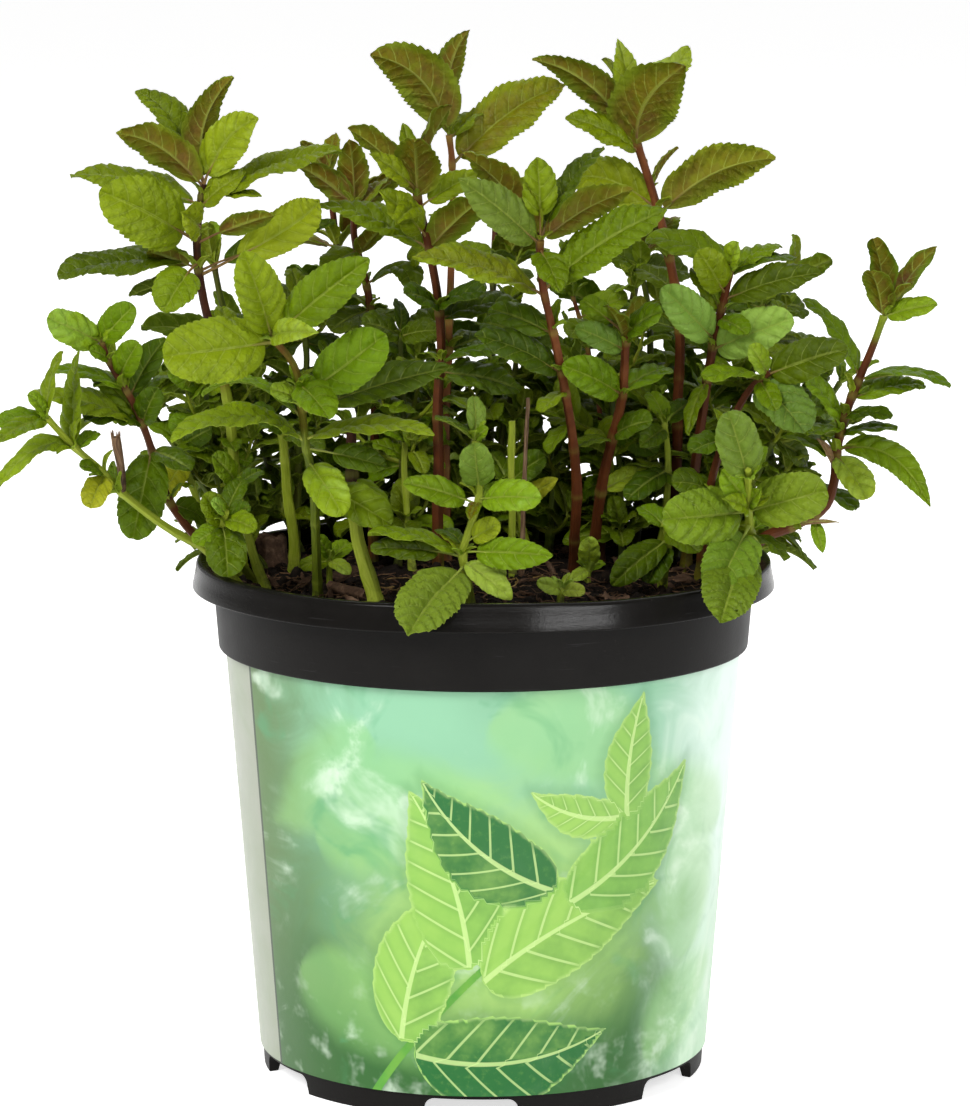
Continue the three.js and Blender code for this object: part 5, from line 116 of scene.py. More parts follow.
  (12.28,-24,188.09,11.49,-21.32,193.79,8.02,-17.1,197.02,0.679,-0.388,0.623,7.13,0.14,0.12,0.55,0,0)]),
 ("shoot_left_bright", "purple", (0.9,1.35), ((-44.01,-58,170.69),(-40.42,-54.83,166.12),(-38.89,-52.08,161.15),(-38.08,-47.34,152.05),(-37.6,-44.38,146.31),(-36.53,-40.2,138.2),(-35.96,-34.3,126.47),(-35.89,-27,110.8)), [(-43.35,-57.42,169.85,-53.43,-65.74,169.46,-66.38,-66.42,167.89,0.35,-0.926,0.14,13.89,0.1,0.12,0.85,0,0),
  (-44.01,-58,170.69,-45.31,-66.21,178.94,-49.36,-68,189.79,0.369,-0.862,-0.348,9.83,0.08,0.12,0.85,0,0),
  (-43.99,-57.98,170.66,-35.08,-65.95,179.29,-23.3,-65.98,188.16,-0.339,-0.94,-0.029,9.77,0.18,0.12,0.85,0,0),
  (-44.01,-58,170.69,-43.04,-71.66,173.91,-33.52,-82,174.6,-0.898,-0.349,0.269,5.82,0.06,0.12,0.85,0,0),
  (-44.01,-58,170.69,-44.32,-60.74,174.61,-43.8,-61,179.37,-0.302,-0.903,-0.305,3.58,0.18,0.12,0.85,0,0),
  (-37.65,-44.69,146.93,-48.46,-51.69,158.82,-65.89,-58.69,149.32,0.184,-0.208,0.961,12.53,0.06,0.12,0.75,0,0.1),
  (-38.09,-47.37,152.11,-49.58,-45.37,165.74,-60.07,-43.37,156.88,0.199,-0.07,0.977,8.76,0.06,0.12,0.55,0,0),
  (-37.72,-45.08,147.68,-24.55,-50.9,153.9,-9.87,-55.08,150.31,-0.149,-0.159,0.976,10.04,0.06,0.12,0.75,0,0.1),
  (-38.8,-51.58,160.2,-36.04,-59.98,160.17,-31.74,-65.58,154.86,-0.248,-0.452,0.857,8.26,0.07,0.12,0.55,0,0),
  (-38.39,-49.12,155.47,-37.73,-53.35,158.07,-35.82,-55.12,162.36,-0.389,-0.762,-0.518,4.79,0.36,0.12,0.55,0,0),
  (-38.52,-49.89,156.95,-30.59,-58.27,163.73,-20.17,-60.53,171.81,-0.372,-0.908,-0.191,11.04,0.37,0.12,0.55,0,0),
  (-38.24,-48.24,153.79,-23.07,-52.44,160.94,-6.09,-52.24,164.13,-0.294,-0.71,0.64,9.17,0.51,0.12,0.22,0,0),
  (-37.09,-42.37,142.41,-33.65,-49.61,139.32,-29.56,-52.37,132.27,-0.109,-0.747,0.656,8.25,0.08,0.12,0.85,0,0),
  (-36.53,-40.2,138.2,-28.41,-46.67,135.43,-19.31,-48.2,129.92,-0.169,-0.861,0.48,8.33,0.31,0.12,0.55,0,0),
  (-37.5,-43.98,145.55,-29.2,-47.42,144.77,-20.54,-48,142.32,-0.109,-0.86,0.499,5.91,0.53,0.12,0.22,0,0),
  (-38.51,-49.83,156.84,-40.88,-52.74,158.56,-44.7,-53.83,159.67,0.603,-0.758,0.248,4.12,0.21,0.12,0.85,0,0)]),
 ("shoot_front_rosette", "green", (0.7,1.15), ((-1.68,-54,148.69),(-1.05,-52.67,142.55),(-0.85,-51.25,135.95),(-3.61,-49.17,126.64),(-4.25,-48.4,123.08),(-3.19,-47.06,116.82),(-2.35,-46,110.8)), [(-3.86,-47.91,120.79,-13.82,-63.34,117.69,-16.33,-79.97,110.61,0.231,-0.375,0.898,12.33,0.08,0.12,0.85,0,0),
  (-4.25,-48.4,123.08,-13.37,-50.76,129.26,-24.51,-52.4,128.65,0.282,-0.1,0.954,8.75,0.08,0.12,0.55,0,0),
  (-4.2,-48.35,122.82,-13.44,-52.06,126.1,-23.89,-52.35,125.43,0.227,-0.637,0.737,7.21,0.28,0.12,0.22,0,0),
  (-1.28,-50.92,134.48,-7.52,-57.01,138.58,-16.75,-58.92,140.48,0.538,-0.748,0.389,6.55,0.18,0.12,0.85,0,0),
  (-0.91,-51.72,138.16,-1.24,-57.22,142.15,-1.88,-58.9,148.72,0.07,-0.828,-0.557,7.42,0.06,0.12,0.5,0,-0.5),
  (-0.95,-51.17,135.59,3.78,-58.26,138.07,12.13,-61.17,137.21,-0.559,-0.647,0.518,7.48,0.1,0.12,0.85,0,0),
  (-4.08,-48.6,123.98,3.84,-56.26,125.66,14.7,-58.6,124.73,-0.443,-0.802,0.401,7.01,0.16,0.12,0.85,0,0),
  (-3.96,-48.03,121.35,0.03,-51.32,120.88,4.87,-52.03,119.16,-0.286,-0.862,0.419,5.18,0.2,0.12,0.95,0,0.35),
  (-3.71,-49.04,126.05,-0.95,-52.82,128.55,3.58,-54,131.03,-0.565,-0.825,0.006,5.12,0.24,0.12,0.8,0,0.9),
  (-1.68,-54,148.69,-1.31,-54.27,153.51,-1.89,-52,157.75,0.339,-0.917,0.21,4.5,0.19,0.12,0.5,0,-0.5),
  (-1.68,-54,148.69,-4.95,-55.24,152.72,-10.06,-56.29,153.86,0.535,-0.052,0.844,5.59,0.08,0.12,0.22,0,0),
  (-1.1,-51.06,135.08,-2.16,-55.49,135.23,-2.73,-59.06,132.45,-0.159,-0.279,0.947,3.24,0.06,0.12,0.5,0.6,0),
  (-1.68,-53.99,148.66,-0.94,-55.9,150.19,1.05,-56.68,151.58,-0.741,-0.667,0.078,2.78,0.06,0.12,0.55,0,0),
  (-3.89,-48.83,125.08,-6.2,-45.16,128.13,-9.2,-40.83,127.49,0.181,-0.172,0.968,5.76,0.1,0.12,0.22,0,0),
  (-4.07,-48.17,122.02,0.92,-53.8,119.96,6.13,-55.82,115.02,-0.111,-0.748,0.655,5.88,0.06,0.12,0.95,0,0.35)]),
 ("shoot_front_right_rosette", "green", (0.7,1.1), ((56.37,-44,140.89),(56.96,-35.05,133.11),(58,-26.08,125.19),(59.28,-20,119.81),(54.78,-9.49,110.8)), [(57.34,-31.74,130.18,49.63,-40.72,130.8,38.16,-43.65,130.08,0.517,-0.835,0.189,12.31,0.13,0.12,0.85,0,0),
  (57.34,-31.78,130.22,64.22,-38.39,133.18,73.84,-38.78,135.83,-0.402,-0.915,0.04,11.25,0.06,0.12,0.85,0,0),
  (56.57,-41.02,138.3,54.96,-46.87,145.25,51.84,-47.02,153.93,0.25,-0.927,-0.28,9.57,0.07,0.12,0.5,0,-0.5),
  (57.13,-33.6,131.83,55.44,-39.96,135.38,50.91,-42.6,140.7,0.572,-0.741,-0.351,6.18,0.06,0.12,0.85,0,0),
  (57.24,-32.67,131.01,57.07,-36.38,133.04,59.29,-38.67,135.81,-0.831,-0.492,-0.26,3.62,0.06,0.12,0.85,0,0),
  (57.41,-31.18,129.69,56.53,-39.82,133.06,50.93,-46.86,135.18,0.927,-0.308,0.215,4.52,0.06,0.12,0.75,0,0.1),
  (57.8,-27.79,126.69,54.47,-41.46,123.68,48.43,-49.79,113.62,0.292,-0.577,0.763,11.73,0.18,0.25,0.85,0,0),
  (58.74,-22.57,122.09,52.66,-53.38,118.49,50.22,-56.58,110.01,0.3,-0.385,0.873,12.46,0.42,0.12,0.55,0,0),
  (58.21,-25.09,124.31,62.62,-28.73,123.54,65.5,-31.67,119.49,0.418,-0.188,0.889,6.8,0.12,0.12,0.22,0,0),
  (56.57,-41.02,138.3,57.4,-38.94,142.78,59.85,-35.09,144.83,-0.471,-0.522,0.711,6.15,0.06,0.12,0.55,0,0),
  (58.02,-25.97,125.08,62.48,-23.18,128.09,67.12,-19.36,127.24,-0.041,-0.259,0.965,6.83,0.06,0.12,0.55,0,0)]),
 ("shoot_far_right", "red_green_top", (0.75,1.2), ((89.5,8,168.22),(86.87,7.31,160.66),(83.12,6.51,152.22),(80.26,5.75,143.98),(78.95,5.16,137.3),(78.54,4.68,131.72),(76.78,4.17,126.14),(72.75,3.75,123.26),(67.37,3.24,120.84),(62.22,2.75,118.43),(55.57,1.92,110.8)), [(89.5,8,168.22,89.95,8.4,177.78,86.76,5,186.14,0.669,0.709,0.221,7.65,0.19,0.12,0.5,0.6,0),
  (89.5,8,168.22,94.05,11.81,176.63,101.38,11,183.82,-0.499,0.838,0.219,5.88,0.24,0.12,0.4,1,0),
  (89.41,7.98,167.96,88.64,6.28,175.02,85.85,0.98,179.19,0.402,0.714,0.573,7.28,0.06,0.12,0.5,0.6,0),
  (89.46,7.99,168.1,94.21,3.88,170.88,101,2.99,171.43,-0.462,-0.732,0.501,5.72,0.07,0.12,0.75,0,0.1),
  (84.05,6.7,154.32,80.62,7.27,165.46,71.57,10.7,171.97,0.717,-0.369,0.591,9.61,0.06,0.12,0.55,0,0),
  (80.05,5.66,142.91,78.21,2.58,150.28,71.79,1.66,155.28,0.819,-0.39,0.421,8.84,0.06,0.12,0.55,0,0),
  (83.89,6.67,153.95,93.99,4.67,158.53,104.38,2.67,153.14,0.022,-0.09,0.996,9.27,0.06,0.12,0.55,0,0),
  (82.29,6.29,149.84,90.65,7.18,153.97,99.35,10.29,152.43,-0.057,-0.36,0.931,8.1,0.06,0.12,0.55,0,0),
  (80.81,5.9,145.58,85.29,2.11,148.14,90.81,-0.74,146.63,-0.243,-0.216,0.946,7.74,0.06,0.12,0.22,0,0),
  (79.8,5.54,141.63,85.71,3.59,144.77,92.49,2.54,143.51,-0.19,-0.2,0.961,6.57,0.06,0.12,0.22,0,0),
  (79.18,5.26,138.45,92,1.76,143.13,99.7,-1.74,126.35,0.09,-0.788,0.609,7.26,0.06,0.12,0.55,0,0),
  (78.97,5.17,137.38,82.54,-0.5,134.67,85.55,-2.83,128.54,0.119,-0.69,0.714,7.78,0.06,0.12,0.95,0,0.35),
  (80.03,5.65,142.83,76.08,2.39,144.58,71.79,-0.35,142.77,0.096,-0.142,0.985,5.96,0.06,0.12,0.55,0,0),
  (89.5,8,168.22,91.61,6.3,173.29,95.15,2.93,176.33,-0.477,0.557,0.68,5.24,0.31,0.12,0.5,0.6,0),
  (69.02,3.4,121.59,73.58,-0.07,123.52,79.58,-0.6,123.02,-0.353,-0.718,0.599,1.29,0.06,0.12,0.9,0,2),
  (73.8,3.86,124.01,74.75,-0.36,121.08,75.75,-2.14,116.27,-0.01,-0.792,0.611,3.19,0.19,0.12,0.85,0,0),
  (78.71,4.87,133.97,77.97,2.58,138.25,74.41,1.87,141.57,0.833,-0.474,0.284,3.34,0.06,0.12,0.9,0,2)]),
 ("shoot_right_upper", "purple", (0.8,1.25), ((54.79,-4,182.32),(53.62,-2.33,175.09),(51.2,0.31,163.7),(49.25,3.43,149.91),(47.35,7.57,131.3),(45.9,12,110.8)), [(54.43,-3.48,180.06,45.96,-1.33,186.55,35.87,2.71,186.13,0.221,-0.26,0.94,13.02,0.06,0.12,0.55,0,0),
  (53.42,-2.11,174.14,51.41,-7.89,178.67,47.02,-9.75,184.62,0.489,-0.82,-0.299,7.9,0.13,0.12,0.55,0,0),
  (54.17,-3.1,178.44,59.12,1.05,183.93,65.58,6.55,184,-0.261,-0.231,0.937,9.98,0.06,0.12,0.55,0,0),
  (54.34,-3.36,179.54,53.89,-6.71,182.51,55.83,-8.32,186.24,-0.788,-0.565,-0.243,5.13,0.06,0.12,0.85,0,0),
  (54.17,-3.1,178.44,61.5,-0.99,182.94,69.36,2.9,181.67,-0.166,-0.108,0.98,9.49,0.06,0.12,0.22,0,0),
  (53.14,-1.81,172.83,62.66,-7.05,178.3,74.72,-5.81,179.41,-0.308,-0.79,0.53,8.24,0.06,0.12,0.22,0,0),
  (51.23,0.29,163.8,46.83,-7.34,169.39,39.24,-8.71,176.39,0.448,-0.872,-0.197,9.03,0.06,0.12,0.5,0,-0.5),
  (50.89,0.82,161.46,57.69,-6.89,166.02,68.29,-8.18,169.51,-0.506,-0.851,0.142,10.06,0.06,0.12,0.5,0,-0.5),
  (52.57,-1.18,170.14,50.32,-0.73,176.05,46.33,2.82,179.46,0.403,-0.712,0.575,6.99,0.06,0.12,0.55,0,0),
  (52.28,-0.86,168.75,54.63,-5.79,168.87,58.18,-8.86,166.06,-0.327,-0.509,0.796,5.58,0.06,0.12,0.55,0,0),
  (49.88,2.42,154.38,45.89,-2.81,150.25,45.32,-5.58,143.03,-0.652,-0.471,0.594,5.58,0.06,0.12,0.55,0,0)]),
 ("shoot_right_middle", "purple", (0.75,1.1), ((62.77,-14,158.28),(58.13,-11.8,153.6),(53.17,-7.82,142.44),(49.98,-3.22,128.37),(48.58,2,110.8)), [(61.98,-13.63,157.48,69.37,-19.16,161.92,79.38,-18.63,164.08,-0.374,-0.868,0.328,9.27,0.06,0.12,0.22,0,0),
  (61.21,-13.26,156.71,54.87,-16.93,159.83,47.83,-19.99,157.68,0.127,-0.111,0.986,9.08,0.06,0.12,0.55,0,0),
  (60.25,-12.8,155.73,64.94,-20.34,153.23,70.09,-23.68,146.33,-0.072,-0.688,0.722,11.24,0.06,0.12,0.5,0,-0.5),
  (59.15,-12.28,154.62,67.99,-9.58,151.96,72.74,-5.3,144.77,0.649,-0.25,0.719,10.33,0.06,0.12,0.55,0,0),
  (60.79,-13.06,156.29,61.88,-18.68,154.91,63.7,-22.27,150.81,-0.227,-0.55,0.804,5.35,0.06,0.12,0.55,0,0),
  (62.3,-13.78,157.81,61.21,-17.17,161.11,58.08,-18.2,164.69,0.65,-0.755,-0.086,5.09,0.06,0.12,0.85,0,0),
  (53.17,-7.82,142.44,50.03,-12.9,143.19,45.32,-15.82,140.87,0.387,-0.528,0.756,6.2,0.06,0.12,0.22,0,0),
  (53.42,-8.02,143,56.49,-12.19,141.74,59.01,-14.37,137.57,0.157,-0.558,0.815,6.57,0.06,0.12,0.22,0,0),
  (50.53,-4.01,130.79,47.33,-8.53,133.45,41.63,-10.82,133.51,0.589,-0.525,0.614,7.04,0.06,0.12,0.22,0,0)]),
 ("shoot_right_inner", "red", (0.9,1.25), ((31.36,-10,165.96),(30.71,-4.99,152.08),(28.65,-1.14,141.53),(26.79,2.27,132.06),(25.38,6.48,120.11),(24.6,10,110.8)), [(30.71,-5.01,152.14,26.05,-13.09,156.62,17.27,-16.17,160.04,0.676,-0.727,0.122,8.52,0.06,0.12,0.55,0,0),
  (31.2,-8.73,162.45,26.58,-12.73,165.64,20.11,-12.73,168.02,0.413,-0.893,0.18,5.96,0.06,0.12,0.5,0,-0.5),
  (31.36,-10,165.96,33.5,-14.42,170.05,38.94,-17,172.21,-0.777,-0.44,0.45,7.24,0.06,0.12,0.55,0,0),
  (31.25,-9.16,163.63,30.84,-11.7,169.61,27.43,-16.1,172.99,0.685,0.423,0.593,7.17,0.06,0.12,0.5,0.6,0),
  (31.29,-9.43,164.38,31.54,-4.94,169.01,35.78,-1.91,172.83,-0.922,0.339,0.188,7.77,0.06,0.12,0.5,0.6,0),
  (31.36,-10,165.96,26.6,-10.03,170.42,21.75,-7,173.58,0.021,-0.921,0.389,5.04,0.42,0.12,0.55,0,0),
  (28.89,-1.59,142.75,31.45,-6.66,146,37.19,-9.59,147.12,-0.725,-0.487,0.487,6.99,0.06,0.12,0.22,0,0),
  (28.65,-1.14,141.53,24.48,-3.4,142.95,20.31,-4.85,140.61,-0.039,-0.157,0.987,6.55,0.06,0.12,0.22,0,0),
  (26.5,3.13,129.62,32.2,3.25,132.87,37.45,7.13,133.63,0.101,-0.829,0.55,5.25,0.06,0.12,0.95,0,0.35),
  (30.76,-5.43,153.29,35.91,-2.46,157.37,41.14,2.48,157.19,-0.021,-0.42,0.907,8.17,0.06,0.12,0.55,0,0)]),
 ("shoot_left_outer", "purple", (0.75,1.15), ((-82.94,-20,165.55),(-80.73,-18.71,159.72),(-76.4,-16.88,152.03),(-73.96,-15.48,145.68),(-71.96,-14.03,138.85),(-67.86,-11.56,127.38),(-55.08,-7.62,110.8)), [(-82.94,-20,165.55,-87.24,-25.04,168.8,-93.99,-26,171.65,0.512,-0.854,0.087,8.01,0.07,0.12,0.85,0,0),
  (-82.94,-20,165.55,-80.02,-24.01,169.66,-75.34,-24.29,174.06,-0.43,-0.9,-0.07,6.8,0.06,0.12,0.55,0,0),
  (-81.51,-19.16,161.78,-82.23,-22.14,163.48,-84.98,-24.16,164.28,0.84,-0.398,0.369,3.66,0.06,0.12,0.55,0,0),
  (-79.31,-18.11,157.19,-77.82,-22.74,160.97,-74.58,-24.16,166.02,-0.449,-0.831,-0.329,6.25,0.11,0.12,0.55,0,0),
  (-82.91,-19.98,165.47,-82.61,-21.56,168.08,-81.18,-21.24,171,-0.494,-0.869,-0.044,3.54,0.06,0.12,0.85,0,0),
  (-77.98,-17.54,154.83,-85.23,-19.97,160.17,-94.39,-21.54,159.4,0.295,-0.13,0.946,7.75,0.06,0.12,0.55,0,0),
  (-75.01,-16.08,148.42,-79.68,-15.98,155.18,-86.11,-12.08,158.49,0.328,-0.697,0.638,6.44,0.07,0.12,0.55,0,0),
  (-74.5,-15.79,147.08,-79.63,-20.56,150.36,-86.53,-23.79,148.97,0.34,-0.301,0.891,8.8,0.06,0.12,0.22,0,0),
  (-74.5,-15.79,147.08,-73.55,-20.41,150.73,-70.55,-21.79,155.71,-0.5,-0.802,-0.329,6.08,0.06,0.12,0.22,0,0),
  (-76.16,-16.74,151.4,-73.69,-14.28,155.75,-69.57,-10.74,157,-0.447,-0.297,0.844,6.48,0.06,0.12,0.55,0,0),
  (-77.08,-17.16,153.24,-73.99,-17.34,160.73,-69.3,-13.16,165.88,-0.307,-0.837,0.454,6.59,0.07,0.12,0.22,0,0),
  (-72.62,-14.51,141.1,-74.38,-21.35,133.24,-76.48,-20.95,122.14,0.019,-0.948,0.318,10.61,0.06,0.12,0.22,0,0),
  (-74.2,-15.62,146.31,-84.37,-21.79,154.7,-98.41,-25.62,154.44,0.397,-0.239,0.886,10.82,0.06,0.12,0.75,0,0.1),
  (-72.62,-14.51,141.1,-68.04,-18.23,140.91,-63.49,-19.69,137.44,0.007,-0.569,0.822,6.9,0.06,0.12,0.22,0,0),
  (-68.3,-11.83,128.61,-63.5,-9.69,127.3,-61.42,-5.72,124.26,0.733,-0.491,0.471,6.34,0.06,0.12,0.22,0,0)]),
 ("shoot_far_left", "green", (0.6,1), ((-93.16,-38,151.26),(-87.63,-34.01,144.25),(-82.61,-30.77,139.01),(-78.18,-27.67,133.54),(-70.37,-22.96,126.24),(-64.1,-19.56,121.74),(-60.52,-17.64,119.21),(-53.95,-13.44,110.8)), [(-93.16,-38,151.26,-93.7,-36.88,159.2,-90.2,-33,165.3,-0.771,-0.531,0.352,5.59,0.07,0.12,0.55,0,0),
  (-87.92,-34.22,144.61,-88.76,-30.22,153.74,-87.61,-26.22,164.52,-0.81,-0.54,0.23,8.29,0.06,0.12,0.55,0,0),
  (-93.16,-38,151.26,-97.43,-42.19,152.58,-102.99,-44,150.76,0.31,-0.571,0.761,6.17,0.06,0.12,0.55,0,0),
  (-92.96,-37.86,151.01,-97.94,-46.37,152.09,-102.84,-53.83,147.7,0.188,-0.309,0.932,6.02,0.06,0.12,0.55,0,0),
  (-87.55,-33.95,144.16,-95.17,-36.95,149.65,-104.98,-39.95,135.14,-0.303,-0.411,0.86,8.03,0.06,0.12,0.75,0,0.1),
  (-82.02,-30.36,138.29,-83.19,-33.75,140.38,-86.4,-36.36,140.68,0.725,-0.278,0.631,4.15,0.06,0.12,0.55,0,0),
  (-81.63,-30.08,137.8,-82.92,-35.22,136.33,-84.23,-38.08,131.83,0.001,-0.598,0.801,6.31,0.06,0.12,0.8,0,0.9),
  (-87.32,-33.81,143.92,-85.41,-32.08,146.63,-83.06,-29.21,147.07,-0.168,-0.447,0.879,4.75,0.06,0.12,0.55,0,0),
  (-78.29,-27.75,133.68,-77.67,-30.69,139.6,-78.93,-29.75,146.06,0.432,-0.894,-0.122,1.62,0.06,0.12,0.9,0,2),
  (-93.06,-37.93,151.15,-93.76,-40.27,154.39,-96.79,-41.39,156.85,0.847,-0.45,0.281,4.68,0.06,0.12,0.85,0,0)]),
 ("shoot_left_back", "purple", (0.7,1.15), ((-28.91,24,192.81),(-29.17,23.81,184.91),(-26.71,23.55,174.73),(-25.61,23.38,167.93),(-24.54,22.88,147.45),(-25.12,22,110.8)), [(-28.94,23.97,191.7,-29.16,25.72,199.69,-29.91,21.97,206.92,0.1,0.986,0.136,7.4,0.06,0.12,0.4,1,0),
  (-28.95,23.97,191.66,-34,27.36,197.27,-41.89,26,200.87,0.42,0.809,0.412,8.37,0.06,0.12,0.4,1,0),
  (-29.02,23.92,189.5,-26.26,26.37,194.99,-21.58,30.44,197.29,-0.471,-0.401,0.786,7.33,0.19,0.12,0.5,0.6,0),
  (-28.09,23.69,180.44,-25.66,21.46,185.64,-22,16.89,187.55,-0.299,0.549,0.781,7.03,0.06,0.12,0.5,0.6,0),
  (-26.53,23.52,173.59,-16.17,19.53,182.48,-15.95,15.54,172.82,-0.058,-0.172,0.983,8.25,0.06,0.12,0.22,0,0),
  (-28.34,23.72,181.5,-32.07,18.59,181.24,-36.16,15.72,177.31,0.082,-0.524,0.847,7.48,0.06,0.12,0.55,0,0),
  (-25.61,23.38,167.97,-29.73,18.21,167.97,-34.42,15.38,164.26,0.129,-0.53,0.838,7.77,0.06,0.12,0.22,0,0),
  (-25.37,23.27,163.38,-21.23,18.44,163.14,-16.89,15.89,159.23,-0.047,-0.531,0.846,7.63,0.06,0.12,0.22,0,0),
  (-24.78,23,152.01,-29.71,25.49,154.3,-33.82,29.66,153.04,-0.21,-0.421,0.882,6.88,0.06,0.12,0.22,0,0)]),
 ("thick_stem_front", "green_dark_top", (1,1.75), ((-28.36,-33,148.44),(-28.13,-35.26,138.57),(-27.03,-37.92,127.03),(-25.52,-39.41,120.75),(-22.5,-42,110.8)), [(-28.07,-35.41,137.94,-23.76,-40.03,135.43,-20.3,-41.41,129.74,0.189,-0.699,0.69,5.47,0.06,0.12,0.55,0,0)]),
 ("thick_stem_left", "green", (1.1,1.45), ((-44.1,-8,145.13),(-43.55,-2.6,130.52),(-42.43,0.91,120.98),(-42.45,5,110.8)), [(-44.06,-7.65,144.18,-46.06,-11.71,147.72,-51.04,-13.65,149.86,0.759,-0.541,0.361,6.37,0.06,0.12,0.22,0,0),
  (-44.03,-7.3,143.24,-39.52,-11.28,143.89,-35.31,-14.16,140.64,0.072,-0.272,0.96,7.09,0.06,0.12,0.22,0,0)]),
 ("forked_stem_left", "green", (0.9,1.3), ((-54,-22,136.01),(-52.03,-19.44,126.36),(-50.05,-16.99,117.11),(-48,-15,110.8)), [(-53.8,-21.74,135.04,-54.7,-25.77,138.41,-58.4,-27.5,141.83,0.775,-0.632,-0.011,6.06,0.06,0.12,0.55,0,0),
  (-51.84,-19.19,125.44,-54.35,-22.24,126.59,-57.16,-23.54,125.04,0.218,-0.351,0.91,5.35,0.06,0.12,0.22,0,0),
  (-53.61,-21.5,134.12,-51.13,-19.71,136.77,-48.36,-16.77,137.02,-0.109,-0.428,0.897,4.89,0.06,0.12,0.22,0,0)]),
 ("shoot_left_low", "green", (0.8,1), ((-55.56,-30,129.74),(-56.74,-25.21,125.05),(-54.18,-17.54,118.08),(-50.78,-8,110.8)), [(-56.4,-26.62,126.43,-55.46,-32.82,123.03,-54.95,-35.36,116.38,0.089,-0.745,0.661,9.03,0.06,0.12,0.22,0,0),
  (-56.53,-26.06,125.88,-58.97,-30.04,125.5,-62.42,-32.06,123.06,0.338,-0.651,0.679,5.2,0.09,0.12,0.55,0,0),
  (-56.38,-26.67,126.48,-57.21,-30.83,129.76,-60.13,-32.3,134.01,0.592,-0.759,-0.273,5.81,0.06,0.12,0.55,0,0),
  (-56.35,-26.79,126.59,-54.28,-29.95,129.23,-50.3,-31.14,131.22,-0.678,-0.698,0.23,4.52,0.2,0.12,0.22,0,0),
  (-55.78,-29.1,128.85,-54.18,-28.5,133.51,-52.09,-25.1,136.46,-0.152,-0.843,0.517,5.08,0.06,0.12,0.22,0,0),
  (-55.69,-29.49,129.24,-56.2,-31.62,131.17,-58.4,-32.71,132.76,0.838,-0.519,0.17,3.33,0.06,0.12,0.85,0,0),
  (-56.06,-27.97,127.75,-52.79,-32.62,128.8,-48.9,-36.32,126.85,-0.502,-0.506,0.701,5.23,0.06,0.12,0.55,0,0)]),
 ("shoot_right_low", "green", (0.7,0.95), ((39.64,-18,125.26),(40.63,-15.96,120.28),(39.53,-12,110.8)), [(40.38,-16.46,121.51,34.42,-23.05,119.06,27.95,-24.83,112.74,0.084,-0.778,0.623,7.31,0.06,0.12,0.22,0,0),
  (40.6,-15.86,120.04,37.93,-20.63,117.96,35.93,-22.83,112.93,-0.168,-0.647,0.744,7.22,0.06,0.12,0.22,0,0),
  (39.91,-17.44,123.88,43.39,-21.65,123.33,47.3,-23.44,119.92,-0.116,-0.643,0.757,6.59,0.06,0.12,0.22,0,0),
  (39.73,-17.81,124.8,37.04,-16.15,127.76,34.55,-12.67,128.44,-0.069,-0.622,0.78,5.31,0.06,0.12,0.55,0,0),
  (39.73,-17.81,124.8,41.93,-16,128.1,44.67,-12.69,128.89,-0.182,-0.501,0.846,5.29,0.06,0.12,0.55,0,0)]),
 ("shoot_thin_red", "red", (0.55,0.85), ((18.87,28,176.57),(22.06,26.56,164.85),(23.88,25.79,158.54),(26.63,24.11,144.55),(27.35,20,110.8)), [(19.18,27.86,175.41,23.41,30.41,179.78,27.68,35.39,180.44,-0.01,-0.548,0.837,7.8,0.06,0.12,0.55,0,0),
  (21.83,26.67,165.69,26.21,22.92,169.4,32.82,22.67,171.19,-0.488,-0.766,0.418,7.42,0.06,0.12,0.75,0,0.1),
  (20.39,27.32,170.98,16.82,29.69,174.47,13.03,33.73,174.64,0.06,-0.442,0.895,6.62,0.06,0.12,0.22,0,0),
  (23.98,25.73,158.02,19.31,28.02,156.25,17.63,31.93,152.77,-0.786,-0.427,0.447,6.41,0.06,0.12,0.22,0,0),
  (18.98,27.95,176.15,19.79,30.11,180.22,18.04,33.51,182.91,0.81,-0.393,0.436,5.74,0.06,0.12,0.55,0,0)]),
 ("shoot_left_short", "green", (0.7,1), ((-67.93,8,140.3),(-65.78,8,131.24),(-62.28,8,122.15),(-55.08,7.61,110.8)), [(-66.87,8,135.82,-69.24,1.42,133.66,-71.84,-2,127.74,0.048,-0.642,0.765,6.71,0.06,0.12,0.8,0,0.9),
  (-65.15,8,129.59,-68.21,4.48,132.05,-72.51,1.58,131.04,0.33,-0.169,0.929,6.64,0.06,0.12,0.55,0,0),
  (-67.6,8,138.91,-61.82,4.93,138.97,-56.54,4,135.2,0.115,-0.486,0.867,6.31,0.06,0.12,0.55,0,0),
  (-67.73,8,139.44,-71.16,10.33,142.93,-75.07,14.09,143.11,0.131,-0.391,0.911,6.3,0.06,0.12,0.55,0,0),
  (-67.6,8,138.91,-65.23,3.64,141.5,-60.37,2.09,143.79,-0.662,-0.746,0.078,6.11,0.06,0.12,0.22,0,0),
  (-67.81,8,139.82,-68,9.56,143.83,-69.11,13.14,145.96,0.32,-0.692,0.647,5.31,0.06,0.12,0.55,0,0)]),
 ("shoot_right_short", "green", (0.7,1), ((40.38,4,145.79),(41.41,5.63,136.1),(40.69,7.96,122.16),(39.05,10,110.8)), [(40.62,4.39,143.5,38.8,-1.67,143.61,34.72,-5.61,140.8,0.529,-0.498,0.688,5.22,0.06,0.12,0.22,0,0),
  (40.53,4.23,144.42,43.52,6.08,147.86,46.43,9.96,148.63,0.024,-0.608,0.794,5.92,0.06,0.12,0.22,0,0),
  (41.29,6.02,133.79,36.7,0.49,132.91,31.81,-1.98,128.18,0.061,-0.62,0.782,6.75,0.06,0.12,0.22,0,0),
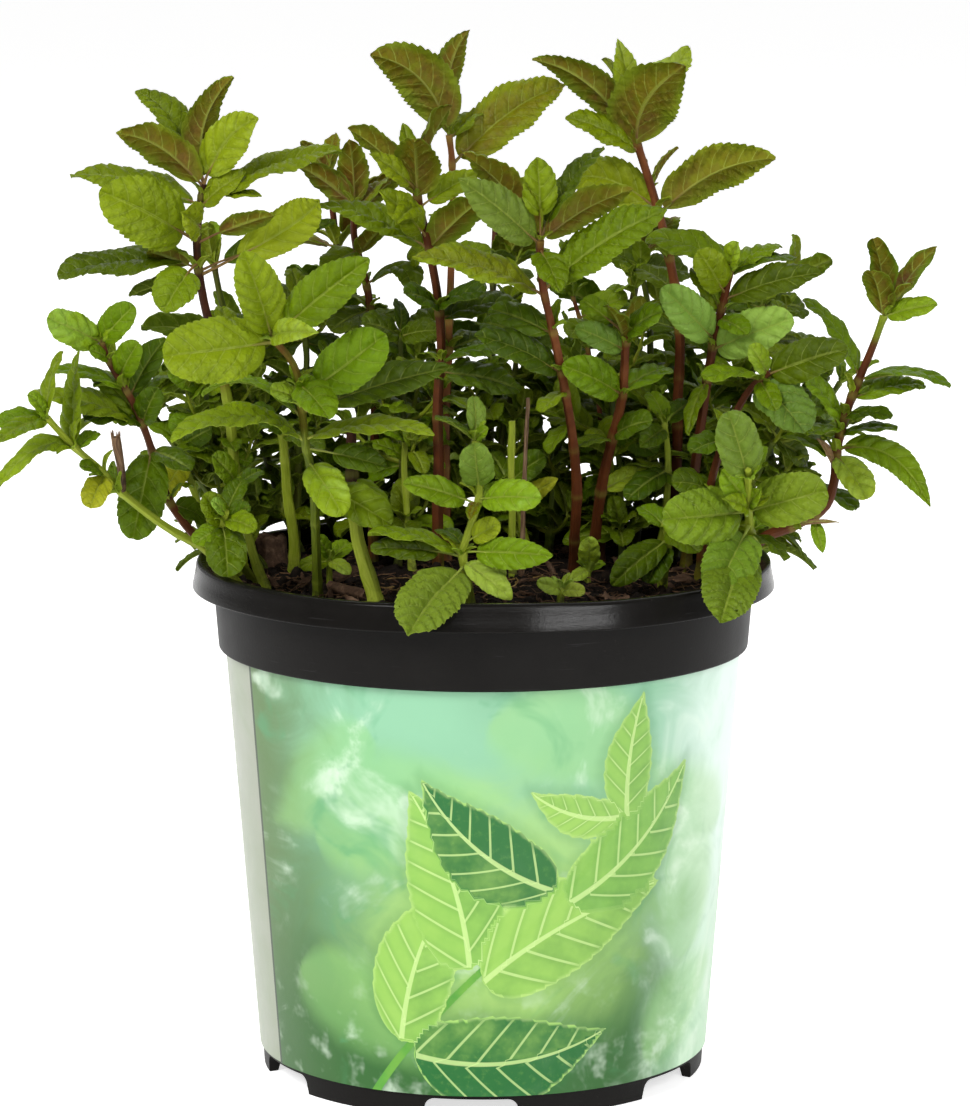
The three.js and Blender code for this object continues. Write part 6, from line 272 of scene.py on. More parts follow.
  (41.26,6.1,133.32,45.18,1.35,132.9,49.19,-1.2,128.97,-0.021,-0.528,0.849,7.54,0.06,0.12,0.22,0,0),
  (40.43,4.08,145.33,39.47,5.86,149.24,37.43,9.35,150.97,0.359,-0.579,0.732,5.45,0.06,0.12,0.55,0,0)]),
 ("shoot_centre_short", "green", (0.65,0.9), ((5.17,10,131.4),(8.34,10.88,121.71),(10.63,12,110.8)), [(5.63,10.13,130.02,8.51,6.58,134.07,13.88,6.13,136.94,-0.602,-0.746,0.286,6.78,0.06,0.12,0.22,0,0),
  (5.76,10.16,129.6,4.35,12.05,134.33,1.58,15.99,136.48,0.379,-0.579,0.721,6.49,0.06,0.12,0.22,0,0),
  (6.08,10.25,128.63,2.86,6.85,129.82,-1.12,4.74,128.09,0.231,-0.39,0.891,5.7,0.06,0.12,0.22,0,0),
  (7.44,10.63,124.48,10.81,6.21,128.61,16.8,5.63,132.03,-0.557,-0.817,0.15,4.81,0.06,0.12,0.8,0,0.9)]),
 ("stem_centre_short", "green", (0.75,1), ((-17.23,6,141.47),(-17.7,6.49,133.72),(-17.07,7.21,122.05),(-16,8,110.8)), [(-17.28,6.06,140.56,-19.13,3.22,143.26,-22.92,1.23,143.91,0.659,-0.287,0.695,4.99,0.06,0.12,0.55,0,0),
  (-17.25,6.03,141.02,-15.25,8,143.96,-12.36,10.82,144.45,-0.327,-0.307,0.894,4.95,0.06,0.12,0.22,0,0)]),
 ("cut_stem_green", "green", (0.85,0.95), ((6.41,-6,146.42),(6.2,-5.09,135.36),(6.45,-3.86,120.37),(6.69,-3,110.8)), []),
 ("dry_stub_centre", "dry", (0.5,0.65), ((10.01,2,150.54),(9.36,2,138.86),(8.72,2,119.91),(8.51,2,110.8)), []),
 ("shoot_inner_1", "purple", (0.7,1.1), ((-41.56,26,169.93),(-40.25,25.08,156.34),(-41.68,23.87,138.15),(-42.7,22,110.8)), [(-41.45,25.92,168.81,-46.34,28.31,171.9,-50.52,32.95,171.51,-0.17,-0.537,0.826,7.26,0.06,0.12,0.22,0,0),
  (-41.45,25.92,168.79,-36.54,28.03,171.86,-32.68,32.84,171.98,0.258,-0.654,0.711,7.42,0.06,0.12,0.22,0,0),
  (-41.52,25.97,169.49,-41.84,27.31,174.07,-43.54,30.88,176.75,0.421,-0.693,0.586,5.83,0.06,0.12,0.55,0,0),
  (-40.68,25.39,160.87,-47.64,27.97,160.47,-51.57,33.38,157.21,-0.602,-0.559,0.57,8.38,0.06,0.12,0.22,0,0),
  (-40.64,25.36,160.42,-34.23,26.69,159.28,-30.41,30.77,155.67,0.575,-0.607,0.548,7.78,0.06,0.12,0.22,0,0),
  (-40.69,24.7,150.65,-47.14,27.3,150.13,-50.68,32.26,146.73,-0.617,-0.499,0.609,7.81,0.06,0.12,0.22,0,0),
  (-40.75,24.66,149.96,-35.82,26.98,153.26,-31.36,31.5,152.82,0.105,-0.503,0.858,7.78,0.06,0.12,0.22,0,0),
  (-41.68,23.87,138.15,-47.44,26.21,137.89,-50.69,30.61,134.92,-0.594,-0.488,0.639,6.97,0.06,0.12,0.22,0,0),
  (-41.68,23.87,138.15,-35.64,26.56,136.78,-32.83,31.37,132.97,0.706,-0.465,0.534,7.77,0.06,0.12,0.22,0,0)]),
 ("shoot_inner_2", "purple", (0.7,1.1), ((35.89,34,177.82),(38.21,32.83,164.63),(37.8,31.24,146.4),(36.01,29.63,128.11),(35.14,28,110.8)), [(36.21,33.84,175.98,31.49,35.66,179.97,26.89,40.16,180.46,-0.032,-0.609,0.792,7.85,0.06,0.12,0.22,0,0),
  (36.21,33.84,175.98,42.89,35.43,176.91,47.62,40.09,174.94,0.419,-0.662,0.621,7.9,0.06,0.12,0.22,0,0),
  (36.04,33.92,176.94,36.36,32.73,180.89,35.7,29.41,183.27,0.35,0.754,0.556,4.66,0.06,0.12,0.75,0,0.1),
  (38.2,32.84,164.71,33.34,27.53,164.81,27.94,24.78,160.94,0.117,-0.539,0.834,8.33,0.06,0.12,0.22,0,0),
  (38.2,32.83,164.67,44.11,35.64,167.14,48.64,40.75,165.63,0.288,-0.48,0.828,8.18,0.06,0.12,0.22,0,0),
  (37.95,31.83,153.23,33.2,34.23,156.1,29.26,38.8,155.65,-0.202,-0.537,0.819,7.23,0.06,0.12,0.22,0,0),
  (37.94,31.79,152.78,44.64,34.53,151.24,47.81,39.84,147.17,0.7,-0.51,0.5,8.32,0.06,0.12,0.22,0,0),
  (37.13,30.64,139.56,31.72,33.1,139.24,28.85,37.43,136.32,-0.624,-0.46,0.631,7.02,0.06,0.12,0.22,0,0),
  (37.13,30.64,139.56,43.74,33.02,139.49,47.79,37.78,136.27,0.544,-0.502,0.673,7.82,0.06,0.12,0.22,0,0)]),
 ("shoot_inner_3", "purple", (0.7,1.1), ((-58.32,32,162.43),(-58.81,30.15,146.53),(-58.85,28.29,130.62),(-50.53,23.21,110.8)), [(-58.39,31.74,160.16,-64.52,34.05,159.87,-67.97,38.87,157.04,-0.602,-0.559,0.57,7.37,0.06,0.12,0.22,0,0),
  (-58.37,31.79,160.61,-54.47,34.13,164.16,-50.85,38.61,164.47,0.071,-0.55,0.832,7.05,0.06,0.12,0.22,0,0),
  (-58.36,31.84,161.07,-58.48,33.53,165.2,-59.94,37.13,167.4,0.441,-0.632,0.638,5.47,0.06,0.12,0.55,0,0),
  (-58.74,30.41,148.81,-63.92,33.11,151.95,-68.43,37.9,151.13,-0.149,-0.463,0.874,7.74,0.06,0.12,0.22,0,0),
  (-58.74,30.41,148.81,-52.81,33.08,147.44,-50.05,37.83,143.71,0.709,-0.468,0.528,7.67,0.06,0.12,0.22,0,0),
  (-58.84,29.09,137.44,-63.62,31.38,139.6,-67.48,35.45,138.44,-0.241,-0.462,0.854,6.58,0.06,0.12,0.22,0,0),
  (-58.84,29.09,137.44,-54.68,31.56,140.54,-50.9,35.88,140.24,0.102,-0.479,0.872,7.03,0.06,0.12,0.22,0,0),
  (-58.72,28.15,129.45,-64.18,30.38,128.03,-66.65,34.71,124.58,-0.714,-0.5,0.49,6.77,0.06,0.12,0.22,0,0)]),
 ("shoot_inner_4", "purple", (0.65,1), ((8.48,34,162.21),(6.65,32.43,148.56),(3.9,30.85,134.89),(2.53,28,110.8)), [(8.32,33.87,161.06,3.63,36.2,163.82,-0.23,40.67,163.32,-0.211,-0.537,0.817,7.03,0.06,0.12,0.22,0,0),
  (8.32,33.87,161.06,12.29,36.08,164.26,15.9,40.3,164.29,0.091,-0.531,0.843,6.65,0.06,0.12,0.22,0,0),
  (8.41,33.94,161.7,8.04,35.48,165.61,6.67,38.91,167.67,0.349,-0.668,0.658,5.13,0.06,0.12,0.55,0,0),
  (7.11,32.83,151.97,1.59,35.3,153.01,-2.08,39.76,150.9,-0.445,-0.473,0.76,7.16,0.06,0.12,0.22,0,0),
  (7.11,32.83,151.97,13.06,35.33,150.73,15.94,40.04,147.15,0.691,-0.491,0.531,7.45,0.06,0.12,0.22,0,0),
  (5.27,31.64,141.72,0.17,33.89,142.22,-3,37.91,139.98,-0.509,-0.471,0.721,6.47,0.06,0.12,0.22,0,0),
  (5.27,31.64,141.72,11.19,34.14,140.6,14.1,38.77,137.07,0.681,-0.487,0.547,7.37,0.06,0.12,0.22,0,0)]),
 ("shoot_inner_5", "purple", (0.7,1.1), ((63.82,26,169.93),(62.09,25.62,158.56),(59.47,25.08,142.58),(54.58,24.45,124.25),(50.23,23.85,110.8)), [(63.54,25.94,168.12,58.4,28.42,170.27,54.66,33.12,169.2,-0.339,-0.535,0.774,7.43,0.06,0.12,0.22,0,0),
  (63.61,25.95,168.57,69.86,28.39,169.51,73.91,33.36,167.33,0.48,-0.552,0.682,7.65,0.06,0.12,0.22,0,0),
  (63.67,25.97,169.01,64.84,27.57,172.79,66.81,30.97,174.46,-0.281,-0.621,0.732,5.17,0.06,0.12,0.55,0,0),
  (62.26,25.65,159.71,56.44,28.18,159.24,53.38,32.95,156.34,-0.642,-0.522,0.562,7.54,0.06,0.12,0.22,0,0),
  (62.26,25.65,159.71,68.46,28.39,161.78,73.08,33.44,159.97,0.328,-0.483,0.812,8.05,0.06,0.12,0.22,0,0),
  (60.6,25.31,149.46,54.58,28.12,149.59,51.17,33,146.64,-0.576,-0.458,0.677,7.95,0.06,0.12,0.22,0,0),
  (60.6,25.31,149.46,68,26.87,148.58,72.65,31.34,144.54,0.539,-0.57,0.62,8.43,0.06,0.12,0.22,0,0),
  (58.27,24.92,138.09,64.48,27.33,136.04,67.33,32.17,131.93,0.724,-0.526,0.446,7.49,0.06,0.12,0.22,0,0),
  (58.27,24.92,138.09,53.66,27.21,139.02,50.7,31.11,137.17,-0.459,-0.448,0.767,6.39,0.06,0.12,0.22,0,0)]),
 ("seedling_front", "green", (0.6,0.75), ((16.98,-38,114.43),(16.77,-38,112.68),(16.56,-38,110.8)), [(16.93,-38,113.97,15.06,-40.9,115.52,11.56,-42,116.4,0.651,-0.71,0.27,3.66,0.06,0.12,0.95,0,0.35),
  (16.93,-38,113.97,18.8,-40.67,114.85,21.84,-42,114.23,-0.5,-0.571,0.651,3.47,0.06,0.12,0.95,0,0.35),
  (16.88,-38,113.57,17.93,-37.02,115.44,18.97,-35,116.1,0.011,-0.649,0.761,2.77,0.06,0.12,0.95,0,0.35)]),
 ("seedling_right", "green", (0.55,0.7), ((23.34,-14,115.28),(22.91,-14,112.15),(23.14,-14,110.8)), [(23.34,-14,115.28,23.52,-17.79,118.02,23.2,-19,122.53,0.16,-0.814,-0.558,4.92,0.06,0.12,0.95,0,0.35),
  (23.22,-14,114.37,21.69,-17.01,114.65,19.51,-19,112.99,0.283,-0.445,0.85,3.22,0.06,0.12,0.95,0,0.35),
  (23.22,-14,114.37,25.05,-12.93,115.79,26.73,-11,115.68,0.092,-0.487,0.869,3.06,0.06,0.12,0.85,0,0)]),
 ("seedling_left", "green", (0.6,0.75), ((-33.61,-16,117.84),(-33.85,-16,114.27),(-33.65,-16,110.8)), [(-33.69,-16,116.73,-36.9,-17.43,117.02,-40.18,-17,115.77,0.024,-0.768,0.64,4.06,0.06,0.12,0.55,0,0),
  (-33.67,-16,116.95,-31.42,-14.26,119.62,-29.35,-11,120.16,0.07,-0.581,0.811,4.58,0.06,0.12,0.85,0,0),
  (-33.69,-16,116.73,-31.72,-19.65,116.97,-29.06,-22,114.82,-0.249,-0.463,0.851,3.56,0.06,0.12,0.95,0,0.35),
  (-33.64,-16,117.39,-34.35,-17.97,120.07,-36.58,-18.2,122.63,0.658,-0.751,0.054,3.81,0.06,0.12,0.55,0,0)]),
 ("shoot_inner_6", "green", (0.65,1.05), ((-62.58,14,151.97),(-61.06,12.68,137.39),(-57.07,11.23,121.66),(-49.88,10,110.8)), [(-62.46,13.9,150.84,-65.07,9.59,153.9,-70.44,7.9,155.65,0.686,-0.648,0.33,6.8,0.06,0.12,0.55,0,0),
  (-62.46,13.9,150.84,-59.82,9.29,153.99,-54.32,7.53,156.14,-0.691,-0.682,0.241,6.8,0.06,0.12,0.55,0,0),
  (-61.76,13.29,144.14,-65.23,8.91,144.72,-70.07,6.88,142.71,0.366,-0.628,0.686,6.8,0.06,0.12,0.55,0,0),
  (-61.76,13.29,144.12,-56.35,15.9,143.09,-53.77,20.14,139.57,0.687,-0.398,0.607,7.08,0.06,0.12,0.55,0,0),
  (-60.77,12.58,136.23,-64.22,13.57,135.27,-66,16.29,133.48,-0.655,-0.679,0.33,5.33,0.06,0.12,0.22,0,0),
  (-60.77,12.58,136.23,-56.87,8.8,137.04,-51.8,7.49,135.39,-0.318,-0.671,0.67,6.27,0.06,0.12,0.55,0,0),
  (-62.5,13.94,151.28,-61.96,9.77,154.23,-63.58,7.82,158.73,0.558,-0.679,-0.477,5.63,0.06,0.12,0.55,0,0)]),
 ("shoot_inner_7", "green", (0.65,1.05), ((26.34,16,164.19),(29.09,15.4,148.4),(30.96,14.81,132.54),(31.49,14,110.8)), [(26.58,15.95,162.8,23.44,11.7,165.22,18.11,9.39,164.92,0.548,-0.489,0.678,6.77,0.06,0.12,0.22,0,0),
  (26.66,15.93,162.33,32.54,17.35,161.27,36.02,21.62,158.56,0.588,-0.702,0.401,6.82,0.06,0.12,0.22,0,0),
  (28.3,15.57,152.93,24.4,11.33,154.09,19.49,8.96,151.92,0.258,-0.473,0.842,6.83,0.06,0.12,0.22,0,0),
  (28.39,15.55,152.42,34.36,16.59,151.98,38.3,20.53,149.57,0.5,-0.72,0.48,6.82,0.06,0.12,0.55,0,0),
  (29.89,15.15,141.58,24.79,17.13,139.93,22.5,21.54,137.09,-0.722,-0.623,0.302,6.61,0.06,0.12,0.22,0,0),
  (29.9,15.15,141.53,34.29,10.42,141.1,38.81,8.05,137.12,-0.033,-0.557,0.83,7.7,0.06,0.12,0.22,0,0),
  (31.01,14.72,130.26,25.46,17.17,129.67,22.54,21.5,126.53,-0.639,-0.458,0.618,7,0.06,0.12,0.22,0,0),
  (31.02,14.71,129.8,34.76,10.32,131.57,40.19,8.02,130.33,-0.423,-0.52,0.742,7.11,0.06,0.12,0.55,0,0),
  (26.42,15.98,163.72,26.84,11.73,166.85,25.26,9.98,171.6,0.558,-0.698,-0.449,5.7,0.06,0.12,0.55,0,0)]),
 ("shoot_inner_8", "purple", (0.65,1.05), ((-18.65,14,164.41),(-17.79,14,148.57),(-18.29,14,132.65),(-19.26,14,110.8)), [(-18.57,14,163.05,-21.36,9.46,166.22,-26.98,6.96,166.98,0.668,-0.48,0.569,7.28,0.06,0.12,0.22,0,0),
  (-18.57,14,163.05,-14.98,10.32,164.93,-9.61,9.24,164.94,-0.485,-0.71,0.511,6.28,0.06,0.12,0.22,0,0),
  (-18.13,14,154.9,-21.79,9.54,155.8,-26.6,7.16,153.49,0.289,-0.523,0.802,7.07,0.06,0.12,0.55,0,0),
  (-18.13,14,154.89,-13.94,9.83,155.29,-9.62,7.3,152.12,-0.037,-0.421,0.906,6.92,0.06,0.12,0.22,0,0),
  (-17.93,14,144.03,-23.3,16.2,144.46,-26.54,20.5,142.27,-0.534,-0.528,0.66,6.71,0.06,0.12,0.22,0,0),
  (-17.93,14,144.03,-13.61,9.56,143.76,-9.15,7.15,139.63,-0.109,-0.633,0.767,7.54,0.06,0.12,0.22,0,0),
  (-18.25,14,133.79,-23.43,16.28,133.09,-26.13,20.19,129.94,-0.643,-0.42,0.641,6.39,0.06,0.12,0.55,0,0),
  (-18.25,14,133.79,-14.78,10.05,133.81,-10.56,8.37,131.18,-0.211,-0.634,0.744,6.28,0.06,0.12,0.22,0,0),
  (-18.62,14,163.96,-17.73,15.98,167.99,-19.18,19.45,170.61,0.751,-0.478,0.455,5.63,0.06,0.12,0.22,0,0)]),
 ("shoot_inner_9", "green", (0.65,1.05), ((71.15,12,157.87),(68.19,12.93,146.44),(62.55,14.11,132.64),(53.33,15.73,110.8)), [(70.8,12.11,156.54,68.52,8.07,159.42,63.57,6.19,160.79,0.71,-0.58,0.4,6.12,0.06,0.12,0.55,0,0),
  (70.8,12.11,156.54,73.87,8.36,157.26,77.93,6.35,155.39,-0.301,-0.531,0.792,5.95,0.06,0.12,0.22,0,0),
  (69.05,12.66,149.76,66.01,8.58,150.64,61.48,6.66,149.05,0.413,-0.602,0.683,6.06,0.06,0.12,0.55,0,0),
  (68.98,12.68,149.49,74.98,14.83,148.37,78.16,19.46,145.14,0.656,-0.576,0.487,7,0.06,0.12,0.55,0,0),
  (65.47,13.5,139.79,61.22,15.57,140.46,58.72,19.28,138.77,-0.523,-0.487,0.699,5.97,0.06,0.12,0.55,0,0),
  (65.47,13.5,139.79,71.18,15.54,137.44,73.8,20.1,133.62,0.726,-0.595,0.344,6.82,0.06,0.12,0.22,0,0),
  (61.76,14.29,130.46,57.28,16.57,130.56,54.78,20.16,128.1,-0.567,-0.381,0.73,6.07,0.06,0.12,0.22,0,0),
  (61.76,14.29,130.46,67.01,16.2,128.35,69.38,20.42,124.85,0.73,-0.585,0.353,6.34,0.06,0.12,0.55,0,0)]),
 ("shoot_inner_10", "purple", (0.65,1.05), ((49.61,28,139.9),(47.34,25.95,124.02),(44.62,24,110.8)), [(49.41,27.82,138.53,44.91,29.45,140.76,41.5,32.72,140.48,-0.195,-0.618,0.762,5.97,0.06,0.12,0.22,0,0),
  (48.31,26.83,130.82,43.08,28.85,130.33,40.28,33.18,128.07,-0.641,-0.608,0.469,6.56,0.06,0.12,0.55,0,0),
  (48.32,26.83,130.85,53.75,28.97,129.57,56.41,33.14,126.21,0.691,-0.506,0.517,6.53,0.06,0.12,0.55,0,0),
  (47.02,25.71,122.23,42.12,28.09,122.16,39.36,31.89,119.42,-0.574,-0.382,0.724,6.38,0.06,0.12,0.55,0,0),
  (47.02,25.71,122.23,50.04,21.77,122.3,53.92,19.86,119.87,-0.26,-0.609,0.749,6.04,0.06,0.12,0.55,0,0)]),
 ("shoot_back_1", "purple", (0.7,1.1), ((-62,44,176),(-60.12,42.49,168.04),(-57.92,40.82,159.59),(-55.39,38.98,150.65),(-52.53,36.98,141.22),(-49.35,34.82,131.3),(-45.84,32.49,120.89),(-42,30,110.8)), [(-45.2,32.08,119.08,-37.92,39.51,125.58,-27.59,45.01,126.04,-0.498,0.227,0.837,11.18,0.11,0.14,0.266,0,0),
  (-45.2,32.08,119.08,-57.04,31.29,117.58,-65.09,31.05,111.69,-0.351,0.081,0.933,10.6,0.13,0.14,0.24,0,0),
  (-52,36.62,139.55,-57.85,50,140.68,-64.09,61.29,133.71,0.048,0.252,0.966,12.76,0.13,0.14,0.458,0,0),
  (-57.48,40.5,158.03,-51.59,46.59,166.19,-41.44,51.89,168.89,-0.61,0.112,0.784,10.9,0.12,0.14,0.65,0,0),
  (-57.48,40.5,158.03,-68.02,38.97,163.58,-78.19,33.6,163.59,0.016,0.597,0.802,11.57,0.11,0.14,0.513,0,0),
  (-61.92,43.94,175.66,-63.62,46.92,181.77,-63.85,52.8,185.58,-0.369,-0.728,0.578,6.72,0.15,0.14,0.75,0.3,0),
  (-61.92,43.94,175.66,-63.69,44.11,181.11,-63.54,41.57,186.24,-0.58,0.809,0.092,5.45,0.12,0.14,0.728,0.3,0),
  (-61.92,43.94,175.66,-64.37,44.13,178.16,-65.94,44.59,181.26,0.802,0.24,0.548,2.91,0.05,0.25,0.7,0.3,0.05),
  (-61.92,43.94,175.66,-60.81,44.82,178.87,-60.78,45.6,182.28,-0.976,-0.099,0.193,2.91,0.05,0.25,0.7,0.3,0.05)]),
 ("shoot_back_2", "purple", (0.75,1.2), ((-36,62,196),(-34.78,60.12,185.33),(-33.39,57.92,174.17),(-31.84,55.39,162.52),(-30.12,52.53,150.38),(-28.24,49.35,137.75),(-26.2,45.84,124.63),(-24,42,110.8)), [(-25.9,45.31,122.76,-22.68,59.03,123.73,-20.02,71.17,116.77,-0.02,0.23,0.973,12.08,0.12,0.14,0.164,0,0),
  (-25.9,45.31,122.76,-31.5,35.48,128.96,-35.65,23.2,128.14,-0.375,0.372,0.849,10.93,0.13,0.14,0.197,0,0),
  (-29.03,50.67,143.01,-43.18,50.99,145.45,-56.52,48.33,139.91,-0.133,0.309,0.942,13.81,0.11,0.14,0.35,0,0),
  (-29.03,50.67,143.01,-15.51,50.13,146.42,-2.63,46.58,142.42,0.078,0.372,0.925,12.32,0.13,0.14,0.262,0,0),
  (-31.65,55.08,161.2,-27.76,66.5,163.64,-22.41,76.63,159.15,-0.202,0.178,0.963,11.32,0.11,0.14,0.455,0,0),
  (-31.65,55.08,161.2,-36.66,47.82,172.29,-41.7,35.32,176.68,0,0.617,0.787,14.11,0.12,0.14,0.545,0,0),
  (-33.96,58.83,178.77,-43.37,63.05,181.84,-52.84,67.07,178.7,0.009,0.03,0.999,9.7,0.13,0.14,0.678,0.7,0),
  (-33.96,58.83,178.77,-28.59,59.01,190.1,-19.12,54.82,197.18,-0.561,0.591,0.581,12.3,0.14,0.14,0.78,0.7,0),
  (-35.95,61.92,195.57,-36.29,63.94,201.26,-34.84,68.34,205.16,-0.512,-0.685,0.518,5.31,0.13,0.14,0.738,0.7,0),
  (-35.95,61.92,195.57,-38.39,59.93,201.18,-42.37,55.85,204.18,0.417,0.567,0.711,5.84,0.14,0.14,0.798,0.7,0),
  (-35.95,61.92,195.57,-37.95,63.18,198.16,-39.08,64.09,201.35,0.788,-0.299,0.539,2.91,0.05,0.25,0.7,0.7,0.05),
  (-35.95,61.92,195.57,-34.62,61.7,198.8,-34.26,61.95,202.28,-0.871,0.44,0.217,2.91,0.05,0.25,0.7,0.7,0.05)]),
 ("shoot_back_3", "red", (0.75,1.2), ((3,68,186),(2.71,65.2,176.74),(2.43,62.24,166.98),(2.14,59.12,156.74),(1.86,55.84,146.01),(1.57,52.39,134.78),(1.29,48.78,123.07),(1,45,110.8)), [(1.25,48.25,121.38,9.18,59.72,122.01,17.87,67.95,116.03,-0.301,0.478,0.825,12.3,0.1,0.14,0.273,0,0),
  (1.25,48.25,121.38,-6.98,42.65,127.81,-16.12,36.38,126.55,0.156,0.194,0.969,12.34,0.14,0.14,0.326,0,0),
  (1.69,53.81,139.42,-6.87,68.1,133.43,-13.2,77.09,119.56,-0.231,0.542,0.808,16.47,0.14,0.14,0.546,0,0),
  (1.69,53.81,139.42,11.56,48.11,146.55,23.15,43.33,144.23,-0.196,0.048,0.979,16.16,0.15,0.14,0.418,0,0),
  (2.11,58.75,155.52,10.13,69.28,157.27,19.73,77.01,152.13,-0.208,0.369,0.906,12.45,0.14,0.14,0.569,0,0),
  (2.11,58.75,155.52,-8.97,51.25,162.03,-19.09,40.44,160.55,-0.11,0.379,0.919,13.48,0.12,0.14,0.557,0,0),
  (2.55,63.45,170.96,-1.79,70.75,176.84,-8.32,78.74,177.14,0.36,-0.118,0.925,10.19,0.13,0.14,0.651,0.4,0),
  (2.55,63.45,170.96,7.95,61.68,181.14,13.74,54.09,187.84,-0.057,0.856,0.513,10.97,0.15,0.14,0.571,0.4,0),
  (2.99,67.89,185.62,3.94,70.47,191.14,8.04,73.11,194.94,-0.877,-0.009,0.48,5.88,0.12,0.14,0.746,0.4,0),
  (2.99,67.89,185.62,0.91,68.32,191.05,-3.84,68.95,194.35,0.783,-0.06,0.62,5.34,0.1,0.14,0.675,0.4,0),
  (2.99,67.89,185.62,2.09,70.25,188.05,1.74,71.91,191.12,0.508,-0.636,0.581,2.91,0.05,0.25,0.7,0.4,0.05),
  (2.99,67.89,185.62,4.07,67.24,188.89,4.61,67.55,192.34,-0.481,0.862,0.16,2.91,0.05,0.25,0.7,0.4,0.05)]),
 ("shoot_back_4", "red", (0.75,1.2), ((39,62,192),(37.49,59.98,181.85),(35.82,57.63,171.21),(33.98,54.96,160.08),(31.98,51.96,148.46),(29.82,48.63,136.36),(27.49,44.98,123.76),(25,41,110.8)), [(27.14,44.41,121.9,33.32,43.09,119.89,37.7,40.06,114.98,0.605,0.291,0.741,6.09,0.13,0.14,0.311,0,0),
  (27.14,44.41,121.9,14.22,38.14,126.46,-0.37,35.56,122.43,0.232,-0.678,0.697,15.14,0.1,0.14,0.261,0,0),
  (30.69,49.98,141.27,28.84,61.79,141.34,26.19,71.51,134.92,0.109,0.302,0.947,11.75,0.12,0.14,0.371,0,0),
  (30.69,49.98,141.27,36.62,41.52,148.31,40.01,31.61,147.67,0.225,0.42,0.879,12.61,0.11,0.14,0.336,0,0),
  (33.74,54.59,158.67,47.3,59.62,159.34,59.52,62.69,152.21,0.164,0.241,0.957,13.56,0.15,0.14,0.566,0,0),
  (33.74,54.59,158.67,25.38,56.22,168.79,13.16,53.8,173.2,0.482,0.511,0.711,13.18,0.11,0.14,0.523,0,0),
  (36.49,58.58,175.5,36.77,66.75,184.02,35.79,78.22,186.72,0.19,-0.482,0.855,10.23,0.15,0.14,0.629,0.8,0),
  (36.49,58.58,175.5,39.28,51.46,184.21,43.28,41.01,187.2,-0.179,0.497,0.849,9.95,0.14,0.14,0.636,0.8,0),
  (38.94,61.92,191.59,40.64,62.88,197.92,45.64,63.22,202.27,-0.845,0.16,0.511,6.21,0.11,0.14,0.657,0.8,0),
  (38.94,61.92,191.59,38.46,63.57,198.85,34,64.98,204.67,0.938,0.06,0.34,6.72,0.15,0.14,0.599,0.8,0)]),
 ("shoot_back_5", "purple", (0.7,1.1), ((70,42,172),(66.98,40.49,164.63),(63.63,38.82,156.77),(59.96,36.98,148.42),(55.96,34.98,139.59),(51.63,32.82,130.26),(46.98,30.49,120.44),(42,28,110.8)), [(46.13,30.06,118.67,58.17,35.19,116.73,66.36,40.6,109.6,0.386,0.052,0.921,11.4,0.14,0.14,0.351,0,0),
  (55.17,34.58,137.88,50.3,42.82,148.85,38.57,48.55,155.27,0.798,0.289,0.529,12.72,0.14,0.14,0.443,0,0),
  (55.17,34.58,137.88,63.61,30.87,141.67,71.29,24.18,140.53,0.072,0.35,0.934,10,0.11,0.14,0.361,0,0),
  (62.94,38.47,155.19,70.84,43.35,159.57,79.57,48.5,157.98,-0.137,-0.048,0.989,9.78,0.11,0.14,0.461,0,0),
  (62.94,38.47,155.19,63.05,36.47,166.75,61.69,29.48,174.64,0.243,0.874,0.42,9.92,0.1,0.14,0.549,0,0),
  (69.87,41.94,171.68,72.62,43.41,177.46,72.03,46.56,183.19,0.893,-0.45,0.013,6.19,0.14,0.14,0.78,0.3,0),
  (69.87,41.94,171.68,74.63,41.56,176.33,80.09,38.35,178.42,-0.179,0.729,0.66,6.44,0.12,0.14,0.587,0.3,0),
  (69.87,41.94,171.68,70.05,41.07,174.93,70.88,41.05,178.19,0.599,0.8,0.016,2.79,0.05,0.25,0.7,0.3,0.05),
  (69.87,41.94,171.68,71.89,44.03,173.47,73.59,45.45,175.94,-0.27,-0.614,0.741,2.79,0.05,0.25,0.7,0.3,0.05)]),
 ("shoot_back_6", "green", (0.65,1.05), ((-84,26.13,156),(-80.12,24.45,150.91),(-75.92,22.75,145.34),(-71.39,21.03,139.27),(-66.53,19.29,132.72),(-61.35,17.5,125.67),(-55.84,15.6,118.14),(-50,13.19,110.8)), [(-54.72,15.22,116.61,-50.15,22.33,123.77,-41.1,27.33,126.19,-0.693,0.242,0.679,10.83,0.13,0.14,0.241,0,0),
  (-65.32,18.87,131.07,-71.32,27.23,129.53,-73.99,34.96,123.12,-0.562,0.102,0.821,8.76,0.12,0.14,0.418,0,0),
  (-65.32,18.87,131.07,-65.82,17.06,141,-63.37,13.18,146.5,-0.443,0.822,0.359,9.61,0.13,0.14,0.291,0,0),
  (-74.82,22.32,143.87,-75.28,29.93,151.78,-70.06,38.2,156.79,-0.888,-0.099,0.449,10.04,0.14,0.14,0.638,0,0),
  (-74.82,22.32,143.87,-82.96,19.01,148.94,-90.14,11.87,149.61,-0.161,0.646,0.747,9.5,0.13,0.14,0.645,0,0),
  (-83.83,26.05,155.77,-87.63,27.59,160.28,-91.38,31.83,162.54,-0.012,-0.767,0.641,5.57,0.13,0.14,0.649,0,0),
  (-83.83,26.05,155.77,-86.5,25.33,160.75,-88.2,21.58,164.68,-0.291,0.905,0.311,5.22,0.11,0.14,0.616,0,0),
  (-83.83,26.05,155.77,-86.37,25.7,157.21,-88.53,26.01,159.19,0.417,0.699,0.581,2.44,0.05,0.25,0.7,0,0.05),
  (-83.83,26.05,155.77,-84.21,27.72,158.17,-85.39,28.93,160.57,-0.869,-0.495,0.015,2.44,0.05,0.25,0.7,0,0.05)]),
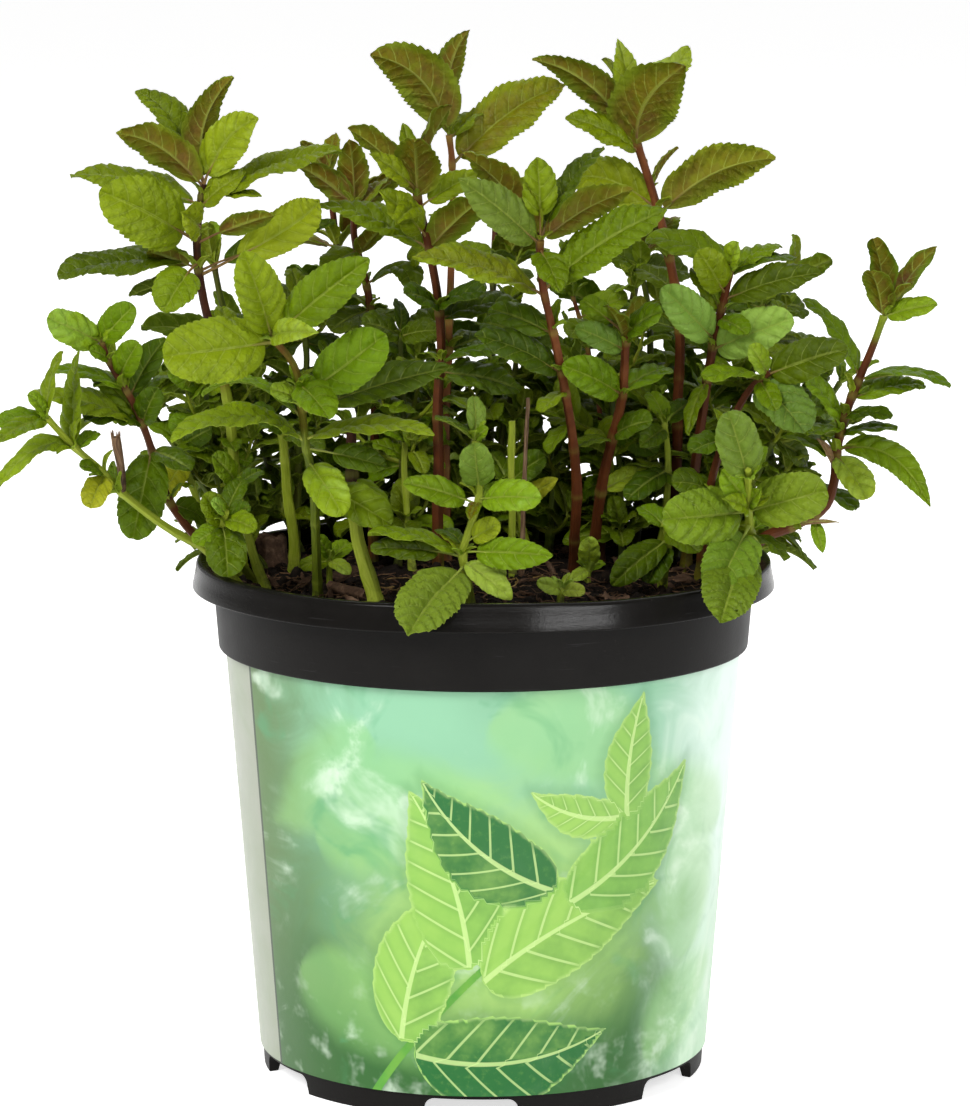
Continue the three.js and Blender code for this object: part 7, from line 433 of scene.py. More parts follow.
 ("shoot_back_7", "green", (0.65,1.05), ((82,34.7,150),(78.41,32.4,145.19),(74.49,30.09,140.06),(70.24,27.78,134.6),(65.67,25.4,128.82),(60.78,22.87,122.7),(55.55,20.08,116.27),(50,16.37,110.8)), [(54.63,19.58,115.15,57.94,16.98,117.47,58.64,14.22,118.47,0.806,0.592,-0.019,4.73,0.1,0.14,0.317,0,0),
  (64.86,24.99,127.8,61.89,29.21,134.53,55.9,33.09,137.69,0.739,-0.005,0.674,8.22,0.11,0.14,0.354,0,0),
  (64.86,24.99,127.8,75.58,19.68,129.23,84.68,13.89,123.86,0.232,0.069,0.97,12.15,0.11,0.14,0.26,0,0),
  (73.76,29.69,139.12,79.31,36.62,142.67,82.74,45.47,141.49,0.381,-0.345,0.858,8.85,0.13,0.14,0.573,0,0),
  (73.76,29.69,139.12,76.77,28.38,148.37,76.03,23.07,156.07,0.653,0.731,0.198,9.24,0.11,0.14,0.611,0,0),
  (81.85,34.6,149.8,82.84,38.04,154.4,81.23,42.8,157.36,0.78,-0.391,0.488,5.12,0.14,0.14,0.637,0,0),
  (81.85,34.6,149.8,85.72,35.33,153.7,91.01,34.5,155.14,-0.438,0.48,0.76,4.94,0.11,0.14,0.69,0,0)]),
 ("shoot_back_8", "purple", (0.7,1.1), ((-12,42,158),(-12,40.63,152.11),(-12,39.1,145.89),(-12,37.41,139.35),(-12,35.55,132.48),(-12,33.53,125.28),(-12,31.35,117.76),(-12,29,110.8)), [(-12,31,116.59,-2.11,33.48,119.86,7.77,35.52,117.27,-0.078,0.192,0.978,9.92,0.15,0.14,0.316,0,0),
  (-12,31,116.59,-20.34,32.25,122.52,-30.6,31.35,123.08,0.314,0.351,0.882,9.93,0.14,0.14,0.357,0,0),
  (-12,35.3,131.58,-14.76,46.71,132.68,-17.59,56.26,126.48,0.003,0.237,0.971,11.87,0.13,0.14,0.365,0,0),
  (-12,35.3,131.58,-12.69,26.02,139.93,-12.87,13.54,141.56,-0.161,0.417,0.895,12.18,0.12,0.14,0.482,0,0),
  (-12,38.88,145.03,-4.49,40.47,152.95,5.76,41.22,155.35,-0.51,0.121,0.851,10.16,0.12,0.14,0.715,0,0),
  (-12,38.88,145.03,-20.13,40.24,150.51,-30.02,39.87,150.62,0.298,0.29,0.91,9.71,0.1,0.14,0.507,0,0),
  (-12,41.94,157.76,-12,43.74,159.94,-12.01,46.62,159.91,0,-0.417,0.909,3.77,0.1,0.14,0.78,0,0),
  (-12,41.94,157.76,-12.26,42.34,163.4,-11.94,38.83,169.53,-0.181,0.95,0.252,5.45,0.15,0.14,0.521,0,0),
  (-12,41.94,157.76,-13.58,41.07,160.39,-14.29,40.25,163.35,0.86,0.269,0.434,2.56,0.05,0.25,0.7,0,0.05),
  (-12,41.94,157.76,-10.34,42.55,160.3,-9.5,42.89,163.3,-0.897,-0.12,0.425,2.56,0.05,0.25,0.7,0,0.05)]),
 ("shoot_back_9", "green", (0.7,1.1), ((20,42,154),(19.29,40.78,148.7),(18.57,39.39,143.08),(17.86,37.84,137.13),(17.14,36.12,130.85),(16.43,34.24,124.25),(15.71,32.2,117.32),(15,30,110.8)), [(15.6,31.86,116.18,20.65,43.15,117.48,24.54,52.86,113.34,-0.347,0.269,0.898,9.31,0.12,0.14,0.225,0,0),
  (15.6,31.86,116.18,8.43,26.19,121.22,1.55,18.37,120.46,-0.05,0.349,0.936,10,0.12,0.14,0.43,0,0),
  (17.04,35.85,129.88,5.13,42.73,132.11,-7.18,47.8,126.71,-0.086,0.088,0.992,11.79,0.15,0.14,0.434,0,0),
  (17.04,35.85,129.88,26.43,29.85,135.77,37.79,24.29,134.56,-0.209,0.02,0.978,11.22,0.12,0.14,0.403,0,0),
  (18.46,39.15,142.16,24.12,43.35,147.02,30.18,48.91,146.84,0.163,-0.578,0.799,8.2,0.13,0.14,0.522,0,0),
  (18.46,39.15,142.16,15.54,35.15,151.07,9.26,28.54,155.8,0.778,0.12,0.617,8.8,0.14,0.14,0.56,0,0),
  (19.97,41.95,153.78,21.1,44.33,159.8,18.56,47.17,165.17,0.977,-0.121,0.176,6.04,0.14,0.14,0.745,0,0),
  (19.97,41.95,153.78,21.86,42.04,159.36,25.95,40.13,163.14,-0.631,0.58,0.516,5.58,0.1,0.14,0.638,0,0),
  (19.97,41.95,153.78,19.29,41.34,156.72,19.22,41.47,159.8,0.632,0.762,0.14,2.56,0.05,0.25,0.7,0,0.05),
  (19.97,41.95,153.78,21.34,43.73,155.89,22.19,44.93,158.6,-0.53,-0.59,0.609,2.56,0.05,0.25,0.7,0,0.05)]),
 ("shoot_back_10", "green", (0.65,1.05), ((-62,64,150),(-57.12,59.88,146.36),(-52.49,56.08,142.07),(-48.1,52.61,137.12),(-43.96,49.47,131.52),(-40.06,46.65,125.27),(-36.41,44.16,118.36),(-33,42,110.8)), [(-36.03,43.93,117.53,-32.24,54.89,121.39,-26.49,65.27,118.4,-0.269,0.081,0.96,11.11,0.12,0.14,0.198,0,0),
  (-36.03,43.93,117.53,-45.67,41.28,119.27,-51.74,36.68,115.81,-0.193,0.189,0.963,10.67,0.11,0.14,0.174,0,0),
  (-43.97,49.48,131.54,-54.5,56.24,127.49,-60.61,62.16,117.47,-0.591,0.111,0.799,11.11,0.1,0.14,0.329,0,0),
  (-43.97,49.48,131.54,-43.38,47.16,140.85,-38.25,40.59,148.28,-0.659,0.548,0.516,9.24,0.12,0.14,0.289,0,0),
  (-52.57,56.15,142.14,-53.14,63.94,145.15,-49.41,71.4,145.96,-0.886,0.069,0.458,8.28,0.14,0.14,0.508,0,0),
  (-52.57,56.15,142.14,-62.25,50.97,144.77,-67.33,41.33,148.88,-0.715,0.699,-0.029,10.55,0.11,0.14,0.532,0,0),
  (-61.82,63.85,149.87,-65.57,66.53,151.91,-69.39,69.71,151.06,0.022,-0.172,0.985,4.8,0.11,0.14,0.714,0,0),
  (-61.82,63.85,149.87,-64.87,66.38,153.48,-64.92,69.19,158.04,-0.949,-0.091,-0.301,4.9,0.1,0.14,0.735,0,0),
  (-61.82,63.85,149.87,-64.77,63.83,151.27,-67.41,64.73,152.81,0.248,0.95,0.187,2.67,0.05,0.25,0.7,0,0.05),
  (-61.82,63.85,149.87,-62.57,66.71,151.14,-64.18,69.06,152.65,-0.83,-0.504,0.239,2.67,0.05,0.25,0.7,0,0.05)]),
 ("shoot_back_11", "green", (0.65,1.05), ((60,66,148),(55.41,61.73,144.68),(51.06,57.8,140.71),(46.96,54.18,136.09),(43.1,50.9,130.81),(39.49,47.94,124.88),(36.12,45.31,118.29),(33,43,110.8)), [(43.14,50.93,130.85,40.53,61.11,136.52,32.95,70.31,137.24,0.701,0.138,0.699,11.59,0.12,0.14,0.361,0,0),
  (43.14,50.93,130.85,55.23,43.84,135.23,65.08,33.2,132.25,0.328,0.471,0.819,14.38,0.14,0.14,0.464,0,0),
  (51.17,57.9,140.81,62.14,61.12,137.48,70.82,60.15,129.39,0.341,0.619,0.708,10.64,0.13,0.14,0.512,0,0),
  (51.17,57.9,140.81,49.97,62.87,150.11,42.8,66.58,157.5,0.892,0.373,0.254,9.84,0.11,0.14,0.483,0,0),
  (59.83,65.84,147.88,62.32,70.55,150.55,62.58,76.49,150.8,0.631,-0.352,0.691,5.51,0.1,0.14,0.814,0,0),
  (59.83,65.84,147.88,63.44,68.6,150.37,67.86,68.53,153.09,-0.274,0.959,-0.073,4.65,0.15,0.14,0.616,0,0)]),
 ("shoot_back_12", "green", (0.65,1), ((22,74,142),(20.33,69.49,139.6),(18.73,65.39,136.46),(17.22,61.69,132.59),(15.8,58.41,127.98),(14.45,55.53,122.64),(13.18,53.06,116.56),(12,51,110.8)), [(12.97,52.69,115.34,1.45,54.16,117.6,-9.43,54.75,113,-0.091,0.13,0.987,12.12,0.1,0.14,0.398,0,0),
  (17.03,61.24,131.95,17.45,71.31,130.56,14.82,79.3,124.84,0.532,0.366,0.764,9.13,0.15,0.14,0.563,0,0),
  (17.03,61.24,131.95,20.4,57.91,140.53,24.22,49.75,145.45,0.143,0.79,0.596,9.47,0.14,0.14,0.421,0,0),
  (21.93,73.82,141.91,24.5,79.22,144.71,29.81,83.1,145.41,-0.725,0.406,0.556,6.36,0.14,0.14,0.613,0,0),
  (21.93,73.82,141.91,22.88,78.52,145.26,20.41,82.85,148.32,0.991,0.105,0.087,5.3,0.1,0.14,0.82,0,0),
  (21.93,73.82,141.91,21.4,76.78,142.58,21.73,79.64,143.69,0.881,-0.111,0.46,2.56,0.05,0.25,0.7,0,0.05),
  (21.93,73.82,141.91,24.1,75.25,143.57,25.63,77.42,145.14,-0.641,0.759,-0.111,2.56,0.05,0.25,0.7,0,0.05)]),
 ("shoot_back_13", "green", (0.65,1), ((-22,74,142),(-20.47,69.49,139.55),(-19.02,65.39,136.37),(-17.65,61.69,132.45),(-16.37,58.41,127.8),(-15.16,55.53,122.42),(-14.04,53.06,116.3),(-13,51,110.8)), [(-13.85,52.69,115.05,-6.94,59.51,117.2,1.69,63.29,115.63,-0.163,0.187,0.969,7.54,0.13,0.14,0.318,0,0),
  (-13.85,52.69,115.05,-18.93,43.05,119.73,-23.75,32,117.58,0.109,0.069,0.992,10.7,0.12,0.14,0.223,0,0),
  (-17.47,61.22,131.78,-23.02,70.54,132.21,-28.9,77.9,126.8,0.051,0.317,0.947,9.68,0.13,0.14,0.448,0,0),
  (-17.47,61.22,131.78,-12.55,60.05,141.18,-6.68,53.53,147.25,-0.149,0.84,0.522,10.09,0.13,0.14,0.436,0,0),
  (-21.94,73.82,141.9,-21.76,78.61,142.71,-18.89,82.51,143.16,-0.941,0.311,0.13,4.91,0.11,0.14,0.603,0,0),
  (-21.94,73.82,141.9,-24.84,77.77,144.31,-29.43,79.06,146.97,0.534,0.842,-0.082,5.26,0.12,0.14,0.724,0,0),
  (-21.94,73.82,141.9,-23.63,76.42,141.78,-24.66,79.33,142.34,0.551,0.207,0.809,2.56,0.05,0.25,0.7,0,0.05),
  (-21.94,73.82,141.9,-21.52,75.82,144.21,-21.85,78.25,146.08,-0.774,0.443,-0.452,2.56,0.05,0.25,0.7,0,0.05)]),
]

# ---------------------------------------------------------------- mesh building
FLOATS = ("tone", "purple", "yellow", "under", "across", "vein", "rib", "rnd", "reach", "stalk")


class Build:
    """Collects vertices in millimetres, faces with their own UVs, and named numbers for the materials."""

    def __init__(self):
        self.v, self.n = [], 0
        self.quads, self.qmat, self.quv = [], [], []
        self.tris, self.tmat, self.tuv = [], [], []
        self.att = {k: [] for k in FLOATS}
        self.flat = []  # (x, y along the blade, seed) for patterns
        self.islands = []  # [width, height]
        self.qisl, self.tisl = [], []

    def points(self, V, flat=None, **att):
        V = np.asarray(V, float).reshape(-1, 3)
        at = self.n
        self.v.append(V)
        self.n += len(V)
        for k in FLOATS:
            self.att[k].append(np.broadcast_to(np.asarray(att.get(k, 0.0), float), (len(V),)))
        self.flat.append(np.zeros((len(V), 3)) if flat is None else np.asarray(flat, float).reshape(-1, 3))
        return at

    def island(self, uv_list):
        """A new island that holds these UV arrays, in millimetres."""
        lo = np.min([u.reshape(-1, 2).min(0) for u in uv_list], axis=0)
        hi = np.max([u.reshape(-1, 2).max(0) for u in uv_list], axis=0)
        self.islands.append([*(hi - lo)])
        return len(self.islands) - 1, lo

    def grid(self, I, UV, mat, isl, lo):
        """Quads over a grid of vertex numbers I (rows, columns), with UVs of the same shape."""
        q = np.stack([I[:-1, :-1], I[1:, :-1], I[1:, 1:], I[:-1, 1:]], -1).reshape(-1, 4)
        u = np.stack([UV[:-1, :-1], UV[1:, :-1], UV[1:, 1:], UV[:-1, 1:]], -2).reshape(-1, 4, 2) - lo
        self.quads.append(q)
        self.quv.append(u)
        self.qmat.append(np.full(len(q), mat))
        self.qisl.append(np.full(len(q), isl))

    def fan(self, ring, centre, mat, flip=False, r=0.5):
        n = len(ring)
        nxt = np.roll(ring, -1)
        t = np.stack([ring, nxt, np.full(n, centre)], -1)
        if flip:
            t = t[:, ::-1]
        w = np.arange(n) * 2 * np.pi / n
        a = np.stack([np.cos(w), np.sin(w)], -1) * r
        u = np.stack([a, np.roll(a, -1, 0), np.zeros_like(a)], 1)
        if flip:
            u = u[:, ::-1]
        isl, lo = self.island([u])
        self.tris.append(t)
        self.tuv.append(u - lo)
        self.tmat.append(np.full(n, mat))
        self.tisl.append(np.full(n, isl))

    def pack(self):
        """Places for the islands in the unit square: shelves, tallest first."""
        gap = 0.35
        size = np.array(self.islands) + gap
        turn = size[:, 0] < size[:, 1]
        w = np.where(turn, size[:, 1], size[:, 0])
        h = np.where(turn, size[:, 0], size[:, 1])
        order = np.argsort(-h, kind="stable")
        side = max(math.sqrt((w * h).sum()) * 1.03, w.max())
        while True:
            place, x, y, shelf = np.zeros((len(w), 2)), 0.0, 0.0, 0.0
            for i in order:
                if x + w[i] > side:
                    x, y, shelf = 0.0, y + shelf, 0.0
                place[i] = x, y
                shelf = max(shelf, h[i])
                x += w[i]
            if y + shelf <= side:
                return place, turn, side, gap
            side *= 1.02

    def object(self, name, materials, sharp=50, smooth=True):
        V = np.concatenate(self.v) * MM
        quads = np.concatenate(self.quads) if self.quads else np.zeros((0, 4), int)
        tris = np.concatenate(self.tris) if self.tris else np.zeros((0, 3), int)
        me = bpy.data.meshes.new(name)
        me.vertices.add(len(V))
        me.vertices.foreach_set("co", V.astype(np.float32).ravel())
        loops = np.concatenate([quads.ravel(), tris.ravel()])
        me.loops.add(len(loops))
        me.loops.foreach_set("vertex_index", loops.astype(np.int32))
        start = np.concatenate([np.arange(len(quads)) * 4, len(quads) * 4 + np.arange(len(tris)) * 3])
        me.polygons.add(len(start))
        me.polygons.foreach_set("loop_start", start.astype(np.int32))
        mats = np.concatenate(self.qmat + self.tmat)
        me.polygons.foreach_set("material_index", mats.astype(np.int32))
        me.update(calc_edges=True)
        place, turn, side, gap = self.pack()
        uv = []
        for us, isl in ((self.quv, self.qisl), (self.tuv, self.tisl)):
            if not us:
                continue
            u, i = np.concatenate(us), np.concatenate(isl)
            t = turn[i]
            u[t] = u[t][..., ::-1] * (1, 1)
            uv.append(((u + place[i][:, None, :] + gap / 2) / side).reshape(-1, 2))
        layer = me.uv_layers.new(name="OFBake")
        layer.data.foreach_set("uv", np.concatenate(uv).astype(np.float32).ravel())
        for k in FLOATS:
            a = me.attributes.new(k, "FLOAT", "POINT")
            a.data.foreach_set("value", np.concatenate(self.att[k]).astype(np.float32))
        a = me.attributes.new("flat", "FLOAT_VECTOR", "POINT")
        a.data.foreach_set("vector", np.concatenate(self.flat).astype(np.float32).ravel())
        me.polygons.foreach_set("use_smooth", np.full(len(start), smooth))
        for m in materials:
            me.materials.append(m)
        if smooth and sharp:
            me.set_sharp_from_angle(angle=math.radians(sharp))
        me.validate(clean_customdata=False)
        ob = bpy.data.objects.new(name, me)
        bpy.context.scene.collection.objects.link(ob)
        return ob


def unit(a):
    a = np.asarray(a, float)
    return a / np.maximum(np.linalg.norm(a, axis=-1, keepdims=True), 1e-9)


def tube(b, P, R, sides, mat, section=None, caps=(True, True), flat_seed=0.0, start=None, **att):
    """A tube along points P with radii R. section(angles) scales the radius round the ring."""
    P = np.asarray(P, float)
    R = np.broadcast_to(np.asarray(R, float), (len(P),))
    T = unit(np.gradient(P, axis=0))
    u = np.array([1.0, 0, 0]) if start is None else np.asarray(start, float)
    if abs(u @ T[0]) > 0.9:
        u = np.array([0.0, 1, 0])
    w = np.arange(sides) * 2 * np.pi / sides
    k = section(w) if section else np.ones(sides)
    rings, length = [], np.concatenate([[0], np.cumsum(np.linalg.norm(np.diff(P, axis=0), axis=1))])
    for i in range(len(P)):
        u = unit(u - T[i] * (u @ T[i]))
        v = np.cross(T[i], u)
        kk = k if k.ndim == 1 else k[i]
        rings.append(P[i] + R[i] * kk[:, None] * (np.cos(w)[:, None] * u + np.sin(w)[:, None] * v))
    V = np.array(rings)
    around = np.linspace(0, 1, sides, endpoint=False)
    flat = np.stack(np.broadcast_arrays(around[None, :] * 2 * np.pi * R[:, None], length[:, None], np.full((len(P), 1), flat_seed)), -1)
    spread = {k2: np.repeat(np.asarray(x, float), sides) if np.ndim(x) == 1 else x for k2, x in att.items()}
    at = b.points(V, flat, **spread)
    I = at + np.arange(len(P) * sides).reshape(len(P), sides)
    I2 = np.concatenate([I, I[:, :1]], 1)[:, ::-1]
    circ = 2 * np.pi * R.max()
    UV = np.stack(np.broadcast_arrays(np.linspace(0, circ, sides + 1)[None, :], length[:, None]), -1)[:, ::-1]
    isl, lo = b.island([UV])
    b.grid(I2, UV, mat, isl, lo)
    for end, on in ((0, caps[0]), (-1, caps[1])):
        if on:
            one = {k2: (x[end] if np.ndim(x) == 1 else x) for k2, x in att.items()}
            c = b.points(P[end][None], [[0, length[end], flat_seed]], **one)
            b.fan(I[end], c, mat, flip=(end == 0), r=max(R[end], 0.1))
    return V


def half_width(s):
    """Outline of a mint leaf: half width over its greatest, along the blade."""
    m = 0.40
    a = np.sqrt(np.clip(1 - (np.clip(m - s, 0, None) / m) ** 2.2, 0, 1))
    c = np.cos(np.pi / 2 * np.clip((s - m) / (1 - m), 0, 1)) ** 1.12
    return np.where(s < m, a, c)


def smooth(a, b, x):
    t = np.clip((np.asarray(x, float) - a) / (b - a), 0, 1)
    return t * t * (3 - 2 * t)


def outline(s, ratio, old=0.0):
    """The same outline with a fuller tip, blunter on a broad or an old leaf. ratio is width over length."""
    m = 0.42 + 0.03 * old
    a = np.sqrt(np.clip(1 - (np.clip(m - s, 0, None) / m) ** 2.2, 0, 1))
    x = np.clip((s - m) / (1 - m), 0, 1)
    e = np.interp(ratio, [0.36, 0.62], [1.85, 2.40]) + 0.6 * old * np.interp(ratio, [0.34, 0.48], [0.2, 1.0])
    f = np.interp(ratio, [0.36, 0.62], [1.0, 0.80]) - 0.34 * old * np.interp(ratio, [0.34, 0.48], [0.2, 1.0])
    return np.where(s < m, a, (1 - x ** e) ** f)


LEAF, STEM = 0, 1


def leaf(b, A, C, T, n, W, stalk, fold, tint, seed, red=0.0, detail=1.0):
    """One leaf as a thin closed blade with toothed edges, quilted between its veins, on a stalk that runs on as the midrib."""
    rng = np.random.RandomState(seed)
    A, C, T, n = (np.asarray(x, float) for x in (A, C, T, n))
    tt = np.linspace(0, 1, 41)[:, None]
    path = (1 - tt) ** 2 * A + 2 * tt * (1 - tt) * C + tt ** 2 * T
    L = np.linalg.norm(np.diff(path, axis=0), axis=1).sum()
    stalk = min(stalk, 6.0 / L)  # a mint leaf sits on a short stalk
    blade = L * (1 - stalk)
    big = blade * detail > 13
    old = 1 - smooth(160, 200, A[2])  # leaves low on the plant are blunt, with faint teeth
    teeth = int(np.clip(round(blade / 1.9), 4, 18))
    steps = np.array([0, 0.3, 0.62, 0.88]) if big else np.array([0, 0.45, 0.85])
    saw = np.array([0.0, 0.45, 0.85, 1.0]) if big else np.array([0.0, 0.6, 1.0])
    s0, s1 = 0.13, 0.95
    body = (np.arange(teeth)[:, None] + steps[None, :]).ravel() / teeth
    s = np.concatenate([[0.003, 0.02, 0.055, 0.09], s0 + (s1 - s0) * body, [s1, 0.972, 0.991]])
    tooth = np.concatenate([[0, 0, 0, 0], np.tile(saw, teeth), [0, 0.3, 0.5]])
    grow = smooth(0.1, 0.3, s) * (1 - 0.55 * smooth(0.75, 1.0, s))
    u = np.array([0, 0.045, 0.16, 0.32, 0.5, 0.68, 0.84, 0.945, 1.0]) if big else np.array([0, 0.09, 0.33, 0.62, 0.88, 1.0])
    u = np.concatenate([-u[:0:-1], u])
    r = np.abs(u)
    half = W / 2 * outline(s, W / blade, old)
    t = stalk + (1 - stalk) * s
    P = (1 - t)[:, None] ** 2 * A + 2 * (t * (1 - t))[:, None] * C + t[:, None] ** 2 * T
    D = unit(2 * (1 - t)[:, None] * (C - A) + 2 * t[:, None] * (T - C))
    S = unit(np.cross(n, D))
    N = np.cross(D, S)
    # a slight twist and a wandering midrib, none alike
    twist = rng.normal(0, 0.22) * (s - 0.4) + rng.normal(0, 0.05)
    S, N = (S * np.cos(twist)[:, None] + N * np.sin(twist)[:, None], N * np.cos(twist)[:, None] - S * np.sin(twist)[:, None])
    sway = W * 0.035 * rng.uniform(-1, 1) * np.sin(np.pi * s)
    cut = min(0.38, 0.030 * W) * rng.uniform(0.8, 1.25) * (1 - 0.38 * old)  # depth of the teeth
    lean = 1 + 0.05 * rng.uniform(-1, 1) * np.sign(u)[None, :]
    edge = smooth(0.72, 1.0, r)
    x = u[None, :] * half[:, None] * lean
    x = x - np.sign(u)[None, :] * edge[None, :] * (cut * grow * (1 - tooth))[:, None]
    x = x + np.sign(u)[None, :] * (smooth(0.9, 1.0, r)[None, :] * 0.25 * cut * (grow * tooth)[:, None])
    y = s[:, None] * blade + 0 * x
    # each side of the blade bulges between veins that leave the midrib at a slant and bend forward
    hmax = W / 2
    ax = np.abs(x)
    pairs = np.clip(round(blade / 3.7), 4, 9)
    gap = blade * 0.98 / pairs
    shift = np.where(u >= 0, 0.0, 0.42) + rng.uniform(0, 1)
    vein = (y - (0.72 * ax + 0.38 * ax * ax / hmax)) / gap + shift[None, :]
    bulge = np.abs(np.sin(np.pi * vein)) ** 0.75 - 0.55
    window = (smooth(0.0, 0.30, r) * (1 - 0.65 * smooth(0.65, 1.0, r)))[None, :] * (smooth(0.02, 0.2, s) * (1 - 0.5 * smooth(0.75, 1, s)))[:, None]
    quilt = min(0.095 * W, 1.3) * rng.uniform(0.75, 1.25)
    z = half[:, None] * fold * 0.5 * r[None, :] ** 1.1
    z = z + half[:, None] * 0.12 * np.sin(np.pi * np.clip(r, 0, 1)) [None, :]
    z = z + quilt * bulge * window
    z = z - min(0.05 * W, 0.45) * np.exp(-(x / (0.05 * W + 0.12)) ** 2)
    waves = rng.uniform(1.6, 2.8)
    p1, p2 = rng.uniform(0, 6.28, 2)
    phase = np.where(u >= 0, p1, p2)
    z = z + (rng.uniform(0.025, 0.070) * W) * (r ** 3)[None, :] * np.sin(2 * np.pi * waves * s[:, None] + phase[None, :]) * smooth(0, 0.25, s)[:, None]
    thick = 0.13 + 0.12 * (1 - r)[None, :] + 0 * x
    x = x + sway[:, None]
    top = P[:, None, :] + S[:, None, :] * x[..., None] + N[:, None, :] * z[..., None]
    low = top - N[:, None, :] * thick[..., None]
    g, p, yellow_and_sheen = tint
    g = g + rng.normal(0, 0.055)
    rnd = rng.uniform(0, 1) - 0.9 * old
    if L * stalk > 9:
        red = min(red, 0.15)
    across = np.broadcast_to(r[None, :], x.shape)
    common = dict(tone=g, purple=p, yellow=yellow_and_sheen, across=across.ravel(), vein=vein.ravel(), rnd=rnd, reach=np.broadcast_to(s[:, None], x.shape).ravel(), stalk=red)
    flat = np.stack([x, y, np.full_like(x, seed % 977)], -1)
    a0 = b.points(top, flat, under=0.0, **common)
    a1 = b.points(low, flat, under=1.0, **common)
    ns, nu = x.shape
    I = np.arange(ns * nu).reshape(ns, nu)
    UV = np.stack([x, y], -1)
    for at, flip in ((a0, False), (a1, True)):
        J = at + I
        isl, lo = b.island([UV])
        b.grid(J[:, ::-1] if flip else J, UV[:, ::-1] if flip else UV, LEAF, isl, lo)
    # the edge, from the upper face round to the lower
    loop = np.concatenate([I[0, :-1], I[:-1, -1], I[-1, :0:-1], I[:0:-1, 0]])
    loop = np.append(loop, loop[0])
    run = np.concatenate([[0], np.cumsum(np.linalg.norm(np.diff(UV.reshape(-1, 2)[loop], axis=0), axis=1))])
    J = np.stack([a0 + loop, a1 + loop])
    UVe = np.stack([np.stack([run, np.zeros_like(run)], -1), np.stack([run, np.full_like(run, 0.35)], -1)])
    half_way = len(loop) // 2
    for sl in (slice(0, half_way + 1), slice(half_way, len(loop))):
        isl, lo = b.island([UVe[:, sl]])
        b.grid(J[:, sl], UVe[:, sl], LEAF, isl, lo)
    # stalk and midrib
    if detail > 0.4:
        k = 13 if big else 8
        e = np.linspace(0, 1, k)
        tm = e * (stalk + (1 - stalk) * 0.9)
        sm = np.clip((tm - stalk) / (1 - stalk), 0, 1)
        Pm = (1 - tm)[:, None] ** 2 * A + 2 * (tm * (1 - tm))[:, None] * C + tm[:, None] ** 2 * T
        Sm = np.stack([np.interp(tm, t, S[:, i]) for i in range(3)], -1)
        Nm = np.stack([np.interp(tm, t, N[:, i]) for i in range(3)], -1)
        r0 = np.clip(0.021 * W + 0.18, 0.22, 0.52)
        rad = r0 * np.where(sm > 0, 0.62 * (1 - sm) ** 0.7 + 0.10, 1.05 - 0.33 * tm / max(stalk, 1e-3))
        zc = np.interp(tm, t, z[:, nu // 2])
        drop = smooth(0.0, 0.12, sm) * (rad * 0.5 + 0.05)
        Pm = Pm + Sm * (W * 0 + np.interp(tm, t, sway))[:, None] * (sm > 0)[:, None] + Nm * (zc * smooth(0, 0.12, sm) - drop)[:, None]
        tube(b, Pm, rad, 7 if big else 5, LEAF, caps=(False, True), flat_seed=seed % 977, start=Sm[0],
             tone=g, purple=p, yellow=yellow_and_sheen, rib=1.0, rnd=rnd, under=0.4, reach=sm, stalk=red)


def catmull(P, step=2.0):
    """A smooth line through points P, with a point about every step, and each point's share of the length."""
    P = np.asarray(P, float)
    if len(P) < 3:
        n = max(3, int(np.linalg.norm(P[-1] - P[0]) / step))
        e = np.linspace(0, 1, n)[:, None]
        Q = P[0] * (1 - e) + P[-1] * e
    else:
        E = np.concatenate([[2 * P[0] - P[1]], P, [2 * P[-1] - P[-2]]])
        out = []
        for i in range(1, len(E) - 2):
            p0, p1, p2, p3 = E[i - 1 : i + 3]
            n = max(2, int(round(np.linalg.norm(p2 - p1) / step)))
            for e in np.arange(n) / n:
                # centripetal would be safer, but the points are evenly spread
                out.append(0.5 * ((2 * p1) + (-p0 + p2) * e + (2 * p0 - 5 * p1 + 4 * p2 - p3) * e * e + (-p0 + 3 * p1 - 3 * p2 + p3) * e ** 3))
        out.append(P[-1])
        Q = np.array(out)
    d = np.concatenate([[0], np.cumsum(np.linalg.norm(np.diff(Q, axis=0), axis=1))])
    return Q, d


def noise1(rng, n, step):
    """A smooth random line of n values, changing about every step."""
    k = rng.normal(0, 1, max(4, int(n / step) + 4))
    return np.interp(np.arange(n), np.arange(len(k)) * step, k)


def stem_paint(kind, share):
    """How purple the stem is (0 green, 1 red-purple), and how dark, by height from foot (0) to top (1)."""
    one = np.ones_like(share)
    return {
        "green": (0.05 * one, 0.25 + 0 * one),
        "purple": (0.80 - 0.25 * smooth(0.0, 0.25, 0.25 - share) + 0.1 * smooth(0.5, 1, share), 0.55 * one),
        "purple_top": (smooth(0.42, 0.6, share), 0.25 + 0.5 * smooth(0.42, 0.6, share)),
        "green_dark_top": (0.9 * smooth(0.5, 0.72, share), 0.2 + 0.6 * smooth(0.5, 0.72, share)),
        "red": (one, 0.35 + 0.3 * smooth(0.6, 0.0, share)),
        "pink": (0.72 * one, 0.2 * one),
        "dry": (0.3 * one, 0.4 * one),
        "red_green_top": (1 - 0.85 * smooth(0.86, 0.97, share), 0.5 * one),
    }[kind]


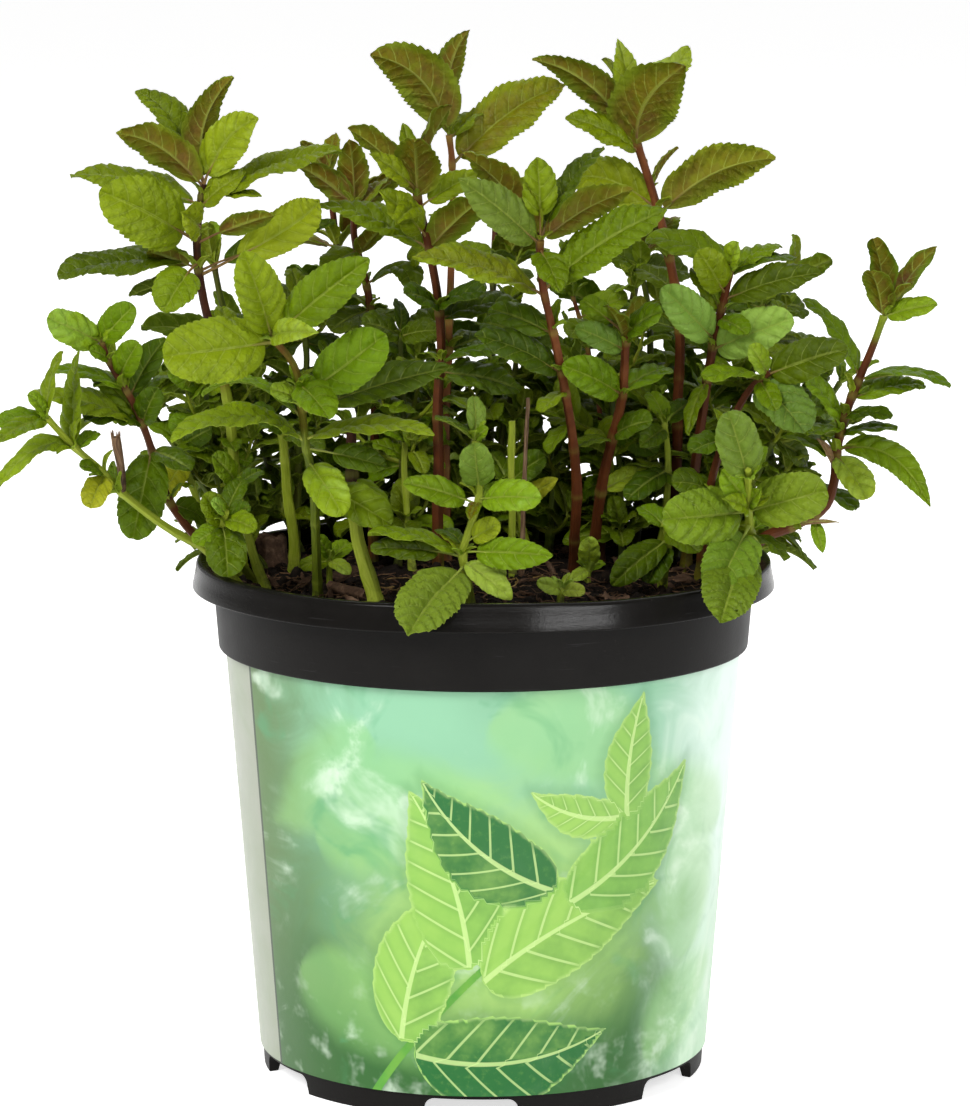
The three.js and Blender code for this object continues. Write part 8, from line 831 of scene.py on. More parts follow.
def sprig(b, rng, base, out, up, length, size, tone, purple, seed):
    """A short side shoot: a thin stalk with pairs of small leaves and a tuft at its end."""
    aim = unit(out * 0.9 + up * rng.uniform(0.35, 1.1))
    e = np.linspace(0, 1, 6)[:, None]
    end = base + aim * length
    mid = base + unit(out + up * 0.1) * length * 0.5
    P = (1 - e) ** 2 * base + 2 * e * (1 - e) * mid + e * e * end
    tube(b, P, np.linspace(0.55, 0.38, 6), 6, STEM, caps=(False, True), flat_seed=seed % 977, tone=0.6, purple=purple, reach=20.0, rnd=rng.uniform())
    T = unit(end - mid)
    side = unit(np.cross(T, up + 0.01))
    back = np.cross(side, T)
    for j, share in enumerate((0.45, 0.82, 1.0)):
        at = P[int(round(share * 5))]
        turn = j * math.pi / 2 + rng.uniform(-0.4, 0.4)
        big = size * (1.0, 0.9, 0.55)[j] * rng.uniform(0.8, 1.2)
        for c in range(2):
            w = turn + c * math.pi
            o = math.cos(w) * side + math.sin(w) * back
            rise = (0.35, 0.7, 1.6)[j] + rng.uniform(-0.2, 0.2)
            d = unit(o + T * rise)
            tip = at + d * big + np.array([0, 0, -0.16 * big * rng.uniform(0, 1)])
            bend = at + unit(d + T * 0.35 + np.array([0, 0, 0.25])) * big * 0.5
            face = unit(T * 1.0 + np.array([0, 0, 0.9]) - d * (d @ (T + np.array([0, 0, 0.9]))))
            leaf(b, at, bend, tip, face, big * rng.uniform(0.50, 0.64), 0.12, rng.uniform(0.1, 0.5), (tone + rng.normal(0, 0.07), purple * 0.2, 0.05), seed * 53 + j * 7 + c, 0.1, 0.6)


# partly the leaves' own colour, partly painted light and shade: some tones are raised as a painted sheen or lowered as
# painted shade, and a yellow below zero is a painted bluish sheen
LEAF_TONE_AND_PAINTED_LIGHT = {  # (shoot, leaf): tone, purple, yellow
    ("shoot_centre_back_tall", 2): (0.58, 0.42, 0.05),
    ("shoot_right_tall", 5): (0.74, 0.50, 0.05), ("shoot_right_tall", 6): (0.74, 0.10, 0.0),
    ("shoot_right_upper", 6): (1.08, 0.0, -0.28), ("shoot_right_upper", 7): (1.04, 0.0, -0.2),
    ("shoot_left_bright", 0): (0.74, 0.0, 0.0), ("shoot_left_bright", 1): (0.68, 0.0, 0.0), ("shoot_left_bright", 2): (0.54, 0.0, 0.0),
    ("shoot_front_rosette", 8): (0.80, 0.0, 0.35),
    ("shoot_front_right_rosette", 0): (0.60, 0.0, -0.15), ("shoot_front_right_rosette", 1): (0.62, 0.0, -0.2), ("shoot_front_right_rosette", 6): (0.70, 0.0, -0.3), ("shoot_front_right_rosette", 7): (0.44, 0.0, -0.22),
    ("shoot_front_rosette", 0): (0.74, 0.0, -0.4), ("shoot_front_rosette", 3): (0.66, 0.0, 0.0), ("shoot_front_rosette", 6): (0.68, 0.0, 0.0),
    ("shoot_centre_red", 6): (0.66, 0.25, 0.05), ("shoot_right_tall", 3): (0.90, 0.10, 0.0), ("shoot_right_tall", 2): (0.84, 0.15, 0.0),
    ("shoot_left_outer", 11): (0.42, 0.0, 0.0), ("shoot_inner_6", 3): (0.86, 0.0, 0.0),
}


WIDER = {("shoot_right_tall", 3): 1.7, ("shoot_right_tall", 2): 1.15, ("shoot_front_rosette", 0): 1.06}
FLATTER = {("shoot_front_rosette", 0): (0.6, 0.92)}  # how much straighter the midrib is, and how long


def stub(b, A, T, seed):
    """A dead side stem that broke off: dark at its foot, pale and frayed at the top."""
    rng = np.random.RandomState(seed)
    A, T = np.array(A, float), np.array(T, float)
    e = np.linspace(0, 1, 12)
    P = A + (T - A) * e[:, None] + np.array([0.3, 0.1, 0.0]) * np.sin(1.4 * np.pi * e)[:, None]
    R = np.interp(e, [0, 0.12, 0.5, 0.88, 1.0], [0.75, 0.95, 0.9, 1.1, 1.02]) * (1 + 0.04 * noise1(rng, 12, 3))
    paint = dict(purple=0.3, rnd=0.5, yellow=1.0, stalk=0.0)
    w = np.arange(14) * 2 * np.pi / 14
    ribs = 1 + 0.07 * np.sin(5 * w + 1) + 0.05 * np.sin(9 * w)
    tube(b, P, R, 14, STEM, section=lambda _: ribs, caps=(True, True), flat_seed=seed % 977, tone=0.6, reach=1.0 + 11.0 * e, **paint)
    for k in range(9):
        a = 2 * np.pi * k / 9 + rng.uniform(-0.25, 0.25)
        out = np.array([math.cos(a), math.sin(a), 0.0])
        foot = P[-1] + out * 0.72 - np.array([0, 0, 0.5])
        tip = foot + out * rng.uniform(-0.1, 0.55) + np.array([0, 0, rng.uniform(0.9, 2.1)])
        tube(b, np.stack([foot, (foot + tip) / 2 + out * 0.05, tip]), np.array([0.26, 0.2, 0.07]), 5, STEM, caps=(True, True),
             flat_seed=(seed + k) % 977, tone=0.9, reach=12.0, **paint)


def shoot(node, kind, radii, stem, leaves, seed):
    b = Build()
    rng = np.random.RandomState(seed)
    line = np.array(stem[::-1], float)  # foot first
    foot = line[0].copy()
    line = np.concatenate([[foot + (0, 0, -3.2)], line])
    Q, d = catmull(line, 1.6)
    total = d[-1]
    share = d / total
    purple, dark = stem_paint(kind, share)
    filler = node.startswith(("shoot_inner", "shoot_back"))
    R = (radii[1] + (radii[0] - radii[1]) * share) * 1.0
    if filler:
        # painted shade: stems of the inner and back shoots are darker and less purple below about 170 mm, inside the
        # plant
        low = 1 - smooth(168, 190, Q[:, 2])
        purple, dark, R = purple * (1 - 0.55 * low), dark + (0.85 - dark) * low, R * 0.9
    if node == "shoot_left_bright":
        # painted shade: this stem is darkened all along, most at its foot, with its purple kept to the upper part
        purple, dark, R = purple * 0.6 * smooth(0.45, 0.75, share), 0.75 - 0.2 * smooth(0.5, 0.9, share), R * 0.76
    R = R * {"shoot_centre_red": 0.80, "shoot_thin_red": 0.84, "shoot_right_tall": 0.92}.get(node, 0.95)
    # joints: where leaves meet the stem
    at = []
    for row in leaves:
        A = np.array(row[:3])
        at.append(d[np.argmin(np.linalg.norm(Q - A, axis=1))])
    nodes = []
    for a in sorted(at):
        if not nodes or a - nodes[-1][-1] > 3.2:
            nodes.append([a])
        else:
            nodes[-1].append(a)
    nodes = [float(np.mean(x)) for x in nodes]
    # bare joints lower down the stem, where old leaves have gone
    first = nodes[0] if nodes else total
    bare = [x for x in np.arange(7 + rng.uniform(0, 6), first - 5, rng.uniform(11, 17))]
    swell = np.zeros_like(d)
    for x in nodes + bare:
        swell += np.exp(-((d - x) / 1.1) ** 2) * (0.24 if x in nodes else 0.17)
    R = R * (1 + swell) * (1 + 0.03 * noise1(rng, len(d), 4))
    R = R * (1 + 0.25 * np.exp(-((d - 3.2) / 1.6) ** 2))
    bend = np.stack([noise1(rng, len(d), 6), noise1(rng, len(d), 6), 0 * d], -1) * 0.10
    bend[0] = bend[-1] = 0
    w = np.arange(16) * 2 * np.pi / 16
    four = 1 + 0.085 * np.cos(4 * w)
    ridge = four[None, :] + 0.03 * np.cos(8 * w)[None, :] * np.ones((len(d), 1))
    tube(b, Q + bend, R, 16, STEM, section=lambda _: ridge, caps=(True, True), flat_seed=seed % 977,
         start=(math.cos(len(stem)), math.sin(len(stem)), 0), tone=1 - dark, purple=purple, reach=d, rnd=rng.uniform(0, 1),
         yellow=1.0 if kind == "dry" else 0.0, stalk=np.interp(d, d, swell))
    for i, row in enumerate(leaves):
        A, C, T, n = row[:3], row[3:6], row[6:9], row[9:12]
        W, stalk, fold = row[12:15]
        W = W * WIDER.get((node, i), 1.0)
        if (node, i) == ("shoot_far_left", 8):
            stub(b, A, T, seed + i)
            continue
        if (node, i) in FLATTER:
            straight, short = FLATTER[(node, i)]
            A, C, T = (np.array(v, float) for v in (A, C, T))
            C, T = A + (C - A) * short, A + (T - A) * short
            C = C + ((A + T) / 2 - C) * straight
        tint = LEAF_TONE_AND_PAINTED_LIGHT.get((node, i), row[15:18])
        k = at[i] / total
        red = float(np.interp(k, share, purple)) * 0.75
        leaf(b, A, C, T, n, W, stalk, fold, tint, seed * 131 + i * 17 + 5, red)
    # young leaves in the axils, and a bud at the top
    mean = np.array([np.mean([r_[15] for r_ in leaves]) if leaves else 0.6, np.mean([r_[16] for r_ in leaves]) if leaves else 0.0])
    Tn = unit(np.gradient(Q, axis=0))
    if kind != "dry" and leaves:
        for j, x in enumerate(nodes + (bare if filler else [])):
            k = int(np.argmin(abs(d - x)))
            top = x > total - 4
            if not top and rng.uniform() < (0.05 if filler else 0.2):
                continue
            if filler and not top and 114 < Q[k][2] < 172:
                up = Tn[k]
                e1 = unit(np.cross(up, [0.3, 1, 0.2]))
                e2 = np.cross(up, e1)
                spin = rng.uniform(0, 6.28)
                for c in range(3 if Q[k][2] < 150 else 2):
                    ang = spin + c * 2 * math.pi / (3 if Q[k][2] < 150 else 2)
                    out = math.cos(ang) * e1 + math.sin(ang) * e2
                    base = Q[k] + out * R[k] * 0.4
                    length = rng.uniform(5, 15)
                    end = base + out * length
                    if math.hypot(end[0], end[1]) > 92:
                        continue
                    # painted shade: side shoots lower in the plant get darker leaves
                    sprig(b, rng, base, out, up, length, rng.uniform(7.5, 12.5), 0.30 + 0.25 * (Q[k][2] - 114) / 60, 0.25, seed * 61 + j * 11 + c)
                continue
            count = 4 if top or filler else rng.choice([2, 3, 4])
            spin = rng.uniform(0, 6.28)
            up = Tn[k]
            e1 = unit(np.cross(up, [0.3, 1, 0.2]))
            e2 = np.cross(up, e1)
            for c in range(count):
                ang = spin + c * math.pi + (math.pi / 2 if c >= 2 else 0)
                out = math.cos(ang) * e1 + math.sin(ang) * e2
                size = rng.uniform(2.4, 4.2) if top else (rng.uniform(6.0, 13.0) if filler else rng.uniform(3.0, 7.0))
                steep = rng.uniform(0.9, 1.6) if top else rng.uniform(0.5, 1.3)
                base = Q[k] + out * R[k] * 0.5 + up * rng.uniform(-0.2, 0.8)
                aim = unit(out + up * steep)
                tip = base + aim * size
                mid = base + unit(out * 0.6 + up * (steep + 0.8)) * size * 0.5
                face = unit(up - aim * (up @ aim) - out * 0.3)
                tone = min(0.95, mean[0] + 0.18)
                leaf(b, base, mid, tip, face, size * rng.uniform(0.38, 0.52), 0.05, 0.5, (tone, mean[1] * 0.6, 0.05), seed * 977 + j * 31 + c, 0.2, 0.38 if size < 8 else 1.0)
    return b

# ---------------------------------------------------------------- materials
class Nodes:
    """Short ways to build a material's nodes."""

    def __init__(self, name):
        self.mat = bpy.data.materials.new(name)
        self.mat.use_nodes = True
        self.t = self.mat.node_tree
        self.t.nodes.clear()
        self.out = self.t.nodes.new("ShaderNodeOutputMaterial")

    def new(self, kind, **props):
        n = self.t.nodes.new(kind)
        for k, v in props.items():
            setattr(n, k, v)
        return n

    def put(self, socket, value):
        if isinstance(value, bpy.types.NodeSocket):
            self.t.links.new(value, socket)
        elif isinstance(value, (tuple, list)) and socket.type == "RGBA" and len(value) == 3:
            socket.default_value = (*value, 1)
        else:
            socket.default_value = value

    def math(self, op, a, b=0.0, c=None, clamp=False):
        n = self.new("ShaderNodeMath", operation=op, use_clamp=clamp)
        self.put(n.inputs[0], a)
        self.put(n.inputs[1], b)
        if c is not None:
            self.put(n.inputs[2], c)
        return n.outputs[0]

    def add(self, a, b):
        return self.math("ADD", a, b)

    def sub(self, a, b):
        return self.math("SUBTRACT", a, b)

    def mul(self, a, b, clamp=False):
        return self.math("MULTIPLY", a, b, clamp=clamp)

    def step(self, x, lo, hi, to=(0.0, 1.0), kind="SMOOTHSTEP"):
        n = self.new("ShaderNodeMapRange", interpolation_type=kind)
        self.put(n.inputs[0], x)
        for i, v in zip((1, 2, 3, 4), (lo, hi, *to)):
            self.put(n.inputs[i], v)
        return n.outputs[0]

    def att(self, name):
        return self.new("ShaderNodeAttribute", attribute_type="GEOMETRY", attribute_name=name).outputs["Fac"]

    def vec(self, name):
        return self.new("ShaderNodeAttribute", attribute_type="GEOMETRY", attribute_name=name).outputs["Vector"]

    def object(self):
        return self.new("ShaderNodeTexCoord").outputs["Object"]

    def noise(self, vector, scale, detail=2.0, rough=0.5, colour=False, distortion=0.0):
        n = self.new("ShaderNodeTexNoise")
        self.put(n.inputs["Vector"], vector)
        n.inputs["Scale"].default_value = scale
        n.inputs["Detail"].default_value = detail
        n.inputs["Roughness"].default_value = rough
        n.inputs["Distortion"].default_value = distortion
        return n.outputs["Color" if colour else "Fac"]

    def voronoi(self, vector, scale, feature="F1", out="Distance", smoothness=None, randomness=1.0):
        n = self.new("ShaderNodeTexVoronoi", feature=feature)
        self.put(n.inputs["Vector"], vector)
        n.inputs["Scale"].default_value = scale
        n.inputs["Randomness"].default_value = randomness
        if smoothness is not None and "Smoothness" in n.inputs:
            n.inputs["Smoothness"].default_value = smoothness
        return n.outputs[out]

    def mix(self, fac, a, b, blend="MIX"):
        n = self.new("ShaderNodeMix", data_type="RGBA", blend_type=blend, clamp_factor=True)
        self.put(n.inputs[0], fac)
        self.put(n.inputs[6], a)
        self.put(n.inputs[7], b)
        return n.outputs[2]

    def ramp(self, fac, stops, interpolation="LINEAR"):
        n = self.new("ShaderNodeValToRGB")
        n.color_ramp.interpolation = interpolation
        e = n.color_ramp.elements
        while len(e) < len(stops):
            e.new(0.5)
        for el, (pos, col) in zip(e, stops):
            el.position = pos
            el.color = (*col, 1)
        self.put(n.inputs[0], fac)
        return n.outputs[0]

    def bump(self, height, distance, strength=1.0, normal=None):
        n = self.new("ShaderNodeBump")
        self.put(n.inputs["Height"], height)
        n.inputs["Distance"].default_value = distance
        n.inputs["Strength"].default_value = strength
        if normal is not None:
            self.put(n.inputs["Normal"], normal)
        return n.outputs["Normal"]

    def principled(self, **sockets):
        n = self.new("ShaderNodeBsdfPrincipled")
        for k, v in sockets.items():
            self.put(n.inputs[k.replace("_", " ")], v)
        return n

    def finish(self, shader):
        self.put(self.out.inputs["Surface"], shader)
        return self.mat


def srgb(r, g, b):
    """An 8-bit screen colour as linear light."""
    return tuple(((c / 255) / 12.92 if c <= 10 else ((c / 255 + 0.055) / 1.055) ** 2.4) for c in (r, g, b))


def leaf_material():
    m = Nodes("leaf")
    tone, purple, yellowing_and_sheen, under = m.att("tone"), m.att("purple"), m.att("yellow"), m.att("under")
    across, vein, rib, rnd, reach, stalk = (m.att(k) for k in ("across", "vein", "rib", "rnd", "reach", "stalk"))
    flat, obj = m.vec("flat"), m.object()
    sep = m.new("ShaderNodeSeparateXYZ")
    m.put(sep.inputs[0], flat)
    x = sep.outputs[0]
    # side veins: where the vein number is whole
    f = m.math("FRACT", m.add(vein, m.mul(m.sub(m.noise(flat, 0.22, 2.0, 0.5), 0.5), 0.30)))
    off = m.math("ABSOLUTE", m.sub(f, 0.5))  # 0.5 on a vein, 0 between
    thin = m.add(0.425, m.mul(across, 0.05))
    side_vein = m.mul(m.step(off, thin, 0.5), m.step(across, 0.98, 0.55, (0.25, 1.0)))
    groove = m.step(off, 0.30, 0.5)
    mid_line = m.step(m.math("ABSOLUTE", x), 0.30, 0.08)
    mid_line = m.mul(mid_line, m.step(reach, 1.0, 0.7, (0.2, 1.0)))
    # the fine net between the veins
    net_d = m.voronoi(flat, 0.62, "DISTANCE_TO_EDGE")
    net = m.step(net_d, 0.10, 0.0)
    net_fine = m.step(m.voronoi(flat, 1.5, "DISTANCE_TO_EDGE"), 0.09, 0.0)
    broad = m.noise(obj, 90.0, 3.0, 0.55)
    mottle = m.noise(flat, 0.35, 3.0, 0.6)
    fine = m.noise(flat, 3.2, 3.0, 0.6)
    # colour by brightness
    tone2 = m.add(tone, m.mul(m.sub(mottle, 0.5), 0.32))
    tone2 = m.add(tone2, m.mul(m.sub(broad, 0.5), 0.30))
    green = m.ramp(tone2, [(0.10, LEAF_DARK), (0.5, LEAF_MID), (0.86, LEAF_BRIGHT), (1.0, LEAF_PALE)])
    warm = m.mix(m.mul(rnd, 0.30), green, m.mix(1.0, green, (1.22, 1.0, 0.72), "MULTIPLY"))
    warm = m.mix(m.step(rnd, 0.3, -0.7), warm, m.mix(1.0, warm, (0.78, 0.97, 0.85), "MULTIPLY"))
    yellow = m.mix(m.math("MULTIPLY", m.math("MINIMUM", yellowing_and_sheen, 1.0), 0.85, clamp=True), warm, LEAF_YELLOW)
    tan = m.mix(m.step(yellowing_and_sheen, 1.3, 1.9), yellow, m.mix(mottle, (0.16, 0.09, 0.04), (0.34, 0.20, 0.10)))
    # painted sheen: a yellow below zero mixes the leaf towards a pale bluish green
    painted_sheen_mix = m.mix(m.math("MULTIPLY", m.math("MAXIMUM", m.mul(yellowing_and_sheen, -1.0), 0.0), 0.6, clamp=True), tan, LEAF_PAINTED_SHEEN)
    # purple young leaves: brown-purple between veins that stay green
    keep = m.math("MAXIMUM", m.mul(side_vein, 0.55), m.mul(mid_line, 0.8))
    blotch = m.step(m.noise(flat, 0.28, 3.0, 0.65), 0.30, 0.62, (0.55, 1.0))
    amount = m.mul(m.mul(m.mul(purple, 1.45, clamp=True), blotch), m.sub(1.0, m.mul(keep, 0.6)), clamp=True)
    rim = m.add(across, m.mul(m.sub(m.noise(flat, 0.16, 3.0, 0.6), 0.5), 0.9))
    amount = m.mul(amount, m.step(rim, 0.98, 0.45, (0.12, 1.0)), clamp=True)
    shade = m.mix(m.mul(amount, 0.93), painted_sheen_mix, m.mix(m.step(m.add(mottle, m.mul(m.step(reach, 0.15, 0.7), 0.3)), 0.35, 0.85), LEAF_PURPLE, LEAF_BROWN))
    # underside: paler and duller, its veins standing out
    shade = m.mix(m.mul(m.step(under, 0.45, 0.9), m.sub(0.36, m.mul(amount, 0.32))), shade, m.mix(0.5, shade, LEAF_UNDER))
    # veins and edge
    vein_colour = m.mix(0.62, shade, LEAF_VEIN)
    # painted shade: the fine net of creases is darkened, and on the upper face the grooves beside the side veins as
    # well
    col = m.mix(m.mul(net, 0.10), shade, m.mix(0.5, shade, (0, 0, 0)))
    col = m.mix(m.mul(m.step(off, 0.32, 0.46), m.step(under, 1.0, 0.0, (0.0, 0.18))), col, m.mix(0.75, col, (0.01, 0.02, 0.0)))
    col = m.mix(m.mul(side_vein, m.step(under, 0.0, 1.0, (0.60, 0.85))), col, vein_colour)
    col = m.mix(m.mul(m.step(m.sub(1.0, across), 0.05, 0.0), 0.16), col, LEAF_VEIN)
    pale = m.mix(m.mul(purple, 0.45), LEAF_VEIN, (0.20, 0.17, 0.05))
    strong = m.mix(0.66, shade, pale)
    col = m.mix(m.mul(mid_line, m.step(purple, 0.0, 0.7, (0.70, 0.50))), col, strong)
    ribcol = m.mix(m.mul(stalk, m.step(reach, 0.35, 0.0)), m.mix(m.step(purple, 0.0, 0.7, (0.70, 0.50)), shade, pale), STALK_RED)
    col = m.mix(rib, col, ribcol)
    # painted sheen: small pale whitish dots on the upper face
    col = m.mix(m.mul(m.step(fine, 0.62, 0.8), m.step(under, 1.0, 0.0, (0.0, 0.14))), col, m.mix(0.4, col, (0.6, 0.75, 0.3)))
    rough = m.add(m.step(under, 0.0, 1.0, (0.36, 0.60)), m.mul(m.sub(fine, 0.5), 0.16))
    pucker = m.noise(flat, 0.42, 2.0, 0.5)
    height = m.add(m.mul(m.sub(1.0, groove), 0.22), m.mul(m.sub(1.0, m.step(net_d, 0.20, 0.0)), 0.20))
    height = m.add(height, m.mul(pucker, 1.5))
    height = m.add(height, m.mul(fine, 0.12))
    height = m.add(height, m.mul(m.sub(1.0, net_fine), 0.06))
    height = m.mul(height, m.sub(1.0, rib))
    normal = m.bump(height, 0.00040, 0.9)
    face = m.principled(Base_Color=col, Roughness=rough, Normal=normal, Specular_IOR_Level=0.11)
    glow = m.mix(1.0, m.mix(0.28, col, (0.40, 0.52, 0.010)), (1.3, 1.3, 0.6), "MULTIPLY")
    through = m.new("ShaderNodeBsdfTranslucent")
    m.put(through.inputs["Color"], glow)
    m.put(through.inputs["Normal"], normal)
    both = m.new("ShaderNodeMixShader")
    both.inputs[0].default_value = 0.24
    m.put(both.inputs[1], face.outputs[0])
    m.put(both.inputs[2], through.outputs[0])
    return m.finish(both.outputs[0])


def stem_material():
    m = Nodes("stem")
    tone, purple, reach, rnd, dry = (m.att(k) for k in ("tone", "purple", "reach", "rnd", "yellow"))
    swell = m.att("stalk")
    flat, obj = m.vec("flat"), m.object()
    squeeze = m.new("ShaderNodeMapping")
    m.put(squeeze.inputs["Vector"], flat)
    squeeze.inputs["Scale"].default_value = (1.6, 0.12, 1.0)
    streak = m.noise(squeeze.outputs[0], 1.6, 3.0, 0.6)
    patch = m.noise(obj, 160.0, 3.0, 0.6)
    fine = m.noise(flat, 2.5, 3.0, 0.65)
    green = m.ramp(m.add(m.mul(tone, 0.8), m.mul(m.sub(streak, 0.5), 0.5)), [(0.1, STEM_GREEN_DARK), (0.55, STEM_GREEN), (0.9, STEM_GREEN_PALE)])
    red = m.ramp(m.add(m.mul(tone, 0.9), m.mul(m.sub(patch, 0.5), 0.5)), [(0.15, STEM_RED_DARK), (0.55, STEM_RED), (0.9, STEM_RED_PALE)])
    how = m.add(purple, m.mul(m.sub(patch, 0.5), m.step(purple, 0.0, 0.25, (0.12, 0.7))))
    how = m.add(how, m.mul(m.sub(streak, 0.5), 0.25))
    col = m.mix(m.step(how, 0.15, 0.8), green, red)
    # joints are paler
    col = m.mix(m.step(swell, 0.06, 0.22, (0.0, 0.35)), col, m.mix(0.5, col, STEM_GREEN_PALE))
    bark = m.ramp(streak, [(0.25, (0.045, 0.022, 0.012)), (0.5, (0.13, 0.075, 0.04)), (0.75, (0.30, 0.20, 0.11))])
    col = m.mix(dry, col, bark)
    # soil stains near the foot
    stain = m.mul(m.step(reach, 9.0, 2.5), m.step(m.noise(obj, 420.0, 3.0, 0.7), 0.44, 0.60))
    col = m.mix(m.mul(stain, 0.75), col, (0.022, 0.013, 0.008))
    dots = m.step(m.noise(flat, 1.4, 2.0, 0.6), 0.68, 0.74)
    col = m.mix(m.mul(dots, 0.4), col, (0.05, 0.03, 0.015))
    height = m.add(m.mul(streak, 0.7), m.mul(fine, 0.4))
    normal = m.bump(height, 0.00022, 0.7)
    face = m.principled(Base_Color=col, Roughness=m.add(0.40, m.mul(fine, 0.22)), Normal=normal, Specular_IOR_Level=0.10)
    face.inputs["Subsurface Weight"].default_value = 0.0
    return m.finish(face.outputs[0])


def pot_material():
    m = Nodes("pot_plastic")
    obj = m.object()
    large = m.noise(obj, 28.0, 3.0, 0.55)
    cloud = m.noise(obj, 120.0, 4.0, 0.6)
    grain = m.noise(obj, 1500.0, 2.0, 0.6)
    dust = m.step(m.noise(obj, 900.0, 4.0, 0.72), 0.60, 0.74)
    drift = m.mul(dust, m.step(large, 0.42, 0.7))
    stretch = m.new("ShaderNodeMapping")
    m.put(stretch.inputs["Vector"], obj)
    stretch.inputs["Scale"].default_value = (1.0, 1.0, 26.0)
    lines = m.noise(stretch.outputs[0], 60.0, 3.0, 0.65)
    scratch = m.step(lines, 0.66, 0.72)
    base = m.mix(cloud, (0.0046, 0.0041, 0.0037), (0.0082, 0.0074, 0.0066))
    base = m.mix(m.mul(drift, 0.30), base, (0.10, 0.09, 0.075))
    base = m.mix(m.mul(scratch, 0.12), base, (0.08, 0.08, 0.08))
    tall = m.new("ShaderNodeSeparateXYZ")
    m.put(tall.inputs[0], obj)
    lip = m.step(tall.outputs[2], 0.1085, 0.1095)
    rough = m.add(m.add(m.step(lip, 0.0, 1.0, (0.46, 0.22)), m.mul(m.sub(cloud, 0.5), 0.12)), m.mul(drift, 0.18))
    rough = m.add(rough, m.mul(m.sub(large, 0.5), 0.12))
    normal = m.bump(m.add(m.mul(grain, 0.5), m.mul(m.add(lines, cloud), 0.35)), 0.00006, 0.8)
    face = m.principled(Base_Color=base, Roughness=rough, Normal=normal, Specular_IOR_Level=0.08)
    return m.finish(face.outputs[0])


def soil_material(name, dark, mid, light, scale=1.0, rough=0.92):
    m = Nodes(name)
    obj = m.object()
    a = m.noise(obj, 220.0 * scale, 5.0, 0.7)
    bb = m.noise(obj, 900.0 * scale, 4.0, 0.7)
    c = m.noise(obj, 3000.0 * scale, 2.0, 0.6)
    col = m.ramp(m.add(m.mul(a, 0.65), m.mul(bb, 0.35)), [(0.36, dark), (0.52, mid), (0.68, light)])
    col = m.mix(m.mul(m.step(c, 0.66, 0.74), 0.35), col, m.mix(0.6, col, light))
    normal = m.bump(m.add(m.mul(bb, 0.8), m.mul(c, 0.4)), 0.0006, 0.9)
    face = m.principled(Base_Color=col, Roughness=m.add(rough - 0.2, m.mul(a, 0.3)), Normal=normal, Specular_IOR_Level=0.12)
    return m.finish(face.outputs[0])


LEAF_DARK = (0.051, 0.079, 0.001)
LEAF_MID = (0.144, 0.204, 0.002)
LEAF_BRIGHT = (0.248, 0.322, 0.009)
LEAF_PALE = (0.340, 0.450, 0.070)
LEAF_YELLOW = (0.430, 0.420, 0.020)
LEAF_PAINTED_SHEEN = (0.130, 0.220, 0.070)
LEAF_PURPLE = (0.150, 0.052, 0.014)
LEAF_BROWN = (0.140, 0.086, 0.002)
LEAF_UNDER = (0.190, 0.240, 0.030)
LEAF_VEIN = (0.340, 0.400, 0.070)
STALK_RED = (0.180, 0.050, 0.040)
STEM_GREEN_DARK = (0.060, 0.085, 0.006)
STEM_GREEN = (0.185, 0.235, 0.012)
STEM_GREEN_PALE = (0.360, 0.400, 0.060)
STEM_RED_DARK = (0.024, 0.008, 0.003)
STEM_RED = (0.100, 0.027, 0.007)
STEM_RED_PALE = (0.260, 0.095, 0.030)


# ---------------------------------------------------------------- the wrap's printed design
# Leaves of the print, in millimetres along the wrap from its seam and up from the pot's foot:
# base, direction in degrees, length, width, bend, shade (0 pale, 1 dark green), teeth.
PRINT_NEAR = [
    (40.0, 17.0, 70, 40, 19.0, 0.06, 0.30), (43.0, 14.0, 6, 46, 22.0, -0.08, 0.95),
    (56.0, 34.0, 108, 42, 21.0, -0.06, 0.42), (59.0, 31.0, 24, 47, 22.0, 0.08, 0.28),
    (74.0, 51.0, 138, 38, 18.0, 0.10, 1.00), (78.0, 48.0, 44, 42, 19.0, -0.08, 0.55),
    (91.0, 66.0, 84, 28, 12.5, 0.05, 0.35), (89.0, 66.0, 160, 22, 10.0, 0.10, 0.20),
    (200.0, 22.0, 62, 40, 20.0, 0.08, 0.40), (203.0, 18.0, 4, 44, 21.0, -0.1, 0.85),
    (218.0, 40.0, 104, 40, 20.0, -0.08, 0.30), (221.0, 37.0, 22, 44, 21.0, 0.08, 0.55),
    (237.0, 56.0, 132, 34, 16.5, 0.1, 0.92), (241.0, 53.0, 48, 36, 17.0, -0.1, 0.35),
]
PRINT_FAR = [
    (20.0, 60.0, 15, 46, 26.0, 0.1, 0.2), (12.0, 30.0, -30, 40, 22.0, 0.1, 0.5), (60.0, 88.0, -20, 44, 24.0, 0.1, 0.4),
    (112.0, 30.0, 100, 44, 24.0, -0.1, 0.15), (128.0, 60.0, 150, 40, 20.0, 0.1, 0.1), (100.0, 10.0, 30, 36, 20.0, 0.1, 0.5),
    (35.0, 86.0, -140, 38, 22.0, 0.1, 0.6), (150.0, 20.0, 80, 46, 26.0, 0.1, 0.3), (175.0, 60.0, 10, 42, 24.0, 0.1, 0.3),
    (190.0, 84.0, -70, 40, 22.0, 0.1, 0.4), (232.0, 90.0, -30, 42, 24.0, 0.1, 0.2), (262.0, 30.0, 70, 44, 24.0, 0.1, 0.3),
]
PRINT_STEMS = [[(31, 2), (41, 15), (57, 32), (76, 49), (91, 67)], [(190, 2), (201, 20), (219, 38), (239, 54), (250, 68)]]


